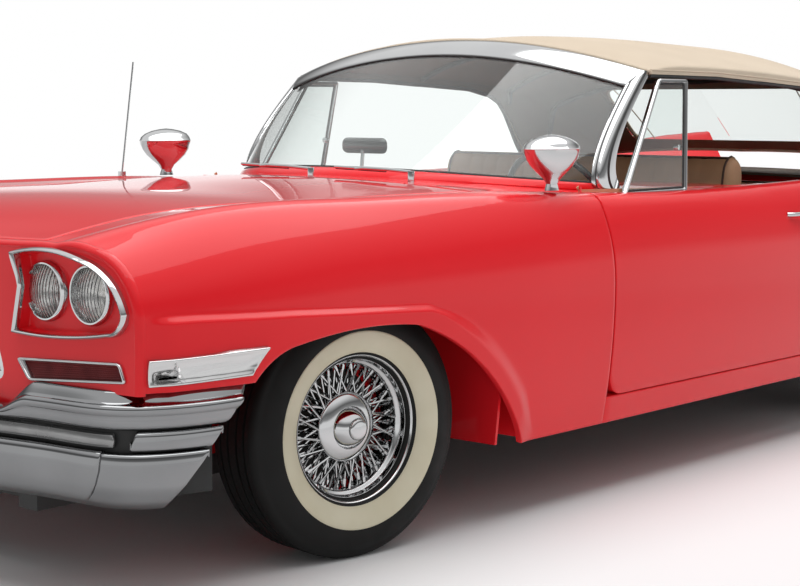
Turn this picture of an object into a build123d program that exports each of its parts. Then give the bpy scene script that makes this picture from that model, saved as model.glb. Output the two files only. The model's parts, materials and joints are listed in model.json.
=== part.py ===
from build123d import *
import math
import os
from collections import namedtuple

# A large 1950s two-door convertible with its soft top up.
# X points forward, Y to the car's left, Z up; the origin is on the ground at mid length.
# Millimetres and degrees.

# The car as a whole
OVERALL_LENGTH = 5600.0
FRONT_OVERHANG = 950.0
WHEELBASE = 3200.0
FRONT_TRACK = 1554.0
REAR_TRACK = 1516.0
TYRE_RADIUS = 357.0
PANEL_GAP = 6.0
SKIN = 22.0
PARKED_STEER = -8.0

FRONT_AXLE = OVERALL_LENGTH / 2 - FRONT_OVERHANG
REAR_AXLE = FRONT_AXLE - WHEELBASE

# Body lengths, from the front axle and from the rear axle
NOSE_X = FRONT_AXLE + 868.0
HOOD_REAR_X = FRONT_AXLE - 640.0
FIREWALL_X = FRONT_AXLE - 700.0
DOOR_FRONT_X = FRONT_AXLE - 1030.0
DOOR_REAR_X = REAR_AXLE + 820.0
CABIN_REAR_X = REAR_AXLE + 240.0
DECK_FRONT_X = REAR_AXLE - 330.0
TAIL_X = REAR_AXLE - 1372.0

# Body heights and widths
SILL_Z = 240.0
DOOR_BOTTOM_Z = 325.0
DOOR_INNER_Y = 835.0
FLOOR_Z = 302.0
FLOOR_THICKNESS = 12.0
TRUNK_FLOOR_Z = 420.0
NOSE_HOOD_Y = 562.0
COWL_HOOD_Y = 725.0
DECK_EDGE_Y = 715.0

Section = namedtuple(
    "Section",
    "x sill_y side_y side_z crest_y crest_z crest_w crest_drop edge_z crown_z",
)


def hood_line(x):
    """Half width of the hood at x: one straight line in plan from the nose to the doors."""
    slope = (COWL_HOOD_Y - NOSE_HOOD_Y) / (NOSE_X - HOOD_REAR_X)
    return NOSE_HOOD_Y + slope * (NOSE_X - x)


# Half sections of the outer body: sill, widest point, crest of the fender or fin, top edge and crown
SECTIONS = [
    Section(NOSE_X + 10.0, 850, 886, 720, 660, 894, 60, 10, 894, 889),
    Section(FRONT_AXLE + 560, 920, 954, 712, 760, 965, 50, 14, 952, 964),
    Section(FRONT_AXLE, 935, 974, 700, 820, 985, 45, 14, 972, 992),
    Section(HOOD_REAR_X, 942, 982, 690, 850, 979, 45, 14, 974, 1003),
    Section(DOOR_FRONT_X, 945, 988, 685, 880, 962, 40, 14, 964, 998),
    Section(DOOR_REAR_X, 945, 1000, 682, 887, 957, 36, 14, 946, 952),
    Section(REAR_AXLE + 250, 945, 1000, 690, 895, 974, 32, 14, 936, 950),
    Section(REAR_AXLE - 300, 940, 998, 700, 894, 1018, 28, 16, 926, 948),
    Section(REAR_AXLE - 900, 930, 986, 710, 880, 1066, 24, 18, 892, 916),
    Section(TAIL_X, 910, 966, 720, 860, 1086, 22, 20, 852, 872),
]


def outline(points, place):
    """Closed wire: a point is reached by a line, a (via, end) pair by an arc."""
    edges = []
    here = points[0]
    for step in points[1:] + [points[0]]:
        if isinstance(step[0], tuple):
            via, end = step
            edges.append(Edge.make_three_point_arc(place(*here), place(*via), place(*end)))
            here = end
        elif step != here:
            edges.append(Edge.make_line(place(*here), place(*step)))
            here = step
    return Wire(edges)


def along_x(points, x0, x1):
    face = Face(outline(points, lambda y, z: (x0, y, z)))
    return Solid.extrude(face, Vector(x1 - x0, 0, 0))


def along_y(points, y0, y1):
    face = Face(outline(points, lambda x, z: (x, y0, z)))
    return Solid.extrude(face, Vector(0, y1 - y0, 0))


def along_z(points, z0, z1):
    face = Face(outline(points, lambda x, y: (x, y, z0)))
    return Solid.extrude(face, Vector(0, 0, z1 - z0))


def block(x0, x1, y0, y1, z0, z1):
    return Pos((x0 + x1) / 2, (y0 + y1) / 2, (z0 + z1) / 2) * Box(abs(x1 - x0), abs(y1 - y0), abs(z1 - z0))


def rod(start, end, radius):
    axis = Vector(*end) - Vector(*start)
    return Solid.make_cylinder(radius, axis.length, Plane(origin=Vector(*start), z_dir=axis))


def ring(start, end, outer_radius, inner_radius):
    return rod(start, end, outer_radius) - rod(start, end, inner_radius)


def mirrored(shape):
    return shape.mirror(Plane.XZ)


def both(shape):
    return shape + mirrored(shape)


def pair(shape):
    return Compound(shape.solids() + mirrored(shape).solids())


def solids_of(*shapes):
    found = []
    for shape in shapes:
        found += list(shape.solids())
    return Compound(found)


def arc_middle(side_y, side_z, y, z):
    """Middle of the arc that leaves (side_y, side_z) upright and ends at (y, z)."""
    dy = side_y - y
    dz = z - side_z
    radius = (dy * dy + dz * dz) / (2 * dy)
    angle = math.atan2(dz, radius - dy) / 2
    return (side_y - radius + radius * math.cos(angle), side_z + radius * math.sin(angle))


def section_wire(section, out, low_z, x):
    """Half section of the body, moved out by `out` and closed at the middle plane and at low_z."""
    sill = (section.sill_y + out, low_z)
    side = (section.side_y + out, section.side_z)
    crest_z = section.crest_z + out
    if out < 0:
        crest_z = section.edge_z + 0.3 * (section.crest_z - section.edge_z) + out
    crest = (section.crest_y + 0.3 * out, crest_z)
    shoulder = (crest[0] + section.crest_w, crest[1] - section.crest_drop)
    inner = (crest[0] - section.crest_w, crest[1] - 0.5 * section.crest_drop)
    edge_y = hood_line(x) if x > DOOR_REAR_X else DECK_EDGE_Y
    edge = (edge_y, section.edge_z + out)
    crown = (0, section.crown_z + out)
    crown_via = (edge[0] / 2, edge[1] / 4 + crown[1] * 3 / 4)
    points = [
        (0, low_z),
        sill,
        (arc_middle(*side, *sill), side),
        (arc_middle(*side, *shoulder), shoulder),
        (crest, inner),
        edge,
        (crown_via, crown),
    ]
    return outline(points, lambda y, z: (x, y, z))


def body_loft(out=0.0, low_z=SILL_Z):
    """Left half of the outer body as one smooth solid."""
    wires = []
    for section in SECTIONS:
        x = section.x
        if out < 0 and section is SECTIONS[0]:
            x += 30.0
        if out < 0 and section is SECTIONS[-1]:
            x -= 30.0
        wires.append(section_wire(section, out, low_z, x))
    return Solid.make_loft(wires)


outer = body_loft()
void = body_loft(-SKIN, SILL_Z - 80.0)
shell = outer - void

# Nose: a swept front face with openings for the grille, the lamps and the two ducts
NOSE_SIDE_X = NOSE_X - 42.0
NOSE_BEND_Y = 480.0
NOSE_BEND_X = NOSE_X - 6.0
NOSE_LOW_Z = 500.0
FACE_Y = 900.0


def nose_face_x(y):
    """The front face in plan at half width y, outboard of its bend."""
    return NOSE_BEND_X - (y - NOSE_BEND_Y) * (NOSE_BEND_X - NOSE_SIDE_X) / (FACE_Y - NOSE_BEND_Y)


def nose_band(back, front):
    """Plan band that follows the front face, from `back` behind it to `front` ahead of it."""
    points = [
        (NOSE_X + front, -1.0),
        (NOSE_X + front, 0.0),
        (NOSE_BEND_X + front, NOSE_BEND_Y),
        (NOSE_SIDE_X + front, FACE_Y),
        (NOSE_SIDE_X - back, FACE_Y),
        (NOSE_BEND_X - back, NOSE_BEND_Y),
        (NOSE_X - back, 0.0),
        (NOSE_X - back, -1.0),
    ]
    return along_z(points, 200.0, 1100.0)


# Grille opening: wider at its foot
GRILLE_LOW_Z = 545.0
GRILLE_TOP_Z = 842.0
GRILLE_LOW_Y = 438.0
GRILLE_TOP_Y = 335.0
GRILLE_FRAME = 24.0


def grille_outline(inset):
    low = GRILLE_LOW_Z + inset
    top = GRILLE_TOP_Z - inset
    low_y = GRILLE_LOW_Y - inset
    top_y = GRILLE_TOP_Y - inset
    return [(-low_y, low), (low_y, low), (top_y, top), (-top_y, top)]


# Lamp opening: an eye shape with a pointed inner corner and a notch
EYE = [
    (490.0, 880.0),
    ((610.0, 893.0), (740.0, 872.0)),
    ((833.0, 820.0), (876.0, 745.0)),
    ((862.0, 708.0), (818.0, 686.0)),
    ((650.0, 669.0), (480.0, 673.0)),
    (508.0, 793.0),
]
LAMP_Y = (570.0, 727.0)
LAMP_Z = 773.0
LAMP_RADIUS = 70.0
LAMP_RING = 76.0
LENS_BULGE = 24.0
BEZEL_WIDTH = 13.0
BEZEL_PROUD = 26.0
BUCKET_DEPTH = 62.0
BUCKET_WALL = 6.0
DUCT = [(484.0, 612.0), (846.0, 628.0), (866.0, 578.0), (528.0, 556.0)]
DUCT_FRAME = 9.0


def inset_prism(points, inset, x0, x1):
    """Solid along X of an outline drawn in by `inset`."""
    face = Face(outline(points, lambda y, z: (x0, y, z)))
    if inset:
        face = offset(face, -inset).faces()[0]
    return Solid.extrude(face, Vector(x1 - x0, 0, 0))


BACK = NOSE_X - 300.0
AHEAD = NOSE_X + 100.0
nose_half = (outer & nose_band(SKIN, 0.0)) - block(BACK, AHEAD, -10.0, 1000.0, 0.0, NOSE_LOW_Z)
nose_half = nose_half - inset_prism(EYE, BEZEL_WIDTH - 3.0, BACK, AHEAD)
nose_half = nose_half - inset_prism(DUCT, 3.0, BACK, AHEAD)
nose_panel = both(nose_half) - along_x(grille_outline(3.0), BACK, AHEAD)

eye_inner = inset_prism(EYE, BEZEL_WIDTH, BACK, AHEAD)
eye_ring = inset_prism(EYE, 0, BACK, AHEAD) - eye_inner
bezel = eye_ring & (nose_band(-0.1, BEZEL_PROUD))
BUCKET = [
    (482.0, 866.0),
    ((610.0, 879.0), (735.0, 860.0)),
    ((822.0, 812.0), (862.0, 745.0)),
    ((850.0, 717.0), (812.0, 698.0)),
    ((650.0, 683.0), (482.0, 687.0)),
]
bucket_shape = inset_prism(BUCKET, 0, BACK, AHEAD)
bucket_hole = inset_prism(BUCKET, BUCKET_WALL, BACK, AHEAD)
bucket = bucket_shape & nose_band(BUCKET_DEPTH, -SKIN)
bucket = bucket - (bucket_hole & nose_band(BUCKET_DEPTH - BUCKET_WALL, 10.0))

lamp_rings = []
lenses = []
for lamp_y in LAMP_Y:
    sweep_back = (lamp_y - NOSE_BEND_Y) * (NOSE_BEND_X - NOSE_SIDE_X) / (FACE_Y - NOSE_BEND_Y)
    seat_x = NOSE_BEND_X - sweep_back - BUCKET_DEPTH + BUCKET_WALL
    bucket = bucket - rod((seat_x - 60.0, lamp_y, LAMP_Z), (seat_x + 60.0, lamp_y, LAMP_Z), LAMP_RING - 4.0)
    for back, front, outer_r in ((6.5, 20.0, LAMP_RING), (-10.0, 6.5, LAMP_RING - 4.0)):
        ring_ends = [(seat_x + back, lamp_y, LAMP_Z), (seat_x + front, lamp_y, LAMP_Z)]
        lamp_rings.append(ring(*ring_ends, outer_r, LAMP_RADIUS))
    lens_profile = [
        (seat_x - 12.0, LAMP_Z),
        (seat_x - 12.0, LAMP_Z + LAMP_RADIUS - 0.2),
        (seat_x + 10.0, LAMP_Z + LAMP_RADIUS - 0.2),
        (
            (seat_x + 10.0 + 0.75 * LENS_BULGE, LAMP_Z + LAMP_RADIUS / 2),
            (seat_x + 10.0 + LENS_BULGE, LAMP_Z + 2.0),
        ),
        (seat_x + 10.0 + LENS_BULGE, LAMP_Z),
    ]
    lens_face = Face(outline(lens_profile, lambda x, z: (x, lamp_y, z)))
    lenses.append(Solid.revolve(lens_face, 360, Axis((0, lamp_y, LAMP_Z), (1, 0, 0))))
rings = [lamp_rings[0] + lamp_rings[1], lamp_rings[2] + lamp_rings[3]]
headlamp_bezels = solids_of(pair(bezel), pair(rings[0]), pair(rings[1]))
headlamp_buckets = pair(bucket)
headlamp_lenses = solids_of(pair(lenses[0]), pair(lenses[1]))

duct_ring = inset_prism(DUCT, 0, BACK, AHEAD) - inset_prism(DUCT, DUCT_FRAME, BACK, AHEAD)
duct_frame = duct_ring & nose_band(-0.1, 8.0)
duct_screen = inset_prism(DUCT, 3.0, BACK, AHEAD) & nose_band(14.0, -6.0)
duct_screens = pair(duct_screen)

# Grille: a bright frame with upright and level bars
GRILLE_BAR = 7.0
GRILLE_UPRIGHTS = 13
GRILLE_LEVELS = 7
grille_depth = (NOSE_X - 40.0, NOSE_X - 8.0)
grille = along_x(grille_outline(3.0), *grille_depth) - along_x(grille_outline(GRILLE_FRAME), BACK, AHEAD)
grille_field = along_x(grille_outline(GRILLE_FRAME - 2.0), NOSE_X - 36.0, NOSE_X - 14.0)
bars = []
for index in range(GRILLE_UPRIGHTS):
    y = (index - (GRILLE_UPRIGHTS - 1) / 2) * 2 * GRILLE_LOW_Y / GRILLE_UPRIGHTS
    bars.append(block(BACK, AHEAD, y - GRILLE_BAR / 2, y + GRILLE_BAR / 2, GRILLE_LOW_Z, GRILLE_TOP_Z))
for index in range(GRILLE_LEVELS):
    z = GRILLE_LOW_Z + (index + 1) * (GRILLE_TOP_Z - GRILLE_LOW_Z) / (GRILLE_LEVELS + 1)
    bars.append(block(BACK, AHEAD, -GRILLE_LOW_Y, GRILLE_LOW_Y, z - GRILLE_BAR / 2, z + GRILLE_BAR / 2))
grille = grille + (grille_field & Compound(bars))

# Front wheel opening in side view, from its rear tip over the wheel to the bumper
ARCH_TIP = (FRONT_AXLE - 602.0, SILL_Z)
ARCH_BACK = (FRONT_AXLE - 312.0, 548.0)
ARCH_HIGH = (FRONT_AXLE - 94.0, 645.0)
ARCH_TOP = (FRONT_AXLE + 120.0, 658.0)
ARCH_FORE = (FRONT_AXLE + 361.0, 637.0)
ARCH_DROP = (FRONT_AXLE + 448.0, 610.0)
ARCH_FOOT = (FRONT_AXLE + 512.0, 556.0)
front_opening = [
    (ARCH_TIP[0], 0.0),
    ARCH_TIP,
    (ARCH_BACK, ARCH_HIGH),
    (ARCH_TOP, ARCH_FORE),
    (ARCH_DROP, ARCH_FOOT),
    (NOSE_X + 60.0, ARCH_FOOT[1]),
    (NOSE_X + 60.0, 0.0),
]
# Ledge over the wheel: the skin stands proud below this crease
LEDGE_PROUD = 15.0
ledge_band = [
    (FRONT_AXLE - 668.0, SILL_Z),
    ((FRONT_AXLE - 372.0, 583.0), (FRONT_AXLE - 120.0, 692.0)),
    (FRONT_AXLE + 377.0, 716.0),
    (FRONT_AXLE + 690.0, 728.0),
    (NOSE_X - 70.0, 700.0),
    (NOSE_X - 70.0, 500.0),
    (FRONT_AXLE, 200.0),
]

fender_plan = [
    (DOOR_FRONT_X + PANEL_GAP / 2, hood_line(DOOR_FRONT_X) + PANEL_GAP / 2),
    (nose_face_x(NOSE_HOOD_Y + PANEL_GAP / 2) - SKIN, NOSE_HOOD_Y + PANEL_GAP / 2),
    (NOSE_SIDE_X - SKIN, FACE_Y),
    (NOSE_SIDE_X - SKIN, 1100.0),
    (DOOR_FRONT_X + PANEL_GAP / 2, 1100.0),
]
fender_region = along_z(fender_plan, 0.0, 1200.0)
opening_solid = along_y(front_opening, 500.0, 1100.0)
ledge = (body_loft(LEDGE_PROUD) - outer) & along_y(ledge_band, 800.0, 1100.0)
front_fender_left = ((shell & fender_region) + (ledge & fender_region)) - opening_solid

# Side strip with the parking lamp, between the front corner and the wheel opening
STRIP_PROUD = 9.0
strip_outline = [
    (NOSE_X - 66.0, 573.0),
    (NOSE_X - 66.0, 633.0),
    (FRONT_AXLE + 476.0, 640.0),
    (FRONT_AXLE + 530.0, 578.0),
]
strip_band = body_loft(LEDGE_PROUD + STRIP_PROUD) - body_loft(LEDGE_PROUD)
side_strip = (strip_band & along_y(strip_outline, 800.0, 1100.0)) & fender_region
front_trim = solids_of(pair(side_strip), pair(duct_frame))

# Hood, hinged on two barrels in the gap at its rear edge
HINGE_BARREL = 5.0
HOOD_HINGE_Y = 430.0
HINGE_LENGTH = 60.0
HOOD_REAR_GAP = 11.0
hood_plan = [
    (HOOD_REAR_X + HOOD_REAR_GAP, -1.0),
    (HOOD_REAR_X + HOOD_REAR_GAP, hood_line(HOOD_REAR_X) - PANEL_GAP / 2),
    (nose_face_x(NOSE_HOOD_Y) - SKIN - PANEL_GAP, NOSE_HOOD_Y - PANEL_GAP / 2),
    (NOSE_BEND_X - SKIN - PANEL_GAP, NOSE_BEND_Y),
    (NOSE_X - SKIN - PANEL_GAP, 0.0),
    (NOSE_X - SKIN - PANEL_GAP, -1.0),
]
hood = both(shell & along_z(hood_plan, 0.0, 1200.0))

# Cowl, fire wall and hinge pillars
GLASS_FOOT_X = FRONT_AXLE - 760.0
GLASS_FOOT_RADIUS = 980.0
COWL_DEPTH = 46.0
COWL_FRONT_GAP = 10.0
cowl_rear = FRONT_AXLE - 1290.0
PILLAR_Y = DOOR_INNER_Y - PANEL_GAP - 1.0
cowl_plan = [
    (HOOD_REAR_X - COWL_FRONT_GAP, -1.0),
    (HOOD_REAR_X - COWL_FRONT_GAP, hood_line(HOOD_REAR_X)),
    (DOOR_FRONT_X + PANEL_GAP / 2, hood_line(DOOR_FRONT_X) + PANEL_GAP / 2 - 0.2),
    (DOOR_FRONT_X + PANEL_GAP / 2, PILLAR_Y),
    (cowl_rear, PILLAR_Y),
    (cowl_rear, -1.0),
]
cabin_front = rod(
    (GLASS_FOOT_X - GLASS_FOOT_RADIUS, 0, 0),
    (GLASS_FOOT_X - GLASS_FOOT_RADIUS, 0, 1300),
    GLASS_FOOT_RADIUS - COWL_DEPTH,
)
cowl_top = both(shell & along_z(cowl_plan, 500.0, 1200.0)) - cabin_front - front_fender_left
cowl_top = cowl_top - mirrored(front_fender_left)
FIREWALL_Y = 700.0
WALL = 20.0
floor_top = FLOOR_Z + FLOOR_THICKNESS
fire_wall = block(FIREWALL_X - WALL, FIREWALL_X, -FIREWALL_Y, FIREWALL_Y, floor_top, 975.0)
kick_panel = block(DOOR_FRONT_X, FIREWALL_X, FIREWALL_Y - WALL, FIREWALL_Y, floor_top, 940.0)
pillar = block(DOOR_FRONT_X - 60.0, DOOR_FRONT_X + 120.0, FIREWALL_Y - WALL, PILLAR_Y, floor_top, 938.0)

# Door hinges: pins on the pillar, goosenecks on the door
HINGE_X = DOOR_FRONT_X + 70.0
HINGE_Y = 905.0
HINGE_Z = (455.0, 800.0)
HINGE_PIN = 9.0
HINGE_EYE = 16.0
HINGE_HEIGHT = 40.0
EAR_THICKNESS = 10.0
RUNNING_GAP = 0.4
for hinge_z in HINGE_Z:
    pin_low = hinge_z - HINGE_HEIGHT / 2 - EAR_THICKNESS
    pin_high = hinge_z + HINGE_HEIGHT / 2 + EAR_THICKNESS
    pillar = pillar + rod((HINGE_X, HINGE_Y, pin_low), (HINGE_X, HINGE_Y, pin_high), HINGE_PIN)
    for ear_z in (pin_low, pin_high - EAR_THICKNESS + 1.0):
        ear_top = ear_z + EAR_THICKNESS - 1.0
        ear = block(HINGE_X - 14.0, HINGE_X + 14.0, PILLAR_Y - 5.0, HINGE_Y + 12.0, ear_z, ear_top)
        pillar = pillar + ear
cowl_panel = cowl_top + (fire_wall - cowl_top) + both(kick_panel + pillar)
cowl_panel = cowl_panel & (both(body_loft(-2.0, SILL_Z - 80.0)) + both(pillar) + cowl_top)
cowl_panel = cowl_panel - front_fender_left - mirrored(front_fender_left)
cowl_panel = cowl_panel - block(FIREWALL_X - 40.0, FIREWALL_X + 20.0, -150.0, 150.0, 0.0, 430.0)

# Doors: one thick shell each, with goosenecks round the pins.
# The front face is hollowed about the hinge line, so that it swings clear of the fender's edge.
DOOR_CORNER = 70.0
DOOR_FRONT_GAP = 5.0
SWING_CLEAR = 5.0
door_low = DOOR_BOTTOM_Z + PANEL_GAP / 2
door_fore = DOOR_FRONT_X - DOOR_FRONT_GAP
door_aft = DOOR_REAR_X + PANEL_GAP / 2
corner_in = DOOR_CORNER * (1 - math.sqrt(0.5))
door_outline = [
    (door_aft, door_low + DOOR_CORNER),
    ((door_aft + corner_in, door_low + corner_in), (door_aft + DOOR_CORNER, door_low)),
    (door_fore - DOOR_CORNER, door_low),
    ((door_fore - corner_in, door_low + corner_in), (door_fore, door_low + DOOR_CORNER)),
    (door_fore, 1200.0),
    (door_aft, 1200.0),
]
WINDOW_SLOT_Y = (852.0, 862.0)
WINDOW_SLOT_DEPTH = 45.0
door_left = outer & along_y(door_outline, DOOR_INNER_Y, 1100.0)
vent_rear_x = FRONT_AXLE - 1640.0
slot = block(door_aft + 60.0, vent_rear_x - 12.0, *WINDOW_SLOT_Y, 948.0 - WINDOW_SLOT_DEPTH, 1000.0)
door_left = door_left - slot
DOOR_SIDE_Y = 988.0
DOOR_SIDE_Z = 685.0
DOOR_SHOULDER = (920.0, 948.0)
DOOR_SILL = (945.0, SILL_Z)
swing_edge = []
for step in range(25):
    z = SILL_Z + (DOOR_SHOULDER[1] - SILL_Z) * step / 24
    end_y, end_z = DOOR_SHOULDER if z > DOOR_SIDE_Z else DOOR_SILL
    dy = DOOR_SIDE_Y - end_y
    bow = (dy * dy + (end_z - DOOR_SIDE_Z) ** 2) / (2 * dy)
    skin_y = DOOR_SIDE_Y - bow + math.sqrt(bow * bow - (z - DOOR_SIDE_Z) ** 2)
    reach = math.hypot(DOOR_FRONT_X + PANEL_GAP / 2 - HINGE_X, skin_y - HINGE_Y) + SWING_CLEAR
    swing_edge.append((HINGE_X - reach, HINGE_Y, z))
swing_edge.append((swing_edge[-1][0], HINGE_Y, 1100.0))
swing_line = Wire.make_polygon([(HINGE_X, HINGE_Y, SILL_Z), *swing_edge, (HINGE_X, HINGE_Y, 1100.0)])
swing_room = Solid.revolve(Face(swing_line), 360, Axis((HINGE_X, HINGE_Y, 0), (0, 0, 1)))
door_left = door_left - swing_room
STRAP_REACH = 45.0
gooseneck = [
    (HINGE_X - 2.0, HINGE_Y - 8.0),
    (HINGE_X - 2.0, HINGE_Y - 66.0),
    (DOOR_FRONT_X - STRAP_REACH, HINGE_Y - 66.0),
    (DOOR_FRONT_X - STRAP_REACH, HINGE_Y - 52.0),
    (HINGE_X - 14.0, HINGE_Y - 52.0),
    (HINGE_X - 14.0, HINGE_Y - 8.0),
]
for hinge_z in HINGE_Z:
    strap_low = hinge_z - HINGE_HEIGHT / 2 + 1.0
    strap_high = hinge_z + HINGE_HEIGHT / 2 - 1.0
    strap = along_z(gooseneck, strap_low, strap_high)
    strap = strap + rod((HINGE_X, HINGE_Y, strap_low), (HINGE_X, HINGE_Y, strap_high), HINGE_EYE)
    bore_ends = [(HINGE_X, HINGE_Y, strap_low - 5), (HINGE_X, HINGE_Y, strap_high + 5)]
    bore = rod(*bore_ends, HINGE_PIN + RUNNING_GAP)
    door_left = door_left + (strap - bore)

# Sills below the doors
sill_outline = [
    (DOOR_FRONT_X + PANEL_GAP / 2, SILL_Z),
    (DOOR_FRONT_X + PANEL_GAP / 2, DOOR_BOTTOM_Z - PANEL_GAP / 2),
    (DOOR_REAR_X - PANEL_GAP / 2, DOOR_BOTTOM_Z - PANEL_GAP / 2),
    (DOOR_REAR_X - PANEL_GAP / 2, SILL_Z),
]
SILL_INNER_Y = 770.0
sills = pair(outer & along_y(sill_outline, SILL_INNER_Y, 1100.0))
cowl_panel = cowl_panel - sills

# Rear quarters with the fins; thick beside the cabin, a skin behind it
rear_opening = [
    (REAR_AXLE - 415.0, 0.0),
    (REAR_AXLE - 415.0, 330.0),
    ((REAR_AXLE - 300.0, 545.0), (REAR_AXLE - 40.0, 618.0)),
    ((REAR_AXLE + 270.0, 545.0), (REAR_AXLE + 430.0, SILL_Z)),
    (REAR_AXLE + 430.0, 0.0),
]
quarter_plan = [
    (DOOR_REAR_X - PANEL_GAP / 2, DOOR_INNER_Y),
    (DOOR_REAR_X - PANEL_GAP / 2, 1100.0),
    (TAIL_X + SKIN, 1100.0),
    (TAIL_X + SKIN, DECK_EDGE_Y + PANEL_GAP / 2),
    (CABIN_REAR_X, DECK_EDGE_Y + PANEL_GAP / 2),
    (CABIN_REAR_X, DOOR_INNER_Y),
]
rear_opening_solid = along_y(rear_opening, 500.0, 1100.0)
quarter_wall = outer & block(CABIN_REAR_X, DOOR_REAR_X - PANEL_GAP / 2, DOOR_INNER_Y, 1100.0, 0.0, 1200.0)
quarter_skin = shell & along_z(quarter_plan, 0.0, 1300.0)
wheel_space = block(REAR_AXLE - 460.0, REAR_AXLE + 460.0, 500.0, 940.0, 0.0, 800.0)
quarter_panel_left = (quarter_skin + (quarter_wall - wheel_space)) - rear_opening_solid

# Tail panel, deck behind the cabin and the deck lid
tail_half = outer & block(TAIL_X - 50.0, TAIL_X + SKIN, -1.0, 1100.0, 330.0, 1300.0)
tail_panel = both(tail_half)
shelf_plan = [
    (CABIN_REAR_X - 60.0, -1.0),
    (CABIN_REAR_X - 60.0, DECK_EDGE_Y + PANEL_GAP / 2),
    (DECK_FRONT_X + PANEL_GAP, DECK_EDGE_Y + PANEL_GAP / 2),
    (DECK_FRONT_X + PANEL_GAP, -1.0),
]
rear_shelf = both(shell & along_z(shelf_plan, 500.0, 1200.0))
lid_plan = [
    (DECK_FRONT_X - PANEL_GAP, -1.0),
    (DECK_FRONT_X - PANEL_GAP, DECK_EDGE_Y - PANEL_GAP / 2),
    (TAIL_X + SKIN + PANEL_GAP, DECK_EDGE_Y - PANEL_GAP / 2),
    (TAIL_X + SKIN + PANEL_GAP, -1.0),
]
deck_lid = both(shell & along_z(lid_plan, 500.0, 1200.0))


# Barrel hinges of the hood and of the deck lid: two outer eyes and a pin on the body,
# the middle eye on the lid
LID_HINGE_Y = 420.0
HOOD_HINGE_Z = 989.0
LID_HINGE_Z = 937.0


def barrel_hinge(x, y, z, toward):
    """Body eyes with their pin and the lid's eye; `toward` points from the gap to the lid."""
    third = HINGE_LENGTH / 3
    pin = rod((x, y - HINGE_LENGTH / 2, z), (x, y + HINGE_LENGTH / 2, z), HINGE_BARREL * 0.5)
    body = pin
    for low in (y - HINGE_LENGTH / 2, y + HINGE_LENGTH / 2 - third):
        body = body + rod((x, low, z), (x, low + third, z), HINGE_BARREL)
        body = body + block(x, x - toward * 24.0, low, low + third, z - HINGE_BARREL, z - 1.0)
    low = y - third / 2 + 0.6
    high = y + third / 2 - 0.6
    lid = rod((x, low, z), (x, high, z), HINGE_BARREL)
    lid = lid + block(x, x + toward * 24.0, low, high, z - HINGE_BARREL, z - 1.0)
    lid = lid - rod((x, low - 5, z), (x, high + 5, z), HINGE_BARREL * 0.5 + RUNNING_GAP)
    return body, lid


for hinge_side in (-1, 1):
    body_eye, lid_eye = barrel_hinge(HOOD_REAR_X, hinge_side * HOOD_HINGE_Y, HOOD_HINGE_Z, 1)
    cowl_panel = cowl_panel + body_eye
    hood = hood + lid_eye
    body_eye, lid_eye = barrel_hinge(DECK_FRONT_X, hinge_side * LID_HINGE_Y, LID_HINGE_Z, -1)
    rear_shelf = rear_shelf + body_eye
    deck_lid = deck_lid + lid_eye

# Windshield: a raked panoramic screen between two plan arcs, with a bright frame
GLASS_LOW_Z = 940.0
GLASS_HIGH_Z = 1490.0
GLASS_RAKE = 1.39
GLASS_FLATTEN = 1.756
FOOT_Z = 990.0
FRAME_DEPTH = 30.0
GLASS_THICKNESS = 7.0
FRAME_FOOT_Y = DOOR_INNER_Y - 10.0
FRAME_TOP_Y = 795.0
HEADER_END_Z = 1345.0
HEADER_Z = 1462.0


def screen_sector(z, depth0, depth1):
    """Plan sector of the screen at height z, between two depths behind its outer face."""
    front = GLASS_FOOT_X - GLASS_RAKE * (z - FOOT_Z)
    radius = GLASS_FOOT_RADIUS + GLASS_FLATTEN * (z - FOOT_Z)
    centre = front - radius
    half = math.asin(860.0 / radius)
    place = lambda r, a: (centre + r * math.cos(a), r * math.sin(a))
    near = radius - depth0
    far = radius - depth1
    points = [
        place(near, -half),
        (place(near, 0.0), place(near, half)),
        place(far, half),
        (place(far, 0.0), place(far, -half)),
    ]
    return outline(points, lambda x, y: (x, y, z))


def screen(depth0, depth1):
    return Solid.make_loft(
        [screen_sector(GLASS_LOW_Z, depth0, depth1), screen_sector(GLASS_HIGH_Z, depth0, depth1)], True
    )


def frame_outline(foot, side, top):
    """Front view of the screen, drawn in at the foot, the sides and the top."""
    low_y = FRAME_FOOT_Y - side
    top_y = FRAME_TOP_Y - side
    end_z = HEADER_END_Z - top
    low_z = GLASS_LOW_Z + foot
    return [
        (-low_y, low_z),
        (low_y, low_z),
        (top_y, end_z),
        ((0.0, HEADER_Z - top), (-top_y, end_z)),
    ]


FRAME_FOOT = 52.0
FRAME_SIDE = 30.0
FRAME_HEADER = 52.0
SCREEN_X = (GLASS_FOOT_X - 1100.0, GLASS_FOOT_X + 300.0)
window_field = along_x(
    [
        (-(FRAME_FOOT_Y - FRAME_SIDE), 985.0),
        ((0.0, GLASS_LOW_Z + FRAME_FOOT + 34.0), (FRAME_FOOT_Y - FRAME_SIDE, 985.0)),
        (FRAME_TOP_Y - FRAME_SIDE, HEADER_END_Z - FRAME_HEADER),
        ((0.0, HEADER_Z - FRAME_HEADER), (-(FRAME_TOP_Y - FRAME_SIDE), HEADER_END_Z - FRAME_HEADER)),
    ],
    *SCREEN_X,
)
frame_field = along_x(frame_outline(0.0, 0.0, 0.0), *SCREEN_X)
body_both = both(outer)
windshield_frame = ((screen(0.0, FRAME_DEPTH) & frame_field) - window_field) - body_both
windshield_glass = screen(10.0, 10.0 + GLASS_THICKNESS) & window_field

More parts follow.
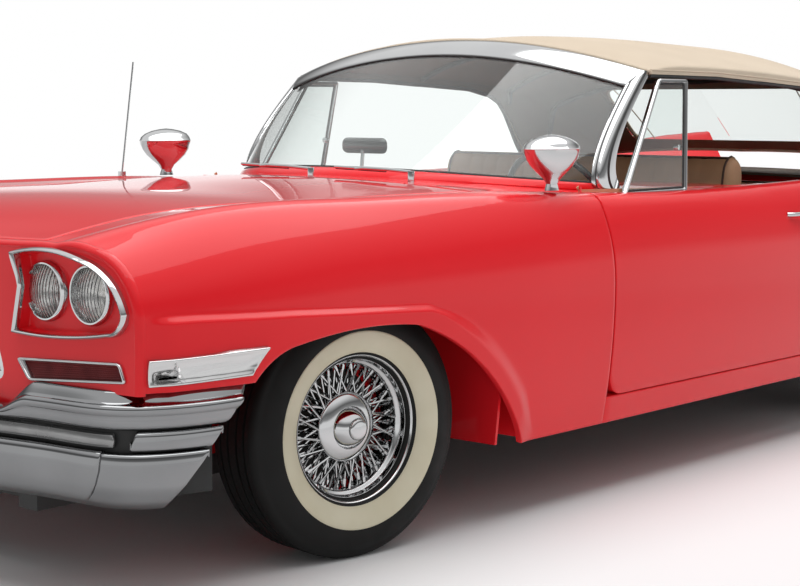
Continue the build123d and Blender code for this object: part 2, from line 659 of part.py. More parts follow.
# Soft top: canvas over a bow frame, with side openings and a rear window
TopSection = namedtuple("TopSection", "x foot_y rail_y rail_z crown_z")
TOP_SECTIONS = [
    TopSection(FRONT_AXLE - 1300, 842, 796, 1362, 1460),
    TopSection(FRONT_AXLE - 1900, 848, 806, 1362, 1472),
    TopSection(FRONT_AXLE - 2500, 850, 806, 1332, 1458),
    TopSection(REAR_AXLE + 330, 849, 794, 1290, 1424),
    TopSection(REAR_AXLE + 190, 846, 784, 1256, 1378),
    TopSection(REAR_AXLE - 260, 800, 700, 1000, 1024),
]
TOP_FOOT_Z = 925.0
CANVAS = 14.0
RAIL_HEIGHT = 30.0


def top_loft(inset):
    wires = []
    for section in TOP_SECTIONS:
        x = section.x
        if inset > 0 and section is TOP_SECTIONS[0]:
            x += 40.0
        if section is TOP_SECTIONS[-1]:
            x += inset
        rail = (section.rail_y - inset, section.rail_z - inset)
        crown = (0.0, section.crown_z - inset)
        via = (rail[0] * 0.62, rail[1] * 0.22 + crown[1] * 0.78)
        points = [
            (0.0, TOP_FOOT_Z - 4 * inset),
            (section.foot_y - inset, TOP_FOOT_Z - 4 * inset),
            rail,
            (via, crown),
        ]
        wires.append(outline(points, lambda y, z: (x, y, z)))
    return Solid.make_loft(wires, True)


top_half = (top_loft(0.0) - top_loft(CANVAS)) - screen(-400.0, FRAME_DEPTH + 0.3)
side_window = [
    (FRONT_AXLE - 1200.0, 800.0),
    (FRONT_AXLE - 1200.0, HEADER_END_Z - 6.0),
    (FRONT_AXLE - 1900.0, 1362.0 - RAIL_HEIGHT),
    (FRONT_AXLE - 2500.0, 1332.0 - RAIL_HEIGHT),
    ((REAR_AXLE + 470.0, 1235.0), (REAR_AXLE + 400.0, 1150.0)),
    (REAR_AXLE + 250.0, 980.0),
    (REAR_AXLE + 250.0, 800.0),
]
REAR_WINDOW_Y = 500.0
REAR_WINDOW_Z = (1075.0, 1300.0)
rear_window_field = block(REAR_AXLE - 400.0, REAR_AXLE + 200.0, -REAR_WINDOW_Y, REAR_WINDOW_Y, *REAR_WINDOW_Z)
top_half = top_half - along_y(side_window, 400.0, 1000.0)
soft_top = both(top_half) - rear_window_field - body_both
soft_top = soft_top - block(FRONT_AXLE - 3000.0, FRONT_AXLE, -1000.0, 1000.0, 0.0, 900.0)
rear_window = both(top_loft(4.0) - top_loft(9.0)) & rear_window_field

# Vent windows stand on the doors behind the screen pillars
vent_outline = [
    (FRONT_AXLE - 1258.0, 940.0),
    (FRONT_AXLE - 1515.0, 1322.0),
    (FRONT_AXLE - 1694.0, 1322.0),
    (FRONT_AXLE - 1640.0, 940.0),
]
vent_opening = [
    (FRONT_AXLE - 1296.0, 962.0),
    (FRONT_AXLE - 1526.0, 1306.0),
    (FRONT_AXLE - 1674.0, 1306.0),
    (FRONT_AXLE - 1624.0, 962.0),
]
vent_slab = along_x([(843.0, 940.0), (861.0, 940.0), (822.0, 1330.0), (804.0, 1330.0)], *SCREEN_X)
vent_pane = along_x([(849.0, 940.0), (855.0, 940.0), (816.0, 1330.0), (810.0, 1330.0)], *SCREEN_X)
vent_plate = along_y(vent_outline, 600.0, 1000.0) & vent_slab
vent_window_left = (vent_plate - along_y(vent_opening, 600.0, 1000.0)) - outer
vent_glass_left = (along_y(vent_opening, 600.0, 1000.0) & vent_pane) - outer

# Bumpers: bright bands that wrap the corners, built up level by level
BandPoint = namedtuple("BandPoint", "x y out_x out_y")
BUMPER_DEPTH = 46.0
FRONT_BAND = [
    BandPoint(FRONT_OVERHANG - 2.0, 0, 1, 0),
    BandPoint(928, 330, 1, 0),
    BandPoint(882, 640, 0.96, 0.3),
    BandPoint(838, 850, 0.7, 0.7),
    BandPoint(700, 944, 0.25, 0.97),
    BandPoint(505, 966, 0, 1),
]
BumperLevel = namedtuple("BumperLevel", "z out")
FRONT_LEVELS = [
    BumperLevel(266, -34),
    BumperLevel(300, -4),
    BumperLevel(384, 2),
    BumperLevel(396, -8),
    BumperLevel(402, -24),
    BumperLevel(428, -24),
    BumperLevel(434, -8),
    BumperLevel(470, 2),
    BumperLevel(528, 0),
    BumperLevel(556, -16),
]
REAR_LEVELS = [
    BumperLevel(300, -30),
    BumperLevel(340, 0),
    BumperLevel(400, -10),
    BumperLevel(440, -10),
    BumperLevel(470, 2),
    BumperLevel(530, 0),
    BumperLevel(556, -16),
]


def band_wire(band, out, z, origin, sign):
    """Closed plan band at height z; `out` moves its outer side, the inner side stays."""
    def at(point, depth):
        return (origin + sign * (point.x + point.out_x * depth), point.y + point.out_y * depth)

    outer_side = [at(point, out) for point in band]
    inner_side = [at(point, -BUMPER_DEPTH) for point in band]
    mirror_y = lambda p: (p[0], -p[1])
    points = [
        outer_side[5],
        outer_side[4],
        (outer_side[3], outer_side[2]),
        (outer_side[0], mirror_y(outer_side[2])),
        (mirror_y(outer_side[3]), mirror_y(outer_side[4])),
        mirror_y(outer_side[5]),
        mirror_y(inner_side[5]),
        mirror_y(inner_side[4]),
        (mirror_y(inner_side[3]), mirror_y(inner_side[2])),
        (inner_side[0], inner_side[2]),
        (inner_side[3], inner_side[4]),
        inner_side[5],
    ]
    return outline(points, lambda x, y: (x, y, z))


def bumper(band, levels, origin, sign):
    return Solid.make_loft([band_wire(band, level.out, level.z, origin, sign) for level in levels], True)


front_end_cut = [
    (FRONT_AXLE + 400.0, 700.0),
    (FRONT_AXLE + 516.0, 560.0),
    (FRONT_AXLE + 704.0, 338.0),
    (FRONT_AXLE + 760.0, 262.0),
    (FRONT_AXLE + 760.0, 200.0),
    (FRONT_AXLE + 400.0, 200.0),
]
centre_dip = [
    (-570.0, 600.0),
    (-545.0, 546.0),
    (-455.0, 492.0),
    (455.0, 492.0),
    (545.0, 546.0),
    (570.0, 600.0),
]
front_bumper = bumper(FRONT_BAND, FRONT_LEVELS, FRONT_AXLE, 1)
front_bumper = front_bumper - along_y(front_end_cut, -1100.0, 1100.0)
front_bumper = front_bumper - along_x(centre_dip, FRONT_AXLE + 600.0, FRONT_AXLE + 1100.0)
nose_panel = nose_panel - front_bumper
rear_overhang = OVERALL_LENGTH - WHEELBASE - FRONT_OVERHANG
REAR_BAND = [
    BandPoint(rear_overhang - 2.0, 0, 1, 0),
    BandPoint(rear_overhang - 4.0, 400, 1, 0),
    BandPoint(rear_overhang - 14.0, 870, 1, 0),
    BandPoint(rear_overhang - 51.5, 960.5, 0.707, 0.707),
    BandPoint(rear_overhang - 142.0, 998, 0, 1),
    BandPoint(rear_overhang - 420.0, 998, 0, 1),
]
rear_bumper = bumper(REAR_BAND, REAR_LEVELS, REAR_AXLE, -1)
rear_bumper = rear_bumper - both(body_loft(3.0))

# Ladder frame
RAIL_LOW_Z = 190.0
RAIL_TOP_Z = FLOOR_Z
RAIL_WIDTH = 76.0
RAIL_FRONT_Y = 340.0
RAIL_MIDDLE_Y = 470.0
RAIL_REAR_Y = 420.0
rail_plan = [
    (FRONT_AXLE + 760.0, RAIL_FRONT_Y),
    (FRONT_AXLE - 600.0, RAIL_FRONT_Y),
    (FRONT_AXLE - 1000.0, RAIL_MIDDLE_Y),
    (REAR_AXLE + 640.0, RAIL_MIDDLE_Y),
    (REAR_AXLE + 640.0, RAIL_MIDDLE_Y + RAIL_WIDTH),
    (FRONT_AXLE - 1020.0, RAIL_MIDDLE_Y + RAIL_WIDTH),
    (FRONT_AXLE - 620.0, RAIL_FRONT_Y + RAIL_WIDTH),
    (FRONT_AXLE + 760.0, RAIL_FRONT_Y + RAIL_WIDTH),
]
rail = along_z(rail_plan, RAIL_LOW_Z, RAIL_TOP_Z)
kick_up = [
    (REAR_AXLE + 700.0, RAIL_LOW_Z),
    (REAR_AXLE + 700.0, RAIL_TOP_Z),
    (REAR_AXLE + 330.0, 540.0),
    (REAR_AXLE - 190.0, 540.0),
    (REAR_AXLE - 350.0, 418.0),
    (REAR_AXLE - 1330.0, 418.0),
    (REAR_AXLE - 1330.0, 330.0),
    (REAR_AXLE - 420.0, 330.0),
    (REAR_AXLE - 170.0, 440.0),
    (REAR_AXLE + 300.0, 440.0),
    (REAR_AXLE + 560.0, RAIL_LOW_Z),
]
rail = rail + along_y(kick_up, RAIL_REAR_Y, RAIL_MIDDLE_Y + RAIL_WIDTH)
tower_out_y = RAIL_FRONT_Y + RAIL_WIDTH
tower = block(FRONT_AXLE - 60.0, FRONT_AXLE + 60.0, RAIL_FRONT_Y + 6.0, tower_out_y, RAIL_LOW_Z, 500.0)
rail = rail + tower
horn = block(FRONT_AXLE + 700.0, FRONT_AXLE + 858.0, RAIL_FRONT_Y, RAIL_FRONT_Y + RAIL_WIDTH, 300.0, 380.0)
rail = rail + horn
tail_horn = block(REAR_AXLE - 1401.5, REAR_AXLE - 1250.0, RAIL_REAR_Y, RAIL_REAR_Y + RAIL_WIDTH, 302.0, 329.7)
tail_horn = tail_horn + block(
    REAR_AXLE - 1330.0, REAR_AXLE - 1250.0, RAIL_REAR_Y, RAIL_REAR_Y + RAIL_WIDTH, 302.0, 340.0
)
rail = rail + tail_horn
chassis_frame = both(rail)
cross_members = [
    (FRONT_AXLE + 640.0, RAIL_LOW_Z, RAIL_TOP_Z),
    (FRONT_AXLE, RAIL_LOW_Z, RAIL_TOP_Z - 40.0),
    (FRONT_AXLE - 1250.0, RAIL_LOW_Z, RAIL_LOW_Z + 70.0),
    (REAR_AXLE + 640.0, RAIL_LOW_Z, RAIL_LOW_Z + 70.0),
    (REAR_AXLE - 480.0, 335.0, 412.0),
    (REAR_AXLE - 1290.0, 335.0, 412.0),
]
for x, low, high in cross_members:
    in_the_middle = -1100 < x - FRONT_AXLE < 0 or (low < 300 and x < FRONT_AXLE - 700)
    reach = RAIL_MIDDLE_Y if in_the_middle else RAIL_FRONT_Y + 20.0
    if x < REAR_AXLE + 600:
        reach = RAIL_REAR_Y + 10.0
    chassis_frame = chassis_frame + block(x - 45.0, x + 45.0, -reach, reach, low, high)
TOW_HOLE = 20.0
tow_x = FRONT_AXLE + 800.0
tow_y = RAIL_FRONT_Y + RAIL_WIDTH / 2
tow_hole = rod((tow_x, tow_y, 250.0), (tow_x, tow_y, 450.0), TOW_HOLE)
chassis_frame = chassis_frame - tow_hole - mirrored(tow_hole)
PAD = 80.0
PAD_DROP = 12.0
pad_stations = (FRONT_AXLE - 1120.0, REAR_AXLE + 760.0)
pad_y = RAIL_MIDDLE_Y + RAIL_WIDTH / 2
for pad_x in pad_stations:
    pad = block(pad_x - PAD, pad_x + PAD, pad_y - 30.0, pad_y + 30.0, RAIL_LOW_Z - PAD_DROP, RAIL_LOW_Z + 5.0)
    chassis_frame = chassis_frame + both(pad)
chassis_frame = chassis_frame - rear_bumper - front_bumper

# Floor, tunnel, seat riser, trunk floor and rear wheel houses
TUNNEL_Y = 150.0
TUNNEL_TOP_Z = 430.0
HOUSE_Y = 620.0
HOUSE_FRONT_X = REAR_AXLE + 472.0
floor_top_z = FLOOR_Z + FLOOR_THICKNESS
floor = block(HOUSE_FRONT_X, FIREWALL_X - 20.0, -SILL_INNER_Y, SILL_INNER_Y, FLOOR_Z, floor_top_z)
floor = floor + block(CABIN_REAR_X, HOUSE_FRONT_X, -HOUSE_Y, HOUSE_Y, FLOOR_Z, FLOOR_Z + FLOOR_THICKNESS)
tunnel_outer = along_x(
    [
        (-TUNNEL_Y, FLOOR_Z),
        (TUNNEL_Y, FLOOR_Z),
        (TUNNEL_Y, TUNNEL_TOP_Z - 80.0),
        ((0.0, TUNNEL_TOP_Z), (-TUNNEL_Y, TUNNEL_TOP_Z - 80.0)),
    ],
    CABIN_REAR_X,
    FIREWALL_X - 20.0,
)
tunnel_inner = along_x(
    [
        (-TUNNEL_Y + 10.0, FLOOR_Z - 20.0),
        (TUNNEL_Y - 10.0, FLOOR_Z - 20.0),
        (TUNNEL_Y - 10.0, TUNNEL_TOP_Z - 84.0),
        ((0.0, TUNNEL_TOP_Z - 10.0), (-TUNNEL_Y + 10.0, TUNNEL_TOP_Z - 84.0)),
    ],
    CABIN_REAR_X - 40.0,
    FIREWALL_X + 40.0,
)
floor = floor + tunnel_outer
bulkhead = block(CABIN_REAR_X - 16.0, CABIN_REAR_X, -HOUSE_Y, HOUSE_Y, FLOOR_Z, 905.0)
floor = floor + bulkhead - tunnel_inner
trunk_top_z = TRUNK_FLOOR_Z + FLOOR_THICKNESS
trunk_floor = block(TAIL_X + SKIN, CABIN_REAR_X - 16.0, -HOUSE_Y, HOUSE_Y, TRUNK_FLOOR_Z, trunk_top_z)
axle_hump = block(REAR_AXLE - 360.0, CABIN_REAR_X - 16.0, -HOUSE_Y, HOUSE_Y, TRUNK_FLOOR_Z - 20.0, 560.0)
hump = block(REAR_AXLE - 372.0, CABIN_REAR_X - 16.0, -HOUSE_Y, HOUSE_Y, TRUNK_FLOOR_Z, 572.0)
wheel_wall = block(TAIL_X + 260.0, CABIN_REAR_X, HOUSE_Y - 12.0, HOUSE_Y, TRUNK_FLOOR_Z, 800.0)
wheel_wall = wheel_wall + block(CABIN_REAR_X, HOUSE_FRONT_X, HOUSE_Y - 12.0, HOUSE_Y, FLOOR_Z, 800.0)
house_end = block(HOUSE_FRONT_X - 12.0, HOUSE_FRONT_X, HOUSE_Y - 12.0, DOOR_INNER_Y, FLOOR_Z, 800.0)
wheel_wall = wheel_wall + house_end
wheel_roof = block(TAIL_X + 260.0, HOUSE_FRONT_X, HOUSE_Y - 12.0, 1000.0, 788.0, 800.0)
house = wheel_wall + ((wheel_roof & void) - quarter_panel_left)
floor_pan = (floor + (trunk_floor + hump) + both(house)) - axle_hump
floor_pan = floor_pan - sills - chassis_frame

# Inner front wheel houses with the splash panel behind the wheel
APRON_Y = 462.0
apron_wall = block(FIREWALL_X, FRONT_AXLE + 620.0, APRON_Y - 8.0, APRON_Y, RAIL_TOP_Z - 40.0, 900.0)
apron_foot = block(FIREWALL_X, FRONT_AXLE + 620.0, RAIL_FRONT_Y + 20.0, APRON_Y, RAIL_TOP_Z, RAIL_TOP_Z + 8.0)
apron_top = block(FIREWALL_X, FRONT_AXLE + 620.0, APRON_Y - 8.0, 1000.0, 892.0, 900.0)
splash_x = FRONT_AXLE - 500.0
splash = along_y(
    [
        (splash_x, SILL_Z + 5.0),
        (splash_x, 892.0),
        (splash_x - 10.0, 892.0),
        (splash_x - 10.0, SILL_Z + 5.0),
    ],
    APRON_Y - 8.0,
    1000.0,
)
apron = apron_wall + apron_foot + ((apron_top + splash) & void)
apron = apron - opening_solid.mirror(Plane.XZ) - chassis_frame - tower
apron = apron - block(FRONT_AXLE - 75.0, FRONT_AXLE + 75.0, 300.0, 560.0, 0.0, 560.0)
wheel_aprons = pair(apron)

# Engine with gearbox, one plain mass
engine_block = block(FRONT_AXLE - 480.0, FRONT_AXLE + 260.0, -300.0, 300.0, RAIL_TOP_Z - 40.0, 820.0)
gearbox = block(FIREWALL_X - 600.0, FRONT_AXLE - 470.0, -110.0, 110.0, RAIL_LOW_Z + 72.0, 362.0)
engine_block = engine_block + gearbox

# Running gear: arms, knuckles, rear axle, springs and shaft
AXLE_Z = TYRE_RADIUS
KING_PIN_Y = FRONT_TRACK / 2 - 62.0
SPINDLE = 22.0
ARM_LOW_Z = AXLE_Z - 106.0
ARM_HIGH_Z = AXLE_Z + 106.0
BALL_PIN = 9.0


def arm(z0, z1, pin_z):
    root_y = RAIL_FRONT_Y + RAIL_WIDTH - 2.0
    plan = [
        (FRONT_AXLE - 60.0, root_y),
        (FRONT_AXLE - 13.0, KING_PIN_Y - 60.0),
        (FRONT_AXLE - 13.0, KING_PIN_Y + 12.0),
        (FRONT_AXLE + 13.0, KING_PIN_Y + 12.0),
        (FRONT_AXLE + 13.0, KING_PIN_Y - 60.0),
        (FRONT_AXLE + 60.0, root_y),
    ]
    beam = along_z(plan, z0, z1)
    pin = rod((FRONT_AXLE, KING_PIN_Y, (z0 + z1) / 2), (FRONT_AXLE, KING_PIN_Y, pin_z), BALL_PIN)
    return beam + pin


low_arm = arm(ARM_LOW_Z - 24.0, ARM_LOW_Z, ARM_LOW_Z + 40.0)
high_arm = arm(ARM_HIGH_Z, ARM_HIGH_Z + 20.0, ARM_HIGH_Z - 40.0)
chassis_frame = chassis_frame + both(low_arm) + both(high_arm)
knuckle = rod((FRONT_AXLE, KING_PIN_Y, ARM_LOW_Z + 2.0), (FRONT_AXLE, KING_PIN_Y, ARM_HIGH_Z - 2.0), 26.0)
for low, high in ((ARM_LOW_Z, ARM_LOW_Z + 45.0), (ARM_HIGH_Z - 45.0, ARM_HIGH_Z)):
    pin_bore = rod((FRONT_AXLE, KING_PIN_Y, low), (FRONT_AXLE, KING_PIN_Y, high), BALL_PIN + RUNNING_GAP)
    knuckle = knuckle - pin_bore
WHEEL_Y = FRONT_TRACK / 2
DRUM_RADIUS = 148.0
drum_y = (WHEEL_Y - 36.0, WHEEL_Y - 20.0)
knuckle = knuckle + rod((FRONT_AXLE, KING_PIN_Y, AXLE_Z), (FRONT_AXLE, WHEEL_Y + 30.0, AXLE_Z), SPINDLE)
knuckle = knuckle + rod((FRONT_AXLE, drum_y[0], AXLE_Z), (FRONT_AXLE, drum_y[1], AXLE_Z), DRUM_RADIUS)
steer_point = Pos(FRONT_AXLE, KING_PIN_Y, 0) * Rot(0, 0, PARKED_STEER) * Pos(-FRONT_AXLE, -KING_PIN_Y, 0)
parked_turn = Rot(0, 0, PARKED_STEER)
steer_point_right = Pos(FRONT_AXLE, -KING_PIN_Y, 0) * parked_turn * Pos(-FRONT_AXLE, KING_PIN_Y, 0)
knuckle_left = steer_point * knuckle
knuckle_right = steer_point_right * mirrored(knuckle)

REAR_WHEEL_Y = REAR_TRACK / 2
SPRING_Y = 585.0
axle_half = rod((REAR_AXLE, 0, AXLE_Z), (REAR_AXLE, REAR_WHEEL_Y - 20.0, AXLE_Z), 42.0)
axle_half = axle_half + rod((REAR_AXLE, 0, AXLE_Z), (REAR_AXLE, REAR_WHEEL_Y + 30.0, AXLE_Z), SPINDLE)
axle_half = axle_half + rod(
    (REAR_AXLE, REAR_WHEEL_Y - 40.0, AXLE_Z), (REAR_AXLE, REAR_WHEEL_Y - 22.0, AXLE_Z), DRUM_RADIUS
)
spring = along_y(
    [
        (REAR_AXLE + 620.0, 240.0),
        ((REAR_AXLE, 292.0), (REAR_AXLE - 700.0, 345.0)),
        (REAR_AXLE - 700.0, 372.0),
        ((REAR_AXLE, 317.0), (REAR_AXLE + 620.0, 266.0)),
    ],
    SPRING_Y - 30.0,
    SPRING_Y + 30.0,
)
spring = spring + block(REAR_AXLE - 50.0, REAR_AXLE + 50.0, SPRING_Y - 30.0, SPRING_Y + 30.0, 296.0, AXLE_Z)
front_hanger = block(
    REAR_AXLE + 590.0, REAR_AXLE + 640.0,
    RAIL_MIDDLE_Y + RAIL_WIDTH, SPRING_Y + 30.0,
    220.0, RAIL_TOP_Z - 10.0,
)
rear_hanger = block(
    REAR_AXLE - 720.0, REAR_AXLE - 680.0, RAIL_MIDDLE_Y + RAIL_WIDTH, SPRING_Y + 30.0, 345.0, 415.0
)
axle_half = axle_half + spring + front_hanger + rear_hanger
differential = Pos(REAR_AXLE, 0, AXLE_Z) * Sphere(135.0)
rear_axle = both(axle_half) + differential
shaft_front = FIREWALL_X - 600.0
drive_shaft = rod((REAR_AXLE + 100.0, 0, AXLE_Z - 4.0), (shaft_front, 0, 330.0), 38.0)
rear_axle = rear_axle + (drive_shaft - engine_block)

# Wheels: wire wheel and whitewall tyre about an axle along Y through the origin, outer side at +Y
RIM_RADIUS = 190.0
RIM_INNER = 180.0
RIM_LIP = 208.0
RIM_HALF = 84.0
TYRE_HALF = 112.0
TREAD_HALF = 86.0
HUB_RADIUS = 46.0
SPOKES = 18
SPOKE_RADIUS = 2.6


def turned(points):
    """Solid of revolution about Y from (radius, y) points."""
    face = Face(outline(points, lambda r, y: (r, y, 0)))
    return Solid.revolve(face, 360, Axis.Y)


rim = turned(
    [
        (RIM_INNER, -RIM_HALF),
        (RIM_LIP, -RIM_HALF),
        (RIM_LIP, -RIM_HALF + 9.0),
        (RIM_RADIUS, -RIM_HALF + 14.0),
        (RIM_RADIUS, RIM_HALF - 14.0),
        (RIM_LIP, RIM_HALF - 9.0),
        (RIM_LIP, RIM_HALF),
        (RIM_LIP - 9.0, RIM_HALF),
        (RIM_INNER, RIM_HALF - 26.0),
    ]
)
hub = turned(
    [
        (SPINDLE + 0.4, -16.0),
        (HUB_RADIUS, -16.0),
        (HUB_RADIUS, 20.0),
        (96.0, 34.0),
        (96.0, 40.0),
        (58.0, 58.0),
        (40.0, 92.0),
        (0.0, 98.0),
        (0.0, 40.0),
        (SPINDLE + 0.4, 36.0),
    ]
)
# Columns: lean, radius and place at the hub, place at the rim
SPOKE_LACING = [(1, 90.0, 36.0, 44.0), (-1, 90.0, 37.5, 36.0), (1, 42.0, -6.0, 6.0), (-1, 42.0, 2.0, -6.0)]
spoke_parts = []
for index in range(SPOKES):
    for lean, hub_r, hub_y, rim_y in SPOKE_LACING:
        start = 360.0 * index / SPOKES + (0 if hub_r > 60 else 10.0)
        end = start + lean * (24.0 if hub_r > 60 else 38.0)
        a = math.radians(start)
        b = math.radians(end)
        reach = RIM_INNER + 3.0
        spoke_parts.append(
            rod(
                (hub_r * math.cos(a), hub_y, hub_r * math.sin(a)),
                (reach * math.cos(b), rim_y, reach * math.sin(b)),
                SPOKE_RADIUS,
            )
        )
wheel = (rim + hub).fuse(*spoke_parts)
tyre = turned(
    [
        (RIM_RADIUS + 0.2, -RIM_HALF + 14.5),
        ((262.0, -TYRE_HALF), (TYRE_RADIUS - 22.0, -TREAD_HALF - 10.0)),
        ((TYRE_RADIUS - 5.0, -TREAD_HALF), (TYRE_RADIUS, -TREAD_HALF + 14.0)),
        (TYRE_RADIUS, TREAD_HALF - 14.0),
        ((TYRE_RADIUS - 5.0, TREAD_HALF), (TYRE_RADIUS - 22.0, TREAD_HALF + 10.0)),
        ((262.0, TYRE_HALF), (RIM_RADIUS + 0.2, RIM_HALF - 14.5)),
    ]
)
tyre = tyre - rim
wheel_stations = {
    "front_left": steer_point * Pos(FRONT_AXLE, WHEEL_Y, AXLE_Z),
    "front_right": steer_point_right * Pos(FRONT_AXLE, -WHEEL_Y, AXLE_Z) * Rot(0, 0, 180),
    "rear_left": Pos(REAR_AXLE, REAR_WHEEL_Y, AXLE_Z),
    "rear_right": Pos(REAR_AXLE, -REAR_WHEEL_Y, AXLE_Z) * Rot(0, 0, 180),
}

# Dashboard with the steering column, and the steering wheel on its shaft
dash_outline = [
    (FIREWALL_X - 20.0, 900.0),
    (FIREWALL_X - 20.0, 950.0),
    ((FRONT_AXLE - 1060.0, 962.0), (FRONT_AXLE - 1230.0, 930.0)),
    (FRONT_AXLE - 1250.0, 890.0),
    (FRONT_AXLE - 1180.0, 690.0),
    (FRONT_AXLE - 1100.0, 690.0),
    (FRONT_AXLE - 1080.0, 850.0),
]
dashboard = along_y(dash_outline, -FIREWALL_Y + 22.0, FIREWALL_Y - 22.0) - cowl_panel
STEERING_Y = 390.0
STEERING_X = FRONT_AXLE - 1545.0
STEERING_Z = 880.0
COLUMN_TILT = 26.0
STEERING_RADIUS = 208.0
column_dir = (math.cos(math.radians(COLUMN_TILT)), 0.0, -math.sin(math.radians(COLUMN_TILT)))


def on_column(distance):
    return (
        STEERING_X + column_dir[0] * distance,
        STEERING_Y,
        STEERING_Z + column_dir[2] * distance,
    )


column = rod(on_column(70.0), on_column(700.0), 30.0) + rod(on_column(20.0), on_column(80.0), 11.0)
dashboard = dashboard + (column - engine_block)
dashboard = dashboard - cowl_panel - floor_pan
wheel_plane = Plane(origin=Vector(*on_column(0.0)), z_dir=Vector(*column_dir))
steering_rim = wheel_plane * Torus(STEERING_RADIUS, 12.0)
column_bore = rod(on_column(15.0), on_column(90.0), 11.0 + RUNNING_GAP)
steering_hub = rod(on_column(-18.0), on_column(62.0), 34.0) - column_bore
steering_spoke = wheel_plane * (Pos(0, 0, 10.0) * Box(22.0, 2 * STEERING_RADIUS - 4.0, 12.0))
steering_wheel = steering_rim + steering_hub + (steering_spoke - rod(on_column(15.0), on_column(90.0), 12.0))

# Seats: front bench and rear bench, each a cushion and a back
SEAT_Y = 690.0
front_cushion = along_y(
    [
        (FRONT_AXLE - 2210.0, FLOOR_Z + FLOOR_THICKNESS),
        (FRONT_AXLE - 1700.0, FLOOR_Z + FLOOR_THICKNESS),
        (FRONT_AXLE - 1670.0, 520.0),
        ((FRONT_AXLE - 1690.0, 575.0), (FRONT_AXLE - 1760.0, 585.0)),
        (FRONT_AXLE - 2180.0, 540.0),
    ],
    -SEAT_Y,
    SEAT_Y,
)
front_back = along_y(
    [
        (FRONT_AXLE - 2300.0, FLOOR_Z + FLOOR_THICKNESS + 60.0),
        (FRONT_AXLE - 2150.0, FLOOR_Z + FLOOR_THICKNESS + 60.0),
        (FRONT_AXLE - 2130.0, 560.0),
        (FRONT_AXLE - 2215.0, 1010.0),
        ((FRONT_AXLE - 2270.0, 1055.0), (FRONT_AXLE - 2320.0, 1005.0)),
        (FRONT_AXLE - 2330.0, 560.0),
    ],
    -SEAT_Y,
    SEAT_Y,
)
front_seat = (front_cushion + front_back) - tunnel_outer
rear_cushion = along_y(
    [
        (CABIN_REAR_X, FLOOR_Z + FLOOR_THICKNESS),
        (CABIN_REAR_X + 560.0, FLOOR_Z + FLOOR_THICKNESS),
        (CABIN_REAR_X + 580.0, 500.0),
        ((CABIN_REAR_X + 560.0, 548.0), (CABIN_REAR_X + 500.0, 560.0)),
        (CABIN_REAR_X + 130.0, 520.0),
        (CABIN_REAR_X + 40.0, 920.0),
        (CABIN_REAR_X, 925.0),
    ],
    -600.0,
    600.0,
)
rear_seat = rear_cushion - tunnel_outer - chassis_frame - floor_pan

# Fittings: mirrors on the fenders, wipers, inside mirror, antenna, tail lamps, exhaust and tank
MIRROR_X = FRONT_AXLE - 839.0
MIRROR_Y = 880.0
MIRROR_Z = 1092.0
mirror_head = Pos(MIRROR_X + 10.0, MIRROR_Y, MIRROR_Z) * Sphere(56.0)
mirror_head = mirror_head & block(MIRROR_X - 12.0, MIRROR_X + 200.0, 700.0, 1000.0, 900.0, 1300.0)
mirror_foot = along_y(
    [
        (MIRROR_X - 40.0, 930.0),
        (MIRROR_X + 20.0, 930.0),
        (MIRROR_X + 48.0, 1080.0),
        (MIRROR_X + 6.0, 1080.0),
    ],
    MIRROR_Y - 13.0,
    MIRROR_Y + 13.0,
)
fender_mirror = (mirror_head + mirror_foot) - outer
fender_mirrors = pair(fender_mirror)

wiper_x = FRONT_AXLE - 716.0
WIPER_REACH = 330.0
wiper_parts = []
for wiper_y in (-20.0, 420.0):
    pivot = rod((wiper_x, wiper_y, 960.0), (wiper_x, wiper_y, 1034.0), 11.0)
    blade_arm = rod((wiper_x, wiper_y, 1028.0), (wiper_x + 4.0, wiper_y - WIPER_REACH, 1034.0), 5.0)
    wiper_parts.append((pivot + blade_arm) - body_both)
wipers = solids_of(*wiper_parts)
antenna_x = FRONT_AXLE - 589.0
antenna = rod((antenna_x, -835.0, 940.0), (antenna_x, -835.0, 998.0), 14.0)
antenna = antenna + rod((antenna_x, -835.0, 990.0), (antenna_x - 60.0, -835.0, 1386.0), 3.0)
antenna = antenna - body_both
INSIDE_MIRROR_Y = -30.0
mirror_x = FRONT_AXLE - 1000.0
inside_mirror = block(
    mirror_x, mirror_x + 22.0, INSIDE_MIRROR_Y - 100.0, INSIDE_MIRROR_Y + 100.0, 1064.0, 1120.0
)
mirror_foot = (mirror_x + 24.0, INSIDE_MIRROR_Y, 900.0)
inside_mirror = inside_mirror + rod(mirror_foot, (mirror_x + 12.0, INSIDE_MIRROR_Y, 1080.0), 8.0)
dashboard = dashboard + inside_mirror

lamp_outline = [(804.0, 620.0), (916.0, 640.0), (886.0, 1052.0), (846.0, 1058.0)]
tail_lamp = along_x(lamp_outline, TAIL_X - 34.0, TAIL_X + 2.0) - outer
tail_lamps = pair(tail_lamp)

PIPE_Y = 250.0
pipe = rod((FRONT_AXLE - 420.0, PIPE_Y, 240.0), (REAR_AXLE + 420.0, PIPE_Y, 240.0), 28.0)
silencer = rod((REAR_AXLE + 1300.0, PIPE_Y, 245.0), (REAR_AXLE + 720.0, PIPE_Y, 245.0), 62.0)
rise = rod((REAR_AXLE + 430.0, PIPE_Y, 240.0), (REAR_AXLE + 200.0, PIPE_Y, 520.0), 28.0)
over = rod((REAR_AXLE + 210.0, PIPE_Y, 516.0), (REAR_AXLE - 230.0, PIPE_Y, 516.0), 28.0)
drop = rod((REAR_AXLE - 220.0, PIPE_Y, 520.0), (REAR_AXLE - 420.0, PIPE_Y, 300.0), 28.0)
tail_pipe = rod((REAR_AXLE - 410.0, PIPE_Y, 305.0), (REAR_AXLE - 1360.0, PIPE_Y, 290.0), 28.0)
down_pipe = rod((FRONT_AXLE - 420.0, PIPE_Y, 230.0), (FRONT_AXLE - 420.0, PIPE_Y, 290.0), 28.0)
exhaust_half = pipe + silencer + rise + over + drop + tail_pipe + down_pipe
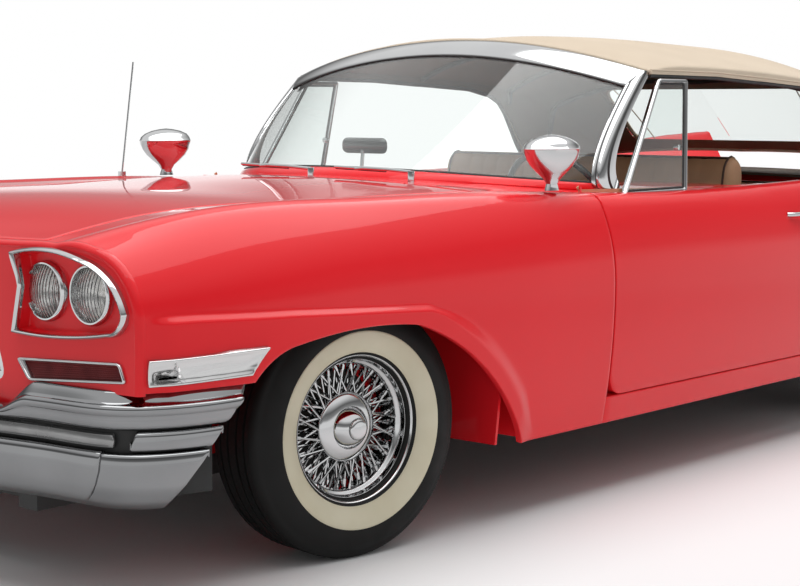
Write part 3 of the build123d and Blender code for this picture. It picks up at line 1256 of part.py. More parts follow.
exhaust_half = exhaust_half - chassis_frame - engine_block - floor_pan - rear_axle
exhaust = pair(exhaust_half.solids()[0])
fuel_tank = block(REAR_AXLE - 1180.0, REAR_AXLE - 620.0, -180.0, 180.0, 250.0, TRUNK_FLOOR_Z) - chassis_frame

# The rear rails are a piece of their own, spliced to the frame behind the kick-up
REAR_SPLICE_X = REAR_AXLE - 400.0
behind_splice = block(REAR_AXLE - 1500.0, REAR_SPLICE_X, -700.0, 700.0, 200.0, 700.0)
rear_rails = chassis_frame & behind_splice
chassis_frame = chassis_frame - behind_splice

# One file for each piece
pieces = {
    "nose_panel": nose_panel,
    "headlamp_bezels": headlamp_bezels,
    "headlamp_buckets": headlamp_buckets,
    "headlamp_lenses": headlamp_lenses,
    "duct_screens": duct_screens,
    "grille": grille,
    "front_fender_left": front_fender_left,
    "front_fender_right": mirrored(front_fender_left),
    "front_trim": front_trim,
    "hood": hood,
    "cowl_panel": cowl_panel,
    "door_left": door_left,
    "door_right": mirrored(door_left),
    "vent_window_left": vent_window_left,
    "vent_window_right": mirrored(vent_window_left),
    "vent_glass_left": vent_glass_left,
    "vent_glass_right": mirrored(vent_glass_left),
    "sills": sills,
    "quarter_panel_left": quarter_panel_left,
    "quarter_panel_right": mirrored(quarter_panel_left),
    "tail_panel": tail_panel,
    "rear_shelf": rear_shelf,
    "deck_lid": deck_lid,
    "windshield_frame": windshield_frame,
    "windshield_glass": windshield_glass,
    "soft_top": soft_top,
    "rear_window": rear_window,
    "front_bumper": front_bumper,
    "rear_bumper": rear_bumper,
    "chassis_frame": chassis_frame,
    "rear_rails": rear_rails,
    "floor_pan": floor_pan,
    "wheel_aprons": wheel_aprons,
    "engine_block": engine_block,
    "knuckle_left": knuckle_left,
    "knuckle_right": knuckle_right,
    "rear_axle": rear_axle,
    "dashboard": dashboard,
    "steering_wheel": steering_wheel,
    "front_seat": front_seat,
    "rear_seat": rear_seat,
    "fender_mirrors": fender_mirrors,
    "wipers": wipers,
    "antenna": antenna,
    "tail_lamps": tail_lamps,
    "exhaust": exhaust,
    "fuel_tank": fuel_tank,
}
for name, station in wheel_stations.items():
    pieces["tyre_" + name] = station * tyre
    pieces["wheel_" + name] = station * wheel

os.makedirs("parts", exist_ok=True)
for name, piece in pieces.items():
    export_step(piece, os.path.join("parts", name + ".step"))
    print(name, len(piece.solids()), round(piece.volume / 1e6, 2))
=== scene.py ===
import json
import math

import bmesh
import bpy
import numpy as np
from mathutils import Matrix, Vector
from mathutils.geometry import delaunay_2d_cdt


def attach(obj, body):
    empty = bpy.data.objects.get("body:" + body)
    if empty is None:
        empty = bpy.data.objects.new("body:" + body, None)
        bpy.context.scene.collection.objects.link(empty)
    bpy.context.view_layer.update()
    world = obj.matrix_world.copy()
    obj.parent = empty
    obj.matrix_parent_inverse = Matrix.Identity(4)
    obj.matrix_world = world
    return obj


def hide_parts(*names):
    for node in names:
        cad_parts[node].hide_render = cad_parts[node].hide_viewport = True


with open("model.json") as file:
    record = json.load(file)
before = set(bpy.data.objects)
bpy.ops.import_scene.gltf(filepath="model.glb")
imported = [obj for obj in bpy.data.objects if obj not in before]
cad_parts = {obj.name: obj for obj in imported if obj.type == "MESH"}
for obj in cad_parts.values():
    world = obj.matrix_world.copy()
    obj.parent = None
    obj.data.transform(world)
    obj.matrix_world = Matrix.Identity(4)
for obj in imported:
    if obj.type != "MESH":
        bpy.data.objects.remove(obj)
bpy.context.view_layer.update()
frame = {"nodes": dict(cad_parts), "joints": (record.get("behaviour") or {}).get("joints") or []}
scene = bpy.context.scene
scene.view_settings.view_transform = "Standard"
joint = {row["name"]: row for row in frame["joints"]}

# Studio: the camera of the picture, a pale floor that fades to white and one large overhead softbox.
# The car stands in a white room, with a grey band low on the walls for the bright metal to mirror.
camera_data = bpy.data.cameras.new("picture_camera")
camera_data.lens = 80.0
camera_data.sensor_width = 36.0
camera_data.clip_end = 300.0
picture_camera = bpy.data.objects.new("picture_camera", camera_data)
picture_camera.location = (5.3922, 4.0998, 1.2461)
picture_camera.rotation_euler = (math.radians(83.849), 0.0, math.radians(131.19))
scene.collection.objects.link(picture_camera)
scene.camera = picture_camera

SOFTBOX_SIZE = (9.0, 5.0)
SOFTBOX_HEIGHT = 5.2
lamp_data = bpy.data.lights.new("overhead_softbox", "AREA")
lamp_data.shape = "RECTANGLE"
lamp_data.size, lamp_data.size_y = SOFTBOX_SIZE
lamp_data.energy = 330.0
overhead_softbox = bpy.data.objects.new("overhead_softbox", lamp_data)
overhead_softbox.location = (0.4, 0.8, SOFTBOX_HEIGHT)
scene.collection.objects.link(overhead_softbox)


def link(tree, source, target):
    tree.links.new(source, target)


def wire(tree, *rows):
    """Links (source node, output, target node, input) rows in a node tree."""
    for source, output, target, into in rows:
        link(tree, source.outputs[output], target.inputs[into])


def ray_is(tree, *kinds):
    """Light Path outputs added up: 1 for any of these kinds of ray."""
    path = tree.nodes.new("ShaderNodeLightPath")
    total = path.outputs[kinds[0]]
    for kind in kinds[1:]:
        add = tree.nodes.new("ShaderNodeMath")
        add.operation = "MAXIMUM"
        link(tree, total, add.inputs[0])
        link(tree, path.outputs[kind], add.inputs[1])
        total = add.outputs[0]
    return total


ROOM_AMBIENT = 0.55
ROOM_BANDS = [(0.0, 1.0), (0.53, 1.0), (0.57, 0.34), (0.66, 0.16), (0.72, 0.5), (0.80, 1.0)]
room = bpy.data.worlds.new("white_room")
room.use_nodes = True
scene.world = room
room_tree = room.node_tree
direction = room_tree.nodes.new("ShaderNodeTexCoord")
height = room_tree.nodes.new("ShaderNodeSeparateXYZ")
link(room_tree, direction.outputs["Generated"], height.inputs[0])
lift = room_tree.nodes.new("ShaderNodeMapRange")
lift.inputs["From Min"].default_value = -1.0
link(room_tree, height.outputs["Z"], lift.inputs["Value"])
bands = room_tree.nodes.new("ShaderNodeValToRGB")
while len(bands.color_ramp.elements) < len(ROOM_BANDS):
    bands.color_ramp.elements.new(0.5)
for element, (place, tone) in zip(bands.color_ramp.elements, ROOM_BANDS):
    element.position = place
    element.color = (tone, tone, tone, 1.0)
link(room_tree, lift.outputs[0], bands.inputs[0])
seen = room_tree.nodes["Background"]
link(room_tree, bands.outputs[0], seen.inputs["Color"])
soft = room_tree.nodes.new("ShaderNodeBackground")
soft.inputs["Strength"].default_value = ROOM_AMBIENT
choose = room_tree.nodes.new("ShaderNodeMixShader")
link(room_tree, ray_is(room_tree, "Is Camera Ray", "Is Glossy Ray", "Is Transmission Ray"), choose.inputs[0])
wire(
    room_tree,
    (soft, 0, choose, 1),
    (seen, 0, choose, 2),
    (choose, 0, room_tree.nodes["World Output"], "Surface"),
)

FLOOR_HALF = 60.0
FLOOR_FADE = (3.3, 6.2)
floor_mesh = bpy.data.meshes.new("studio_floor")
corners = [(-1, -1), (1, -1), (1, 1), (-1, 1)]
floor_mesh.from_pydata([(x * FLOOR_HALF, y * FLOOR_HALF, 0.0) for x, y in corners], [], [(0, 1, 2, 3)])
studio_floor = bpy.data.objects.new("studio_floor", floor_mesh)
scene.collection.objects.link(studio_floor)
floor_finish = bpy.data.materials.new("pale_floor")
floor_finish.use_nodes = True
floor_tree = floor_finish.node_tree
floor_shader = floor_tree.nodes["Principled BSDF"]
floor_shader.inputs["Base Color"].default_value = (0.86, 0.86, 0.865, 1.0)
floor_shader.inputs["Roughness"].default_value = 0.9
floor_shader.inputs["Specular IOR Level"].default_value = 0.1
white_far = floor_tree.nodes.new("ShaderNodeEmission")
far_mix = floor_tree.nodes.new("ShaderNodeMixShader")
floor_place = floor_tree.nodes.new("ShaderNodeTexCoord")
floor_reach = floor_tree.nodes.new("ShaderNodeVectorMath")
floor_reach.operation = "LENGTH"
link(floor_tree, floor_place.outputs["Object"], floor_reach.inputs[0])
fade = floor_tree.nodes.new("ShaderNodeMapRange")
fade.interpolation_type = "SMOOTHSTEP"
fade.inputs["From Min"].default_value, fade.inputs["From Max"].default_value = FLOOR_FADE
link(floor_tree, floor_reach.outputs["Value"], fade.inputs["Value"])
shown = floor_tree.nodes.new("ShaderNodeMath")
shown.operation = "MULTIPLY"
link(floor_tree, fade.outputs[0], shown.inputs[0])
link(
    floor_tree, ray_is(floor_tree, "Is Camera Ray", "Is Glossy Ray", "Is Transmission Ray"), shown.inputs[1]
)
wire(
    floor_tree,
    (shown, 0, far_mix, 0),
    (floor_shader, 0, far_mix, 1),
    (white_far, 0, far_mix, 2),
    (far_mix, 0, floor_tree.nodes["Material Output"], "Surface"),
)
floor_mesh.materials.append(floor_finish)

# Running gear and underside: ladder frame, axle, knuckles, exhaust, tank, engine and floor pressings.
# Black enamelled steel, cast iron and dull steel pipe, all under a film of road dust.
mottle = bpy.data.node_groups.new("mottle", "ShaderNodeTree")
for name, kind in (
    ("Light Tone", "Color"), ("Dark Tone", "Color"), ("Grain", "Float"), ("Fine Grain", "Float")
):
    mottle.interface.new_socket(name, in_out="INPUT", socket_type="NodeSocket" + kind)
for name, kind in (("Tone", "Color"), ("Mask", "Float"), ("Relief", "Float")):
    mottle.interface.new_socket(name, in_out="OUTPUT", socket_type="NodeSocket" + kind)
mottle_in = mottle.nodes.new("NodeGroupInput")
mottle_out = mottle.nodes.new("NodeGroupOutput")
mottle_place = mottle.nodes.new("ShaderNodeTexCoord")
cloud = mottle.nodes.new("ShaderNodeTexNoise")
cloud.inputs["Detail"].default_value = 5.0
speck = mottle.nodes.new("ShaderNodeTexNoise")
speck.inputs["Detail"].default_value = 3.0
spread = mottle.nodes.new("ShaderNodeMapRange")
spread.inputs["From Min"].default_value = 0.32
spread.inputs["From Max"].default_value = 0.68
tone_mix = mottle.nodes.new("ShaderNodeMix")
tone_mix.data_type = "RGBA"
for noise, size in ((cloud, "Grain"), (speck, "Fine Grain")):
    link(mottle, mottle_place.outputs["Object"], noise.inputs["Vector"])
    link(mottle, mottle_in.outputs[size], noise.inputs["Scale"])
wire(
    mottle,
    (cloud, "Fac", spread, "Value"),
    (spread, 0, tone_mix, "Factor"),
    (mottle_in, "Light Tone", tone_mix, "A"),
    (mottle_in, "Dark Tone", tone_mix, "B"),
    (tone_mix, "Result", mottle_out, "Tone"),
    (spread, 0, mottle_out, "Mask"),
    (speck, "Fac", mottle_out, "Relief"),
)


def mottled(name, light, dark, grain, roughness, fine=180.0, bump=0.05, depth=0.001, **sockets):
    """Material with a mottled colour, a roughness range and a fine relief; sockets set its shader."""
    made = bpy.data.materials.new(name)
    made.use_nodes = True
    tree = made.node_tree
    shader = tree.nodes["Principled BSDF"]
    group = tree.nodes.new("ShaderNodeGroup")
    group.node_tree = mottle
    group.inputs["Light Tone"].default_value = (*light, 1.0)
    group.inputs["Dark Tone"].default_value = (*dark, 1.0)
    group.inputs["Grain"].default_value = grain
    group.inputs["Fine Grain"].default_value = fine
    rough = tree.nodes.new("ShaderNodeMapRange")
    rough.inputs["To Min"].default_value, rough.inputs["To Max"].default_value = roughness
    relief = tree.nodes.new("ShaderNodeBump")
    relief.inputs["Strength"].default_value = bump
    relief.inputs["Distance"].default_value = depth
    wire(
        tree,
        (group, "Tone", shader, "Base Color"),
        (group, "Mask", rough, "Value"),
        (rough, 0, shader, "Roughness"),
        (group, "Relief", relief, "Height"),
        (relief, 0, shader, "Normal"),
    )
    for socket, value in sockets.items():
        shader.inputs[socket.replace("_", " ")].default_value = value
    return made


def dress(node, finish):
    """Gives a carried-over node this finish."""
    shape = frame["nodes"][node]
    shape.data.materials.clear()
    shape.data.materials.append(finish)


black_enamel = mottled(
    "black_enamel", (0.018, 0.018, 0.019), (0.05, 0.045, 0.04), 3.0, (0.45, 0.75), bump=0.2
)
cast_iron = mottled(
    "cast_iron", (0.06, 0.06, 0.062), (0.10, 0.085, 0.07), 9.0, (0.6, 0.85), 420.0, 0.4, Metallic=0.7
)
dull_pipe = mottled(
    "dull_pipe", (0.34, 0.33, 0.32), (0.20, 0.15, 0.11), 5.0, (0.4, 0.7), 300.0, 0.15, Metallic=1.0
)
for node in ("chassis_frame", "rear_rails", "rear_axle", "fuel_tank", "floor_pan"):
    dress(node, black_enamel)
for node in ("engine_block", "knuckle_left", "knuckle_right"):
    dress(node, cast_iron)
dress("exhaust", dull_pipe)

# Tyres: black rubber with a wide cream band vulcanised into the outer sidewall and zigzag road ribs.
# They are turned about the axle; the rib zigzag is one short block repeated round the tread.
TYRE_RADIUS = 0.357
TREAD_HALF = 0.074
SHOULDER_HALF = 0.096
WALL_HALF = 0.112
BEAD_RADIUS = 0.1912
BEAD_HALF = 0.0695
BAND_RADII = (0.2125, 0.2725)
BAND_PROUD = 0.0012
GROOVE_DEPTH = 0.006
RIBS = ((0.057, 0.073), (0.0245, 0.0465), (-0.0135, 0.0135), (-0.0465, -0.0245), (-0.073, -0.057))
TYRE_STEPS = 144


def arc(first, via, last, steps):
    """Points on the arc through three 2-D points, ends included."""
    a, b, c = (np.array(p, float) for p in (first, via, last))
    m = 2.0 * np.array([b - a, c - a])
    centre = np.linalg.solve(m, [b @ b - a @ a, c @ c - a @ a])
    radius = np.linalg.norm(a - centre)
    angles = [math.atan2(*(p - centre)[::-1]) for p in (a, b, c)]
    span = (angles[2] - angles[0]) % (2 * math.pi)
    if (angles[1] - angles[0]) % (2 * math.pi) > span:
        span -= 2 * math.pi
    turns = angles[0] + span * np.linspace(0, 1, steps)
    return centre + radius * np.stack([np.cos(turns), np.sin(turns)], 1)


def turned(profile, steps, closed=True):
    """Vertices and faces of an (r, y) profile turned about Y."""
    profile = np.array(profile, float)
    angles = np.linspace(0, 2 * math.pi, steps, endpoint=False)
    verts = [(r * math.cos(t), y, r * math.sin(t)) for t in angles for r, y in profile]
    rows = len(profile)
    faces = []
    for step in range(steps):
        after = (step + 1) % steps
        for row in range(rows if closed else rows - 1):
            beyond = (row + 1) % rows
            faces.append(
                (step * rows + row, step * rows + beyond, after * rows + beyond, after * rows + row)
            )
    return verts, faces


def shaped(
    name, verts, faces, finishes, thickness=0.0, bevel=0.0, smooth=0, sharp=38.0, orient=True, modifiers=()
):
    """Object with a plain finished mesh: merged, turned outwards, thickened, bevelled and smooth shaded."""
    mesh = bpy.data.meshes.new(name)
    mesh.from_pydata([tuple(map(float, v)) for v in verts], [], [tuple(map(int, f)) for f in faces])
    work = bmesh.new()
    work.from_mesh(mesh)
    bmesh.ops.remove_doubles(work, verts=work.verts, dist=1e-5)
    bmesh.ops.dissolve_degenerate(work, edges=work.edges, dist=1e-6)
    if orient:
        bmesh.ops.recalc_face_normals(work, faces=work.faces)
    work.to_mesh(mesh)
    work.free()
    made = bpy.data.objects.new(name, mesh)
    scene.collection.objects.link(made)
    if smooth:
        step = made.modifiers.new("smooth", "SUBSURF")
        step.levels = step.render_levels = smooth
    if thickness:
        step = made.modifiers.new("wall", "SOLIDIFY")
        step.thickness = thickness
        step.offset = -1.0
    if bevel:
        step = made.modifiers.new("edges", "BEVEL")
        step.width = bevel
        step.segments = 2
        step.limit_method = "ANGLE"
        step.angle_limit = math.radians(40.0)
    for add in modifiers:
        add(made)
    settle(made, finishes, sharp)
    return made


def settle(made, finishes, sharp=38.0):
    """Bakes the modifiers into a plain mesh with smooth faces and sharp folds."""
    bpy.context.view_layer.update()
    graph = bpy.context.evaluated_depsgraph_get()
    baked = bpy.data.meshes.new_from_object(made.evaluated_get(graph))
    made.modifiers.clear()
    made.data = baked
    baked.name = made.name
    if finishes is not None:
        baked.materials.clear()
        for finish in finishes if isinstance(finishes, (list, tuple)) else [finishes]:
            baked.materials.append(finish)
    baked.polygons.foreach_set("use_smooth", [True] * len(baked.polygons))
    baked.set_sharp_from_angle(angle=math.radians(sharp))


def mount(made, body, slot, *stands_for):
    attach(made, body)
    if stands_for:
        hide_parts(*stands_for)
    return made


def tree_socket(tree, name, kind, value=None):
    made = tree.interface.new_socket(name, in_out="INPUT", socket_type="NodeSocket" + kind)
    if value is not None:
        made.default_value = value
    return made.identifier


round_tree = bpy.data.node_groups.new("copies_round_axle", "GeometryNodeTree")
ROUND = {
    "Part": tree_socket(round_tree, "Part", "Geometry"),
    "Count": tree_socket(round_tree, "Count", "Int", 12),
    "Finish": tree_socket(round_tree, "Finish", "Material"),
}
round_tree.interface.new_socket("Ring", in_out="OUTPUT", socket_type="NodeSocketGeometry")
round_in = round_tree.nodes.new("NodeGroupInput")
round_out = round_tree.nodes.new("NodeGroupOutput")
stations = round_tree.nodes.new("GeometryNodeMeshLine")
stations.inputs["Offset"].default_value = (0.0, 0.0, 0.0)
number = round_tree.nodes.new("GeometryNodeInputIndex")
share = round_tree.nodes.new("ShaderNodeMath")
share.operation = "DIVIDE"
full_turn = round_tree.nodes.new("ShaderNodeMath")
full_turn.operation = "MULTIPLY"
full_turn.inputs[1].default_value = 2 * math.pi
about_axle = round_tree.nodes.new("ShaderNodeCombineXYZ")
spin = round_tree.nodes.new("FunctionNodeEulerToRotation")
copies = round_tree.nodes.new("GeometryNodeInstanceOnPoints")
real = round_tree.nodes.new("GeometryNodeRealizeInstances")
coat = round_tree.nodes.new("GeometryNodeSetMaterial")
wire(
    round_tree,
    (round_in, "Count", stations, "Count"),
    (number, 0, share, 0),
    (round_in, "Count", share, 1),
    (share, 0, full_turn, 0),
    (full_turn, 0, about_axle, "Y"),
    (about_axle, 0, spin, 0),
    (stations, 0, copies, "Points"),
    (round_in, "Part", copies, "Instance"),
    (spin, 0, copies, "Rotation"),
    (copies, 0, real, 0),
    (real, 0, coat, "Geometry"),
    (round_in, "Finish", coat, "Material"),
    (coat, 0, round_out, 0),
)


def ring_of(name, verts, faces, count, finish):
    """One part repeated round the axle by the copies_round_axle tree, as a plain mesh."""
    def pattern(made):
        step = made.modifiers.new("ring", "NODES")
        step.node_group = round_tree
        step[ROUND["Count"]] = count
        step[ROUND["Finish"]] = finish
    return shaped(name, verts, faces, finish, modifiers=[pattern])


def joined(name, parts, sharp=38.0):
    """Several finished objects as one object; materials are kept."""
    work = bmesh.new()
    finishes = []
    for part in parts:
        offset = len(work.faces)
        for finish in part.data.materials:
            if finish not in finishes:
                finishes.append(finish)
        work.from_mesh(part.data)
        work.faces.ensure_lookup_table()
        slots = [finishes.index(finish) for finish in part.data.materials]
        for face in work.faces[offset:]:
            face.material_index = slots[face.material_index]
    mesh = bpy.data.meshes.new(name)
    work.to_mesh(mesh)
    work.free()
    for finish in finishes:
        mesh.materials.append(finish)
    mesh.polygons.foreach_set("use_smooth", [True] * len(mesh.polygons))
    mesh.set_sharp_from_angle(angle=math.radians(sharp))
    for part in parts:
        bpy.data.objects.remove(part)
    made = bpy.data.objects.new(name, mesh)
    scene.collection.objects.link(made)
    return made


black_rubber = mottled(
    "black_rubber", (0.004, 0.004, 0.004), (0.008, 0.008, 0.0075), 14.0, (0.5, 0.7), 500.0, 0.12,
    Specular_IOR_Level=0.25
)
cream_band = mottled("cream_band", (0.70, 0.655, 0.50), (0.64, 0.59, 0.43), 7.0, (0.42, 0.6), 380.0, 0.06)


def tyre_half():
    """Outer half of the tyre from the bead to the middle of the tread, with the raised cream band."""
    wall = arc((BEAD_RADIUS, BEAD_HALF), (0.262, WALL_HALF), (TYRE_RADIUS - 0.022, SHOULDER_HALF), 26)
    points = []
    for r, y in wall:
        raised = BAND_RADII[0] < r < BAND_RADII[1]
        points.append((r, y + (BAND_PROUD if raised else 0.0)))
    for radius in BAND_RADII:
        base = float(np.interp(radius, wall[:, 0], wall[:, 1]))
        inside = 1 if radius == BAND_RADII[0] else -1
        points.append((radius - inside * 0.0006, base))
        points.append((radius + inside * 0.0006, base + BAND_PROUD))
    points.sort()
    wall_top, tread_edge = (TYRE_RADIUS - 0.022, SHOULDER_HALF), (TYRE_RADIUS, TREAD_HALF)
    points += list(map(tuple, arc(wall_top, (TYRE_RADIUS - 0.006, 0.087), tread_edge, 7)[1:]))
    for middle in (0.052, 0.019):
        points += [
            (TYRE_RADIUS, middle + 0.0045),
            (TYRE_RADIUS - GROOVE_DEPTH, middle + 0.0035),
            (TYRE_RADIUS - GROOVE_DEPTH, middle - 0.0035),
            (TYRE_RADIUS, middle - 0.0045),
        ]
    return points


def tyre_mesh(name):
    half = tyre_half()
    other = [(r, -y) for r, y in reversed(half)]
    carcass = shaped(
        name + "_carcass", *turned(half + other, TYRE_STEPS), [black_rubber, cream_band], sharp=50.0
    )
    for face in carcass.data.polygons:
        centre = face.center
        radius = math.hypot(centre.x, centre.z)
        face.material_index = int(centre.y > 0 and BAND_RADII[0] - 0.0005 < radius < BAND_RADII[1] + 0.0005)
    verts = []
    faces = []
    for index, (low, high) in enumerate(RIBS):
        lean = 0.010 if index % 2 else -0.010
        base = len(verts)
        for r in (TYRE_RADIUS - 0.003, TYRE_RADIUS + 0.0006):
            for y, z in ((low, lean), (low, lean + 0.007), (high, -lean + 0.007), (high, -lean)):
                verts.append((math.sqrt(r * r - z * z), y, z))
        faces += [(base + a, base + b, base + c, base + d) for a, b, c, d in
                  ((0, 1, 2, 3), (7, 6, 5, 4), (0, 4, 5, 1), (1, 5, 6, 2), (2, 6, 7, 3), (3, 7, 4, 0))]
    blocks = ring_of(name + "_blocks", verts, faces, 96, black_rubber)
    return joined(name, [carcass, blocks], 50.0)


WHEELS = ("front_left", "front_right", "rear_left", "rear_right")


def wheel_place(wheel):
    """Matrix from a wheel about Y at the origin, outer side +Y, to its place on the car."""
    hub = joint["spin_" + wheel]
    turn = math.atan2(-hub["axis"][0], hub["axis"][1])
    if wheel.endswith("right"):
        turn += math.pi
    return Matrix.Translation(hub["pos_m"]) @ Matrix.Rotation(turn, 4, "Z")


tyre_pattern = tyre_mesh("tyre_pattern")
for wheel in WHEELS:
    tyre = bpy.data.objects.new("tyre_" + wheel + "_rubber", tyre_pattern.data.copy())
    scene.collection.objects.link(tyre)
    tyre.data.transform(wheel_place(wheel))
    mount(tyre, wheel + "_wheel", "tyre", "tyre_" + wheel)
bpy.data.objects.remove(tyre_pattern)

# Wire wheels: a deep stepped rim, laced spokes on a hub shell and a conical cap, all bright plated.
# The spokes are thin drawn wire, laced in four leaning rings and drawn up by nipples at the rim.
chrome = mottled(
    "chrome", (0.60, 0.605, 0.61), (0.54, 0.545, 0.55), 2.2, (0.035, 0.09), 260.0, 0.012, 0.0004,
    Metallic=1.0
)
SPOKE_RINGS = [
    (0.090, 0.040, 0.174, 0.040, 15.0), (0.090, 0.037, 0.174, 0.030, -15.0),
    (0.050, 0.010, 0.174, 0.012, 30.0), (0.050, 0.004, 0.174, 0.002, -30.0)
]
SPOKE_COUNT = 20
SPOKE_THICK = 0.0028
RIM_PROFILE = [
    (0.2085, 0.0720), (0.2085, 0.0805), (0.2065, 0.0838), (0.2030, 0.0840), (0.2000, 0.0815),
    (0.1978, 0.0740), (0.1950, 0.0690), (0.1905, 0.0660), (0.1890, 0.0600), (0.1885, 0.0500),
    (0.1855, 0.0465), (0.1800, 0.0440), (0.1765, 0.0400), (0.1755, 0.0300), (0.1755, -0.0400),
    (0.1800, -0.0500), (0.1880, -0.0560), (0.1900, -0.0700), (0.2040, -0.0800), (0.2085, -0.0800),
    (0.2085, -0.0720), (0.1935, -0.0660), (0.1915, -0.0560), (0.1820, -0.0460), (0.1795, -0.0400),
    (0.1795, 0.0380), (0.1830, 0.0410), (0.1900, 0.0450), (0.1915, 0.0560), (0.1935, 0.0660),
]
DRUM_PROFILE = [
    (0.040, -0.028), (0.150, -0.028), (0.158, -0.034), (0.160, -0.060), (0.156, -0.062), (0.148, -0.036),
    (0.040, -0.036)
]
HUB_PROFILE = [
    (0.0004, 0.1000), (0.0200, 0.0995), (0.0270, 0.0975), (0.0300, 0.0935), (0.0305, 0.0890),
    (0.0360, 0.0860), (0.0440, 0.0790), (0.0520, 0.0700), (0.0580, 0.0620), (0.0600, 0.0585),
    (0.0680, 0.0570), (0.0800, 0.0520), (0.0900, 0.0465), (0.0965, 0.0420), (0.0975, 0.0390),
    (0.0960, 0.0350), (0.0900, 0.0320), (0.0560, 0.0220), (0.0480, 0.0160), (0.0470, -0.0140),
    (0.0430, -0.0180), (0.0004, -0.0180),
]


def bar(start, end, radius, sides=6):
    """Vertices and faces of a round bar between two points."""
    start, end = Vector(start), Vector(end)
    turn = (end - start).to_track_quat("Z", "Y").to_matrix()
    verts = []
    for centre in (start, end):
        for side in range(sides):
            angle = 2 * math.pi * side / sides
            verts.append(
                tuple(centre + turn @ Vector((radius * math.cos(angle), radius * math.sin(angle), 0.0)))
            )
    faces = [(i, (i + 1) % sides, sides + (i + 1) % sides, sides + i) for i in range(sides)]
    faces += [tuple(range(sides - 1, -1, -1)), tuple(range(sides, 2 * sides))]
    return verts, faces


def wheel_mesh(name):
    parts = [
        shaped(name + "_drum", *turned(DRUM_PROFILE, 48), black_enamel),
        shaped(name + "_rim", *turned(RIM_PROFILE, 120), chrome),
        shaped(name + "_hub", *turned(HUB_PROFILE, 72, closed=False), chrome),
    ]
    for index, (hub_r, hub_y, rim_r, rim_y, lean) in enumerate(SPOKE_RINGS):
        for half, start in enumerate((0.0, 360.0 / SPOKE_COUNT / 2)):
            if half and index < 2:
                continue
            a = math.radians(start + 5.0 * index)
            b = math.radians(start + 5.0 * index + lean)
            inner = Vector((hub_r * math.cos(a), hub_y, hub_r * math.sin(a)))
            outer = Vector((rim_r * math.cos(b), rim_y, rim_r * math.sin(b)))
            parts.append(ring_of(name + "_spoke", *bar(inner, outer, SPOKE_THICK), SPOKE_COUNT, chrome))
            nipple = bar(outer.lerp(inner, 0.16), outer, SPOKE_THICK * 1.75)
            parts.append(ring_of(name + "_nipple", *nipple, SPOKE_COUNT, chrome))
    return joined(name, parts)


wheel_pattern = wheel_mesh("wheel_pattern")
for wheel in WHEELS:
    wire_wheel = bpy.data.objects.new("wheel_" + wheel + "_wire", wheel_pattern.data.copy())
    scene.collection.objects.link(wire_wheel)
    wire_wheel.data.transform(wheel_place(wheel))
    mount(wire_wheel, wheel + "_wheel", "chrome", "wheel_" + wheel)
bpy.data.objects.remove(wheel_pattern)

# Front fenders: one deep pressing each from the lamp to the door, with a proud ledge over the wheel.
# Bright red enamel under clear gloss; every free edge is hemmed inwards round a small radius.
FRONT_AXLE = joint["steer_left"]["pos_m"][0]
REAR_AXLE = joint["spin_rear_left"]["pos_m"][0]
NOSE_X = FRONT_AXLE + 0.868
HOOD_REAR_X = FRONT_AXLE - 0.640
DOOR_FRONT_X = FRONT_AXLE - 1.030
DOOR_REAR_X = REAR_AXLE + 0.820
CABIN_REAR_X = REAR_AXLE + 0.240
DECK_FRONT_X = REAR_AXLE - 0.330
TAIL_X = REAR_AXLE - 1.372
SILL_Z = 0.240
DOOR_BOTTOM_Z = 0.325
DOOR_INNER_Y = 0.835
DECK_EDGE_Y = 0.715
PANEL_GAP = 0.006
SKIN = 0.022
# Columns: x, sill y, side y, side z, crest y, crest z, crest width, crest drop, edge z, crown z
BODY_SECTIONS = np.array([
    (NOSE_X + 0.010, 0.850, 0.886, 0.720, 0.660, 0.894, 0.060, 0.010, 0.894, 0.889),
    (FRONT_AXLE + 0.560, 0.920, 0.954, 0.712, 0.760, 0.965, 0.050, 0.014, 0.952, 0.964),
    (FRONT_AXLE, 0.935, 0.974, 0.700, 0.820, 0.985, 0.045, 0.014, 0.972, 0.992),
    (HOOD_REAR_X, 0.942, 0.982, 0.690, 0.850, 0.979, 0.045, 0.014, 0.974, 1.003),
    (DOOR_FRONT_X, 0.945, 0.988, 0.685, 0.880, 0.962, 0.040, 0.014, 0.964, 0.998),
    (DOOR_REAR_X, 0.945, 1.000, 0.682, 0.887, 0.957, 0.036, 0.014, 0.946, 0.952),
    (REAR_AXLE + 0.250, 0.945, 1.000, 0.690, 0.895, 0.974, 0.032, 0.014, 0.936, 0.950),
    (REAR_AXLE - 0.300, 0.940, 0.998, 0.700, 0.894, 1.018, 0.028, 0.016, 0.926, 0.948),
    (REAR_AXLE - 0.900, 0.930, 0.986, 0.710, 0.880, 1.066, 0.024, 0.018, 0.892, 0.916),
    (TAIL_X, 0.910, 0.966, 0.720, 0.860, 1.086, 0.022, 0.020, 0.852, 0.872),
])[::-1]


def hood_line(x):
    """Half width of the hood at x, a straight line in plan."""
    return np.interp(
        x, [DOOR_FRONT_X - 1.0, NOSE_X], [0.725 + 0.1081 * (HOOD_REAR_X - DOOR_FRONT_X + 1.0), 0.562]
    )


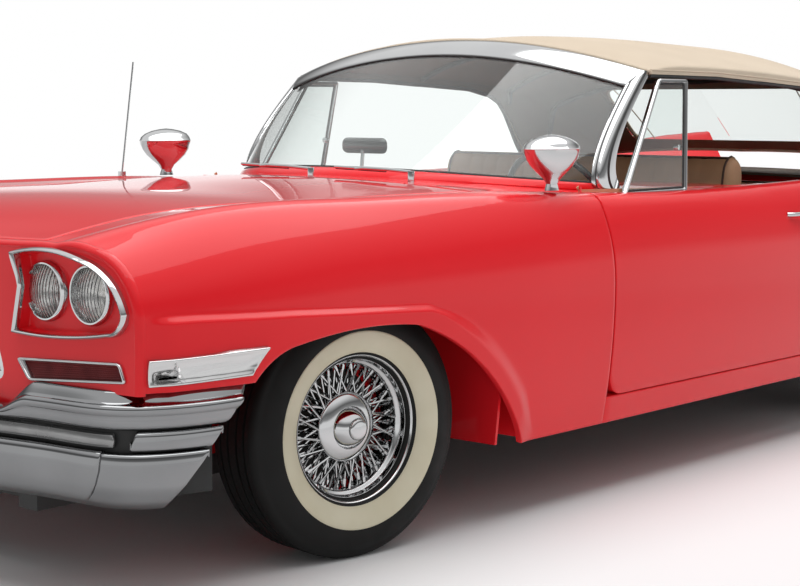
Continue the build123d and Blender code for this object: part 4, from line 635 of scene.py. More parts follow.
def smooth_line(xs, ys):
    """Natural cubic spline through the points, as a function."""
    xs, ys = np.array(xs, float), np.array(ys, float)
    gaps = np.diff(xs)
    size = len(xs)
    matrix = np.eye(size)
    right = np.zeros(size)
    for i in range(1, size - 1):
        matrix[i, i - 1:i + 2] = gaps[i - 1], 2 * (gaps[i - 1] + gaps[i]), gaps[i]
        right[i] = 6 * ((ys[i + 1] - ys[i]) / gaps[i] - (ys[i] - ys[i - 1]) / gaps[i - 1])
    bend = np.linalg.solve(matrix, right)

    def value(x):
        i = np.clip(np.searchsorted(xs, x) - 1, 0, size - 2)
        h = gaps[i]
        a, b = (xs[i + 1] - x) / h, (x - xs[i]) / h
        return a * ys[i] + b * ys[i + 1] + ((a ** 3 - a) * bend[i] + (b ** 3 - b) * bend[i + 1]) * h * h / 6
    return value


columns = [smooth_line(BODY_SECTIONS[:, 0], BODY_SECTIONS[:, k]) for k in range(1, 10)]
SKIN_SAMPLES = 440
SKIN_STEP = 0.010
SKIN_SOFTEN = 2.6


def upright_arc(side, end, steps):
    """Arc that leaves `side` upright and ends at `end`."""
    dy, dz = side[0] - end[0], end[1] - side[1]
    radius = (dy * dy + dz * dz) / (2 * dy)
    half = math.atan2(dz, radius - dy) / 2
    middle = (side[0] - radius + radius * math.cos(half), side[1] + radius * math.sin(half))
    return arc(side, middle, end, steps)


def run_lengths(line):
    """Distance along a line at each of its points."""
    return np.concatenate([[0], np.cumsum(np.linalg.norm(np.diff(line, axis=0), axis=1))])


def skin_section(x):
    """Left half section at x from the sill over the crest to the crown, evenly spaced and softened."""
    sill_y, side_y, side_z, crest_y, crest_z, width, drop, edge_z, crown_z = (
        column(x) for column in columns
    )
    edge_y = float(hood_line(x)) if x > DOOR_REAR_X else DECK_EDGE_Y
    side, shoulder = (side_y, side_z), (crest_y + width, crest_z - drop)
    inner, edge = (crest_y - width, crest_z - 0.5 * drop), (edge_y, edge_z)
    runs = [
        upright_arc(side, (sill_y, SILL_Z), 60)[::-1],
        upright_arc(side, shoulder, 60),
        arc(shoulder, (crest_y, crest_z), inner, 20),
        np.linspace(inner, edge, 12),
        arc(edge, (edge_y / 2, edge_z / 4 + crown_z * 3 / 4), (0.0, crown_z), 60),
    ]
    line = np.concatenate(runs)
    line = line[np.concatenate([[True], np.linalg.norm(np.diff(line, axis=0), axis=1) > 1e-7])]
    along = run_lengths(line)
    even = np.linspace(0, along[-1], SKIN_SAMPLES)
    line = np.stack([np.interp(even, along, line[:, k]) for k in (0, 1)], 1)
    reach = 10
    kernel = np.exp(-0.5 * (np.arange(-reach, reach + 1) / SKIN_SOFTEN) ** 2)
    kernel /= kernel.sum()
    before = 2 * line[0] - line[reach:0:-1]
    mirror = line[-2:-reach - 2:-1] * [-1, 1]
    padded = np.concatenate([before, line, mirror])
    return np.stack([np.convolve(padded[:, k], kernel, "valid") for k in (0, 1)], 1)


skin_xs = np.arange(TAIL_X, NOSE_X + 0.012, SKIN_STEP)
skin_table = np.array([skin_section(x) for x in skin_xs])
skin_rows = np.arange(SKIN_SAMPLES)


def on_skin(x, row):
    """(x, y, z) points of the body skin at station x and fractional section row."""
    x, row = np.broadcast_arrays(np.asarray(x, float), np.asarray(row, float))
    fx = np.clip((x - skin_xs[0]) / SKIN_STEP, 0, len(skin_xs) - 1.001)
    fr = np.clip(row, 0, SKIN_SAMPLES - 1.001)
    ix, ir = fx.astype(int), fr.astype(int)
    tx, tr = (fx - ix)[..., None], (fr - ir)[..., None]
    low = skin_table[ix, ir] * (1 - tr) + skin_table[ix, ir + 1] * tr
    high = skin_table[ix + 1, ir] * (1 - tr) + skin_table[ix + 1, ir + 1] * tr
    yz = low * (1 - tx) + high * tx
    return np.concatenate([x[..., None], yz], -1)


def section_at(x):
    return on_skin(np.full(SKIN_SAMPLES, x), skin_rows)[:, 1:]


def crest_peak(x):
    line = section_at(x)
    return int(np.argmax(line[: SKIN_SAMPLES * 2 // 3, 1] - 1e-4 * np.arange(SKIN_SAMPLES * 2 // 3)))


def evened(line, passes):
    """Copy of a line, smoothed between its ends."""
    line = np.array(line, float)
    for _ in range(passes):
        line[1:-1] = 0.5 * line[1:-1] + 0.25 * (line[:-2] + line[2:])
    return line


crest_xs = np.linspace(TAIL_X, NOSE_X, 240)
crest_peaks = evened([crest_peak(x) for x in crest_xs], 60)


def crest_row(x):
    """Row of the crest at x, drawn smooth along the car."""
    return float(np.interp(x, crest_xs, crest_peaks))


def row_at_z(x, z):
    """Row on the side of the body at height z."""
    line = section_at(x)
    top = crest_peak(x)
    return float(np.interp(z, line[:top, 1], skin_rows[:top]))


def row_at_y(x, y):
    """Row on top of the body, inboard of the crest, at half width y."""
    line = section_at(x)
    top = crest_peak(x)
    return float(np.interp(-y, -line[top:, 0], skin_rows[top:]))


def unit(vectors):
    return vectors / np.maximum(np.linalg.norm(vectors, axis=-1, keepdims=True), 1e-12)


def grid_normals(grid, out):
    """Normals of a (row, column) grid, turned to the side of the vector `out`."""
    down, across = np.gradient(grid, axis=0), np.gradient(grid, axis=1)
    found = unit(np.cross(across, down))
    sign = np.sign((found * out).sum(-1).mean()) or 1.0
    return found * sign


def hem(grid, normals, depth, radius, ends):
    """Rolls the first and last rows of a grid inwards round `radius`, to `depth`."""
    rows = [grid[1:-1]]
    norms = [normals[1:-1]]
    for end, edge, inside in ((ends[0], 0, 1), (ends[1], -1, -2)):
        border, normal = grid[edge], normals[edge]
        outward = unit(border - grid[inside])
        if end:
            rim = [
                border - radius * outward,
                border - 0.293 * radius * (outward + normal),
                border - radius * normal,
                border - depth * normal,
            ]
        else:
            rim = [border]
        rim = np.array(rim if edge else rim[::-1])
        norm = np.repeat(normal[None], len(rim), 0)
        rows = rows + [rim] if edge else [rim] + rows
        norms = norms + [norm] if edge else [norm] + norms
    return np.concatenate(rows), np.concatenate(norms)


def grid_faces(rows, count):
    return [
        (r * count + c, r * count + c + 1, (r + 1) * count + c + 1, (r + 1) * count + c)
        for r in range(rows - 1)
        for c in range(count - 1)
    ]


HEM_DEPTH = 0.018
HEM_RADIUS = 0.0022
SHEET = 0.0016


def oriented(grid, out):
    """Vertices and faces of a grid whose faces look to the side of `out`."""
    rows, count = grid.shape[:2]
    faces = grid_faces(rows, count)
    raw = unit(np.cross(np.gradient(grid, axis=1), np.gradient(grid, axis=0)))
    if (raw * out).sum(-1).mean() > 0:
        faces = [face[::-1] for face in faces]
    return grid.reshape(-1, 3), faces


def panel(name, grid, out, finish, sides=(1, 1, 1, 1), depth=HEM_DEPTH, radius=HEM_RADIUS, sharp=60.0):
    """Pressed sheet panel from a grid; `sides` hems its first row, last row, first column and last."""
    normals = grid_normals(grid, np.array(out, float))
    grid, normals = hem(grid, normals, depth, radius, sides[:2])
    grid, normals = hem(grid.swapaxes(0, 1), normals.swapaxes(0, 1), depth, radius, sides[2:])
    verts, faces = oriented(grid, np.array(out, float))
    return shaped(
        name, verts, faces, finish, thickness=SHEET, sharp=sharp, orient=False, modifiers=[weighted]
    )


def weighted(made):
    step = made.modifiers.new("weights", "WEIGHTED_NORMAL")
    step.keep_sharp = True
    step.weight = 80


def mirror_grid(grid):
    return grid * [1, -1, 1]


RED_LIGHT = (0.830, 0.0150, 0.0230)
RED_DARK = (0.800, 0.0130, 0.0200)
red_enamel = mottled("red_enamel", RED_LIGHT, RED_DARK, 1.3, (0.30, 0.36), 900.0, 0.02, 0.0003,
                     Coat_Weight=1.0, Coat_Roughness=0.02, Coat_IOR=1.26, Specular_IOR_Level=0.10)

ARCH_TIP = (FRONT_AXLE - 0.602, SILL_Z)
ARCH = np.concatenate([
    arc(ARCH_TIP, (FRONT_AXLE - 0.312, 0.548), (FRONT_AXLE - 0.094, 0.645), 30)[:-1],
    arc((FRONT_AXLE - 0.094, 0.645), (FRONT_AXLE + 0.120, 0.658), (FRONT_AXLE + 0.361, 0.637), 20)[:-1],
    arc((FRONT_AXLE + 0.361, 0.637), (FRONT_AXLE + 0.448, 0.610), (FRONT_AXLE + 0.512, 0.556), 10),
])
CREASE = np.concatenate([
    arc((FRONT_AXLE - 0.668, SILL_Z), (FRONT_AXLE - 0.372, 0.583), (FRONT_AXLE - 0.120, 0.692), 30)[:-1],
    [(FRONT_AXLE + 0.377, 0.716), (FRONT_AXLE + 0.690, 0.728)],
])
LEDGE_PROUD = 0.015
NOSE_SIDE_X = NOSE_X - 0.042
NOSE_BEND = (NOSE_X - 0.006, 0.480)
FACE_Y = 0.900


def nose_face_x(y):
    """Front face in plan, swept back to the sides."""
    y = np.abs(y)
    knee = 0.06
    slope = (NOSE_BEND[0] - NOSE_SIDE_X) / (FACE_Y - NOSE_BEND[1])
    near = NOSE_X - 0.0125 * y
    far = NOSE_BEND[0] - slope * (y - NOSE_BEND[1])
    return 0.5 * (near + far - np.sqrt((near - far) ** 2 + (knee * slope) ** 2))


def fender_low(x):
    if x < ARCH_TIP[0]:
        return SILL_Z
    return float(np.interp(x, ARCH[:, 0], ARCH[:, 1], right=ARCH[-1, 1]))


def spaced(stops, counts):
    """Places from stop to stop, `counts` of them in each span, and the last stop."""
    runs = [np.linspace(a, b, n, endpoint=False) for a, b, n in zip(stops, stops[1:], counts)]
    return np.concatenate([*runs, stops[-1:]])


def fender_grid():
    """Grid over the fender from the door to the lamp, proud below its crease."""
    first = DOOR_FRONT_X + PANEL_GAP / 2
    last = NOSE_SIDE_X - SKIN
    arch_stops = [
        ARCH_TIP[0] - 0.001, ARCH_TIP[0] + 0.001, *(FRONT_AXLE + ahead for ahead in (-0.09, 0.36, 0.512))
    ]
    columns_made = []
    for x in spaced([first, *arch_stops, last], [34, 2, 44, 22, 20, 20]):
        low_z = fender_low(x)
        crease = min(float(np.interp(x, CREASE[:, 0], CREASE[:, 1], left=SILL_Z, right=0.728)), 0.735)
        crease = max(crease, low_z + 0.024)
        half_band = 0.011 if x > FRONT_AXLE - 0.2 else 0.011 + 0.05 * min(1.0, (FRONT_AXLE - 0.2 - x) / 0.4)
        half_band = min(half_band, (crease - low_z) * 0.48)
        top = crest_row(x)
        marks = [
            row_at_z(x, low_z),
            row_at_z(x, crease - half_band),
            row_at_z(x, crease + half_band),
            top - 26,
            min(top + 26, row_at_y(x, float(hood_line(x)) + PANEL_GAP / 2) - 4),
            row_at_y(x, float(hood_line(x)) + PANEL_GAP / 2),
        ]
        rows = spaced(marks, [12, 9, 30, 26, 12])
        share = np.clip((x - first) / (last - first), 0, 1)
        points = on_skin(np.full(len(rows), x), rows)
        shift = (nose_face_x(points[:, 1]) - SKIN - last) * share ** 6
        points = on_skin(x + shift, rows)
        fade_in = np.clip((x - (FRONT_AXLE - 0.668)) / 0.10, 0, 1)
        fade_out = np.clip((NOSE_X - 0.075 - x) / 0.055, 0, 1)
        fade = (fade_in * fade_in * (3 - 2 * fade_in)) * (fade_out * fade_out * (3 - 2 * fade_out))
        below = np.clip((crease + half_band - points[:, 2]) / (2 * half_band), 0, 1)
        proud = LEDGE_PROUD * fade * below * below * (3 - 2 * below)
        proud *= rows < marks[3]
        points[:, 1] += proud
        columns_made.append(points)
    return np.array(columns_made).swapaxes(0, 1)


SIDES = (("left", 1.0), ("right", -1.0))
fender = fender_grid()
SPLASH_X = FRONT_AXLE - 0.597
for side, sign in SIDES:
    shape = panel("fender_" + side, fender * [1, sign, 1], (0, sign, 0.3), red_enamel, (1, 1, 1, 0))
    mount(shape, "body", "red_paint", "front_fender_" + side)
    splash = []
    for z in np.linspace(0.258, 0.800, 20):
        out_y = float(on_skin(SPLASH_X, row_at_z(SPLASH_X, z))[1]) - 0.006
        splash.append([(SPLASH_X, sign * y, z) for y in np.linspace(0.560, out_y, 16)])
    plate = panel("splash_plate_" + side, np.array(splash), (1, 0, 0), red_enamel, depth=0.010)
    mount(plate, "body", "red_paint")

# Hood: one wide flat pressing hinged at the cowl, its long edges straight in plan.
# Same red enamel, with a thin even gap to the fenders, the nose and the cowl.
def top_grid(x_first, x_last, edge_at, columns_wanted, front_follows_nose=False):
    """Grid over the top of the body between two stations, from one edge line to the other."""
    made = []
    for x in np.linspace(x_first, x_last, columns_wanted):
        row = row_at_y(x, edge_at(x))
        rows = np.linspace(row, SKIN_SAMPLES - 1.001, 34)
        points = on_skin(np.full(len(rows), x), rows)
        if front_follows_nose:
            share = (x - x_first) / (x_last - x_first)
            shift = (nose_face_x(points[:, 1]) - SKIN - PANEL_GAP - x_last) * share ** 6
            points = on_skin(x + shift, rows)
        points[-1, 1] = 0.0
        made.append(np.concatenate([points, mirror_grid(points[-2::-1])]))
    return np.array(made).swapaxes(0, 1)


hood_front_x = NOSE_X - SKIN - PANEL_GAP
hood_grid = top_grid(
    HOOD_REAR_X + 0.011, hood_front_x, lambda x: float(hood_line(x)) - PANEL_GAP / 2, 90, True
)
hood = panel("hood_panel", hood_grid, (0, 0, 1), red_enamel)
mount(hood, "hood", "red_paint", "hood")

# Doors: a long outer skin with rounded lower corners, carried on two hidden hinges at its front edge.
# The skin is hemmed all round onto a deep frame that closes against the sill and the pillars.
DOOR_CORNER = 0.070
door_low_z = DOOR_BOTTOM_Z + PANEL_GAP / 2
door_fore = DOOR_FRONT_X - 0.005
door_aft = DOOR_REAR_X + PANEL_GAP / 2


def door_bottom(x):
    """Lower edge of the door at x, with its rounded corners."""
    near = min(x - door_aft, door_fore - x)
    if near >= DOOR_CORNER:
        return door_low_z
    return door_low_z + DOOR_CORNER - math.sqrt(max(DOOR_CORNER ** 2 - (DOOR_CORNER - near) ** 2, 0.0))


def side_grid(xs, low_at, edge_at, spans=(34, 22, 10)):
    """Grid over the side of the body, from a lower edge over the crest to an inner edge."""
    made = []
    for x in xs:
        top = crest_row(x)
        inner = row_at_y(x, edge_at(x))
        marks = [row_at_z(x, low_at(x)), top - 24, min(top + 24, inner - 4), inner]
        rows = spaced(marks, spans)
        made.append(on_skin(np.full(len(rows), x), rows))
    return np.array(made).swapaxes(0, 1)


corner_steps = DOOR_CORNER * (1 - np.cos(np.linspace(0, math.pi / 2, 12)))
door_middle = np.linspace(door_aft + DOOR_CORNER, door_fore - DOOR_CORNER, 56)[1:-1]
door_xs = np.concatenate([door_aft + corner_steps, door_middle, door_fore - corner_steps[::-1]])
door_grid = side_grid(door_xs, door_bottom, lambda x: DOOR_INNER_Y)
for side, sign in SIDES:
    skin = panel("door_skin_" + side, door_grid * [1, sign, 1], (0, sign, 0.3), red_enamel, depth=0.03)
    mount(skin, "door_" + side, "red_paint", "door_" + side)

# Sills: the long box sections under the doors, rolled from sheet and spot welded to the floor.
# They are painted with the body and turned under deeply, so that no raw edge shows.
sill_grid = []
for x in np.linspace(DOOR_REAR_X - PANEL_GAP / 2, DOOR_FRONT_X + PANEL_GAP / 2, 40):
    rows = np.linspace(0.0, row_at_z(x, DOOR_BOTTOM_Z - PANEL_GAP / 2), 12)
    sill_grid.append(on_skin(np.full(len(rows), x), rows))
sill_grid = np.array(sill_grid).swapaxes(0, 1)
sill_parts = []
for side, sign in SIDES:
    sill_parts.append(panel("sill_" + side, sill_grid * [1, sign, 1], (0, sign, 0), red_enamel, depth=0.12))
mount(joined("sill_panels", sill_parts), "body", "red_paint", "sills")

# Rear quarters: one pressing each from the door to the tail lamp, rising to a thin fin.
# Same red enamel; the wheel opening is cut low and its edge is hemmed like the fender's.
REAR_ARCH = np.concatenate([
    arc((REAR_AXLE - 0.415, 0.330), (REAR_AXLE - 0.300, 0.545), (REAR_AXLE - 0.040, 0.618), 24)[:-1],
    arc((REAR_AXLE - 0.040, 0.618), (REAR_AXLE + 0.270, 0.545), (REAR_AXLE + 0.430, SILL_Z), 30),
])


def quarter_low(x):
    if REAR_AXLE - 0.415 < x < REAR_AXLE + 0.430:
        return float(np.interp(x, REAR_ARCH[:, 0], REAR_ARCH[:, 1]))
    return SILL_Z


def quarter_edge(x):
    return DECK_EDGE_Y + PANEL_GAP / 2 if x < CABIN_REAR_X else DOOR_INNER_Y


arch_stops = [REAR_AXLE + ahead for ahead in (-0.4151, -0.4149, -0.30, -0.04, 0.33, 0.43)]
quarter_stops = [TAIL_X + SKIN, *arch_stops, DOOR_REAR_X - PANEL_GAP / 2]
quarter_xs = spaced(quarter_stops, [60, 1, 26, 20, 30, 16, 24])
quarter_grid = side_grid(quarter_xs, quarter_low, quarter_edge, (26, 20, 12))
for side, sign in SIDES:
    skin = panel("quarter_" + side, quarter_grid * [1, sign, 1], (0, sign, 0.3), red_enamel, (1, 1, 0, 1))
    mount(skin, "body", "red_paint", "quarter_panel_" + side)

# Deck: the fixed shelf behind the cabin and the hinged deck lid, one enamelled pressing each.
# The lid hangs on hinges at its front edge, which stands back to clear the shelf as it lifts.
for node, name, body, first, last, half_width, steps, sides in (
    ("rear_shelf", "rear_shelf_panel", "body", DECK_FRONT_X + PANEL_GAP, CABIN_REAR_X - 0.060,
     DECK_EDGE_Y + PANEL_GAP / 2, 24, (0, 0, 0, 1)),
    ("deck_lid", "deck_lid_panel", "deck_lid", TAIL_X + SKIN + PANEL_GAP, DECK_FRONT_X - 2 * PANEL_GAP,
     DECK_EDGE_Y - PANEL_GAP / 2, 50, (1, 1, 1, 0)),
):
    deck_grid = top_grid(first, last, lambda x: half_width, steps)
    mount(panel(name, deck_grid, (0, 0, 1), red_enamel, sides), body, "red_paint", node)

# Nose: the painted pressing that closes the front between the fenders, rolled back at its rim.
# It is one sheet with openings for the lamp pairs, the side ducts and the grille.
NOSE_LOW_Z = 0.548
NOSE_DIP = [(-0.565, 0.548), (-0.470, 0.485), (0.470, 0.485), (0.565, 0.548)]
NOSE_ROLL = 0.016
EYE = [
    (0.490, 0.880), ((0.610, 0.893), (0.740, 0.872)), ((0.833, 0.820), (0.876, 0.745)),
    ((0.862, 0.708), (0.818, 0.686)), ((0.650, 0.669), (0.480, 0.673)), (0.508, 0.793),
]
DUCT = [(0.484, 0.612), (0.846, 0.628), (0.866, 0.578), (0.528, 0.556)]
GRILLE = [(-0.438, 0.545), (-0.335, 0.842), (0.335, 0.842), (0.438, 0.545)]


def drawn(steps, spacing=0.006):
    """Dense closed outline through points and (via, end) arcs."""
    line = [np.array([steps[0]], float)]
    for step in list(steps[1:]) + [steps[0]]:
        last = line[-1][-1]
        if isinstance(step[0], tuple):
            count = max(4, int(1.1 * math.dist(last, step[1]) / spacing))
            line.append(arc(last, step[0], step[1], count)[1:])
        else:
            count = max(2, int(math.dist(last, step) / spacing) + 1)
            line.append(np.linspace(last, step, count)[1:])
    return np.concatenate(line)[:-1]


def rounded(points, radius, steps=6):
    """Closed polygon with rounded corners."""
    made = []
    points = np.array(points, float)
    for i, corner in enumerate(points):
        back, ahead = points[i - 1] - corner, points[(i + 1) % len(points)] - corner
        start = corner + radius * back / np.linalg.norm(back)
        end = corner + radius * ahead / np.linalg.norm(ahead)
        for t in np.linspace(0, 1, steps):
            made.append((1 - t) ** 2 * start + 2 * t * (1 - t) * corner + t * t * end)
    return np.array(made)


def inset(outline, amount):
    """Closed outline drawn in by `amount`, mitred at its corners."""
    ahead = unit(np.roll(outline, -1, 0) - outline)
    back = np.roll(ahead, 1, 0)
    left = unit(np.stack([-ahead[:, 1], ahead[:, 0]], 1) + np.stack([-back[:, 1], back[:, 0]], 1))
    x, y = outline[:, 0], outline[:, 1]
    area = (x * np.roll(y, -1) - y * np.roll(x, -1)).sum()
    lean = np.clip((left * np.stack([-ahead[:, 1], ahead[:, 0]], 1)).sum(1), 0.5, 1)
    return outline + np.sign(area) * amount * left / lean[:, None]


def inside(points, outline):
    """Which 2-D points lie within a closed outline."""
    x, y = points[:, 0:1], points[:, 1:2]
    ax, ay = outline[:, 0], outline[:, 1]
    bx, by = np.roll(ax, -1), np.roll(ay, -1)
    crosses = (ay > y) != (by > y)
    with np.errstate(divide="ignore", invalid="ignore"):
        at = ax + (y - ay) * (bx - ax) / (by - ay)
    return (crosses & (x < at)).sum(1) % 2 == 1


def filled(outer, holes, spacing):
    """Triangles of a flat field within `outer` and outside the holes."""
    low, high = outer.min(0), outer.max(0)
    ys, zs = np.meshgrid(np.arange(low[0], high[0], spacing), np.arange(low[1], high[1], spacing))
    field = np.stack([ys.ravel(), zs.ravel()], 1)
    keep = inside(field, inset(outer, spacing * 0.5))
    for hole in holes:
        keep &= ~inside(field, inset(hole, -spacing * 0.5))
    rings = [outer, *holes]
    verts = np.concatenate([*rings, field[keep]])
    edges = []
    start = 0
    for ring in rings:
        edges += [(start + i, start + (i + 1) % len(ring)) for i in range(len(ring))]
        start += len(ring)
    found = delaunay_2d_cdt([Vector(v) for v in verts], edges, [], 0, 1e-6)
    verts = np.array([tuple(v) for v in found[0]])
    faces = np.array([tuple(f) for f in found[2]])
    middles = verts[faces].mean(1)
    keep = inside(middles, outer)
    for hole in holes:
        keep &= ~inside(middles, hole)
    return verts, faces[keep]


def faced(verts, faces, out):
    """Faces as tuples, all turned so that the first one looks along `out`."""
    a, b, c = (verts[k] for k in faces[0])
    step = 1 if np.cross(b - a, c - a) @ np.array(out, float) > 0 else -1
    return [tuple(face)[::step] for face in faces]


rim_rows = np.linspace(row_at_z(NOSE_SIDE_X, NOSE_LOW_Z), SKIN_SAMPLES - 1.001, 150)
rim = on_skin(np.full(150, NOSE_X - SKIN), rim_rows)
rim = on_skin(nose_face_x(rim[:, 1]) - SKIN, rim_rows)
rim[-1, 1] = 0.0
rim = np.concatenate([rim, mirror_grid(rim[-2::-1])])
rim_along = unit(np.gradient(rim[:, 1:], axis=0))
rim_in = np.stack([-rim_along[:, 1], rim_along[:, 0]], 1)
nose_rows = []
for turn in [-1.0, *np.linspace(0, 90, 8)]:
    swing = math.radians(max(turn, 0.0))
    flat = rim[:, 1:] + rim_in * NOSE_ROLL * (1 - math.cos(swing))
    ahead = -SKIN if turn < 0 else NOSE_ROLL * (math.sin(swing) - 1)
    nose_rows.append(np.concatenate([(nose_face_x(flat[:, 0]) + ahead)[:, None], flat], 1))
rim_grid = np.array(nose_rows)
eye_outline = drawn(EYE)
duct_outline = rounded(DUCT, 0.014)
grille_outline = rounded(GRILLE, 0.05)
nose_holes = [grille_outline]
for sign in (1, -1):
    nose_holes += [inset(eye_outline, 0.004) * [sign, 1], inset(duct_outline, 0.003) * [sign, 1]]
nose_edge = np.concatenate([rim_grid[-1, :, 1:], NOSE_DIP])
flat_verts, flat_faces = filled(nose_edge, nose_holes, 0.022)
face_verts = np.concatenate([nose_face_x(flat_verts[:, 0])[:, None], flat_verts], 1)
rim_verts, rim_faces = oriented(rim_grid, np.array([1.0, 0, 0]))
nose_verts = np.concatenate([rim_verts, face_verts])
nose_faces = rim_faces + faced(nose_verts, flat_faces + len(rim_verts), (1, 0, 0))
nose = shaped(
    "nose_skin", nose_verts, nose_faces, red_enamel, SHEET, sharp=50.0, orient=False, modifiers=[weighted]
)
mount(nose, "body", "red_paint", "nose_panel")

# Headlamp eyes: a rolled bright bezel, hooded at its top, round a red dish with two sealed-beam lamps.
# The bezel is plated brass pressing; the lamps are pressed glass over a silvered bowl, held by thin rings.
LAMP_Y = (0.570, 0.727)
LAMP_Z = 0.781
LAMP_RADIUS = 0.070
LAMP_HOLE = 0.066
LAMP_SEAT = 0.026
BEZEL_PROFILE = [
    (0.0, -0.004), (0.0, 0.010), (0.0012, 0.017), (0.0045, 0.0215), (0.0085, 0.0205), (0.0110, 0.0150),
    (0.0118, 0.006), (0.0105, -0.004),
]
RING_PROFILE = [
    (0.0655, 0.006), (0.0655, 0.013), (0.0675, 0.0165), (0.0715, 0.0165), (0.0750, 0.0130), (0.0765, 0.0065),
    (0.0765, -0.002), (0.0655, -0.002),
]
DISH_PROFILE = [(0.0105, 0.004), (0.0115, -0.006), (0.0125, -0.016), (0.0150, -0.022), (0.0190, -0.0240)]


def hooded(z):
    """How far the bezel stands out at height z, more at its top."""
    rise = np.clip((z - 0.80) / 0.075, 0, 1)
    return 1.0 + 0.45 * rise * rise * (3 - 2 * rise)


def carried(outline, profile, place):
    """Grid of (inset, offset) rows round a flat outline; `place` turns (a, b, offset) into x, y, z."""
    made = []
    for amount, offset in profile:
        a, b = inset(outline, amount).T
        made.append(np.stack(np.broadcast_arrays(*place(a, b, offset)), 1))
    return np.array(made)


def nose_ring(outline, profile, lift=lambda z: 1.0):
    """Grid of a section carried round an outline on the nose face."""
    return carried(outline, profile, lambda y, z, ahead: (
        nose_face_x(y) + ahead * (lift(z) if ahead > 0 else 1.0), y, z))


def wrapped(grid, closed_rows=True):
    """Vertices and faces of a grid whose columns, and rows if asked, run round."""
    rows, count = grid.shape[:2]
    faces = []
    for r in range(rows if closed_rows else rows - 1):
        below = (r + 1) % rows
        for c in range(count):
            beside = (c + 1) % count
            faces.append((r * count + c, r * count + beside, below * count + beside, below * count + c))
    return grid.reshape(-1, 3), faces


def capped(rows):
    """Vertices and faces of closed rings joined in turn, with a cap on the first and on the last."""
    verts, faces = wrapped(np.array(rows), False)
    count = len(rows[0])
    return verts, [*faces, tuple(range(count)), tuple(range(len(verts) - count, len(verts)))]


def lidded(rows):
    """Like capped, with the first ring left open."""
    verts, faces = capped(rows)
    return verts, [*faces[:-2], faces[-1]]


def lamp_part(name, profile, steps, finish, place, flip, closed=True, thickness=0.0):
    """Round lamp piece turned from an (r, x) profile about the X line through `place`."""
    verts, faces = turned(profile, steps, closed)
    return shaped(name, (np.array(verts)[:, [1, 0, 2]] + place) * flip, faces, finish, thickness)


sealed_glass = bpy.data.materials.new("sealed_glass")
sealed_glass.use_nodes = True
lens_tree = sealed_glass.node_tree
lens_shader = lens_tree.nodes["Principled BSDF"]
lens_shader.inputs["Transmission Weight"].default_value = 1.0
lens_shader.inputs["Roughness"].default_value = 0.02
lens_shader.inputs["IOR"].default_value = 1.47
lens_place = lens_tree.nodes.new("ShaderNodeTexCoord")
flutes = lens_tree.nodes.new("ShaderNodeTexWave")
flutes.bands_direction = "Y"
flutes.inputs["Scale"].default_value = 34.0
flutes.inputs["Distortion"].default_value = 0.6
cells = lens_tree.nodes.new("ShaderNodeTexVoronoi")
cells.inputs["Scale"].default_value = 70.0
ripple = lens_tree.nodes.new("ShaderNodeMath")
ripple.operation = "ADD"
lens_bump = lens_tree.nodes.new("ShaderNodeBump")
lens_bump.inputs["Strength"].default_value = 0.55
lens_bump.inputs["Distance"].default_value = 0.003
wire(
    lens_tree,
    (lens_place, "Object", flutes, "Vector"),
    (lens_place, "Object", cells, "Vector"),
    (flutes, "Fac", ripple, 0),
    (cells, "Distance", ripple, 1),
    (ripple, 0, lens_bump, "Height"),
    (lens_bump, 0, lens_shader, "Normal"),
)
silvered = mottled(
    "silvered_bowl", (0.86, 0.85, 0.83), (0.80, 0.79, 0.76), 30.0, (0.10, 0.22), 200.0, 0.2, 0.002,
    Metallic=1.0
)

hole_turns = np.linspace(0, 2 * math.pi, 40, endpoint=False)
lamp_hole = LAMP_HOLE * np.stack([np.cos(hole_turns), np.sin(hole_turns)], 1)
bezels, dishes, lenses, bowls = [], [], [], []
for sign in (1, -1):
    flip = np.array([1, sign, 1])
    bezels.append(
        shaped("bezel", *wrapped(nose_ring(eye_outline, BEZEL_PROFILE, hooded) * flip), chrome, sharp=60.0)
    )
    dish_grid = nose_ring(eye_outline, DISH_PROFILE)
    back, back_faces = filled(dish_grid[-1, :, 1:], [lamp_hole + [y, LAMP_Z] for y in LAMP_Y], 0.03)
    back = np.concatenate([(nose_face_x(back[:, 0]) + DISH_PROFILE[-1][1])[:, None], back], 1)
    wall_verts, wall_faces = wrapped(dish_grid, False)
    dish_faces = wall_faces + [tuple(f + len(wall_verts)) for f in back_faces]
    dish_verts = np.concatenate([wall_verts, back]) * flip
    dishes.append(shaped("dish", dish_verts, dish_faces, red_enamel, thickness=0.0015, sharp=45.0))
    for y in LAMP_Y:
        seat = float(nose_face_x(y)) - LAMP_SEAT
        place = np.array([seat, y, LAMP_Z])
        steps = np.linspace(0, 1, 10)
        dome = [(LAMP_RADIUS * 0.965 * s, 0.010 + 0.024 * (1 - s * s)) for s in steps]
        rear = [(r, x - 0.004) for r, x in reversed(dome)]
        dome[0], rear[-1] = (0.0003, dome[0][1]), (0.0003, rear[-1][1])
        lenses.append(lamp_part("lens", dome + rear, 48, sealed_glass, place, flip))
        bowl = [(0.0655 * math.sqrt(s) + 0.0005, -0.040 + 0.048 * s) for s in np.linspace(0, 1, 12)]
        bowls.append(lamp_part("bowl", bowl, 48, silvered, place, flip, False, 0.001))
        bowls.append(lamp_part("ring", RING_PROFILE, 56, chrome, place, flip))
mount(joined("eye_bezels", bezels, 60.0), "body", "chrome", "headlamp_bezels")
mount(joined("eye_dishes", dishes), "body", "red_paint", "headlamp_buckets")
mount(joined("sealed_lenses", lenses), "body", "lamp_glass", "headlamp_lenses")
mount(joined("lamp_bowls", bowls), "body", "chrome")

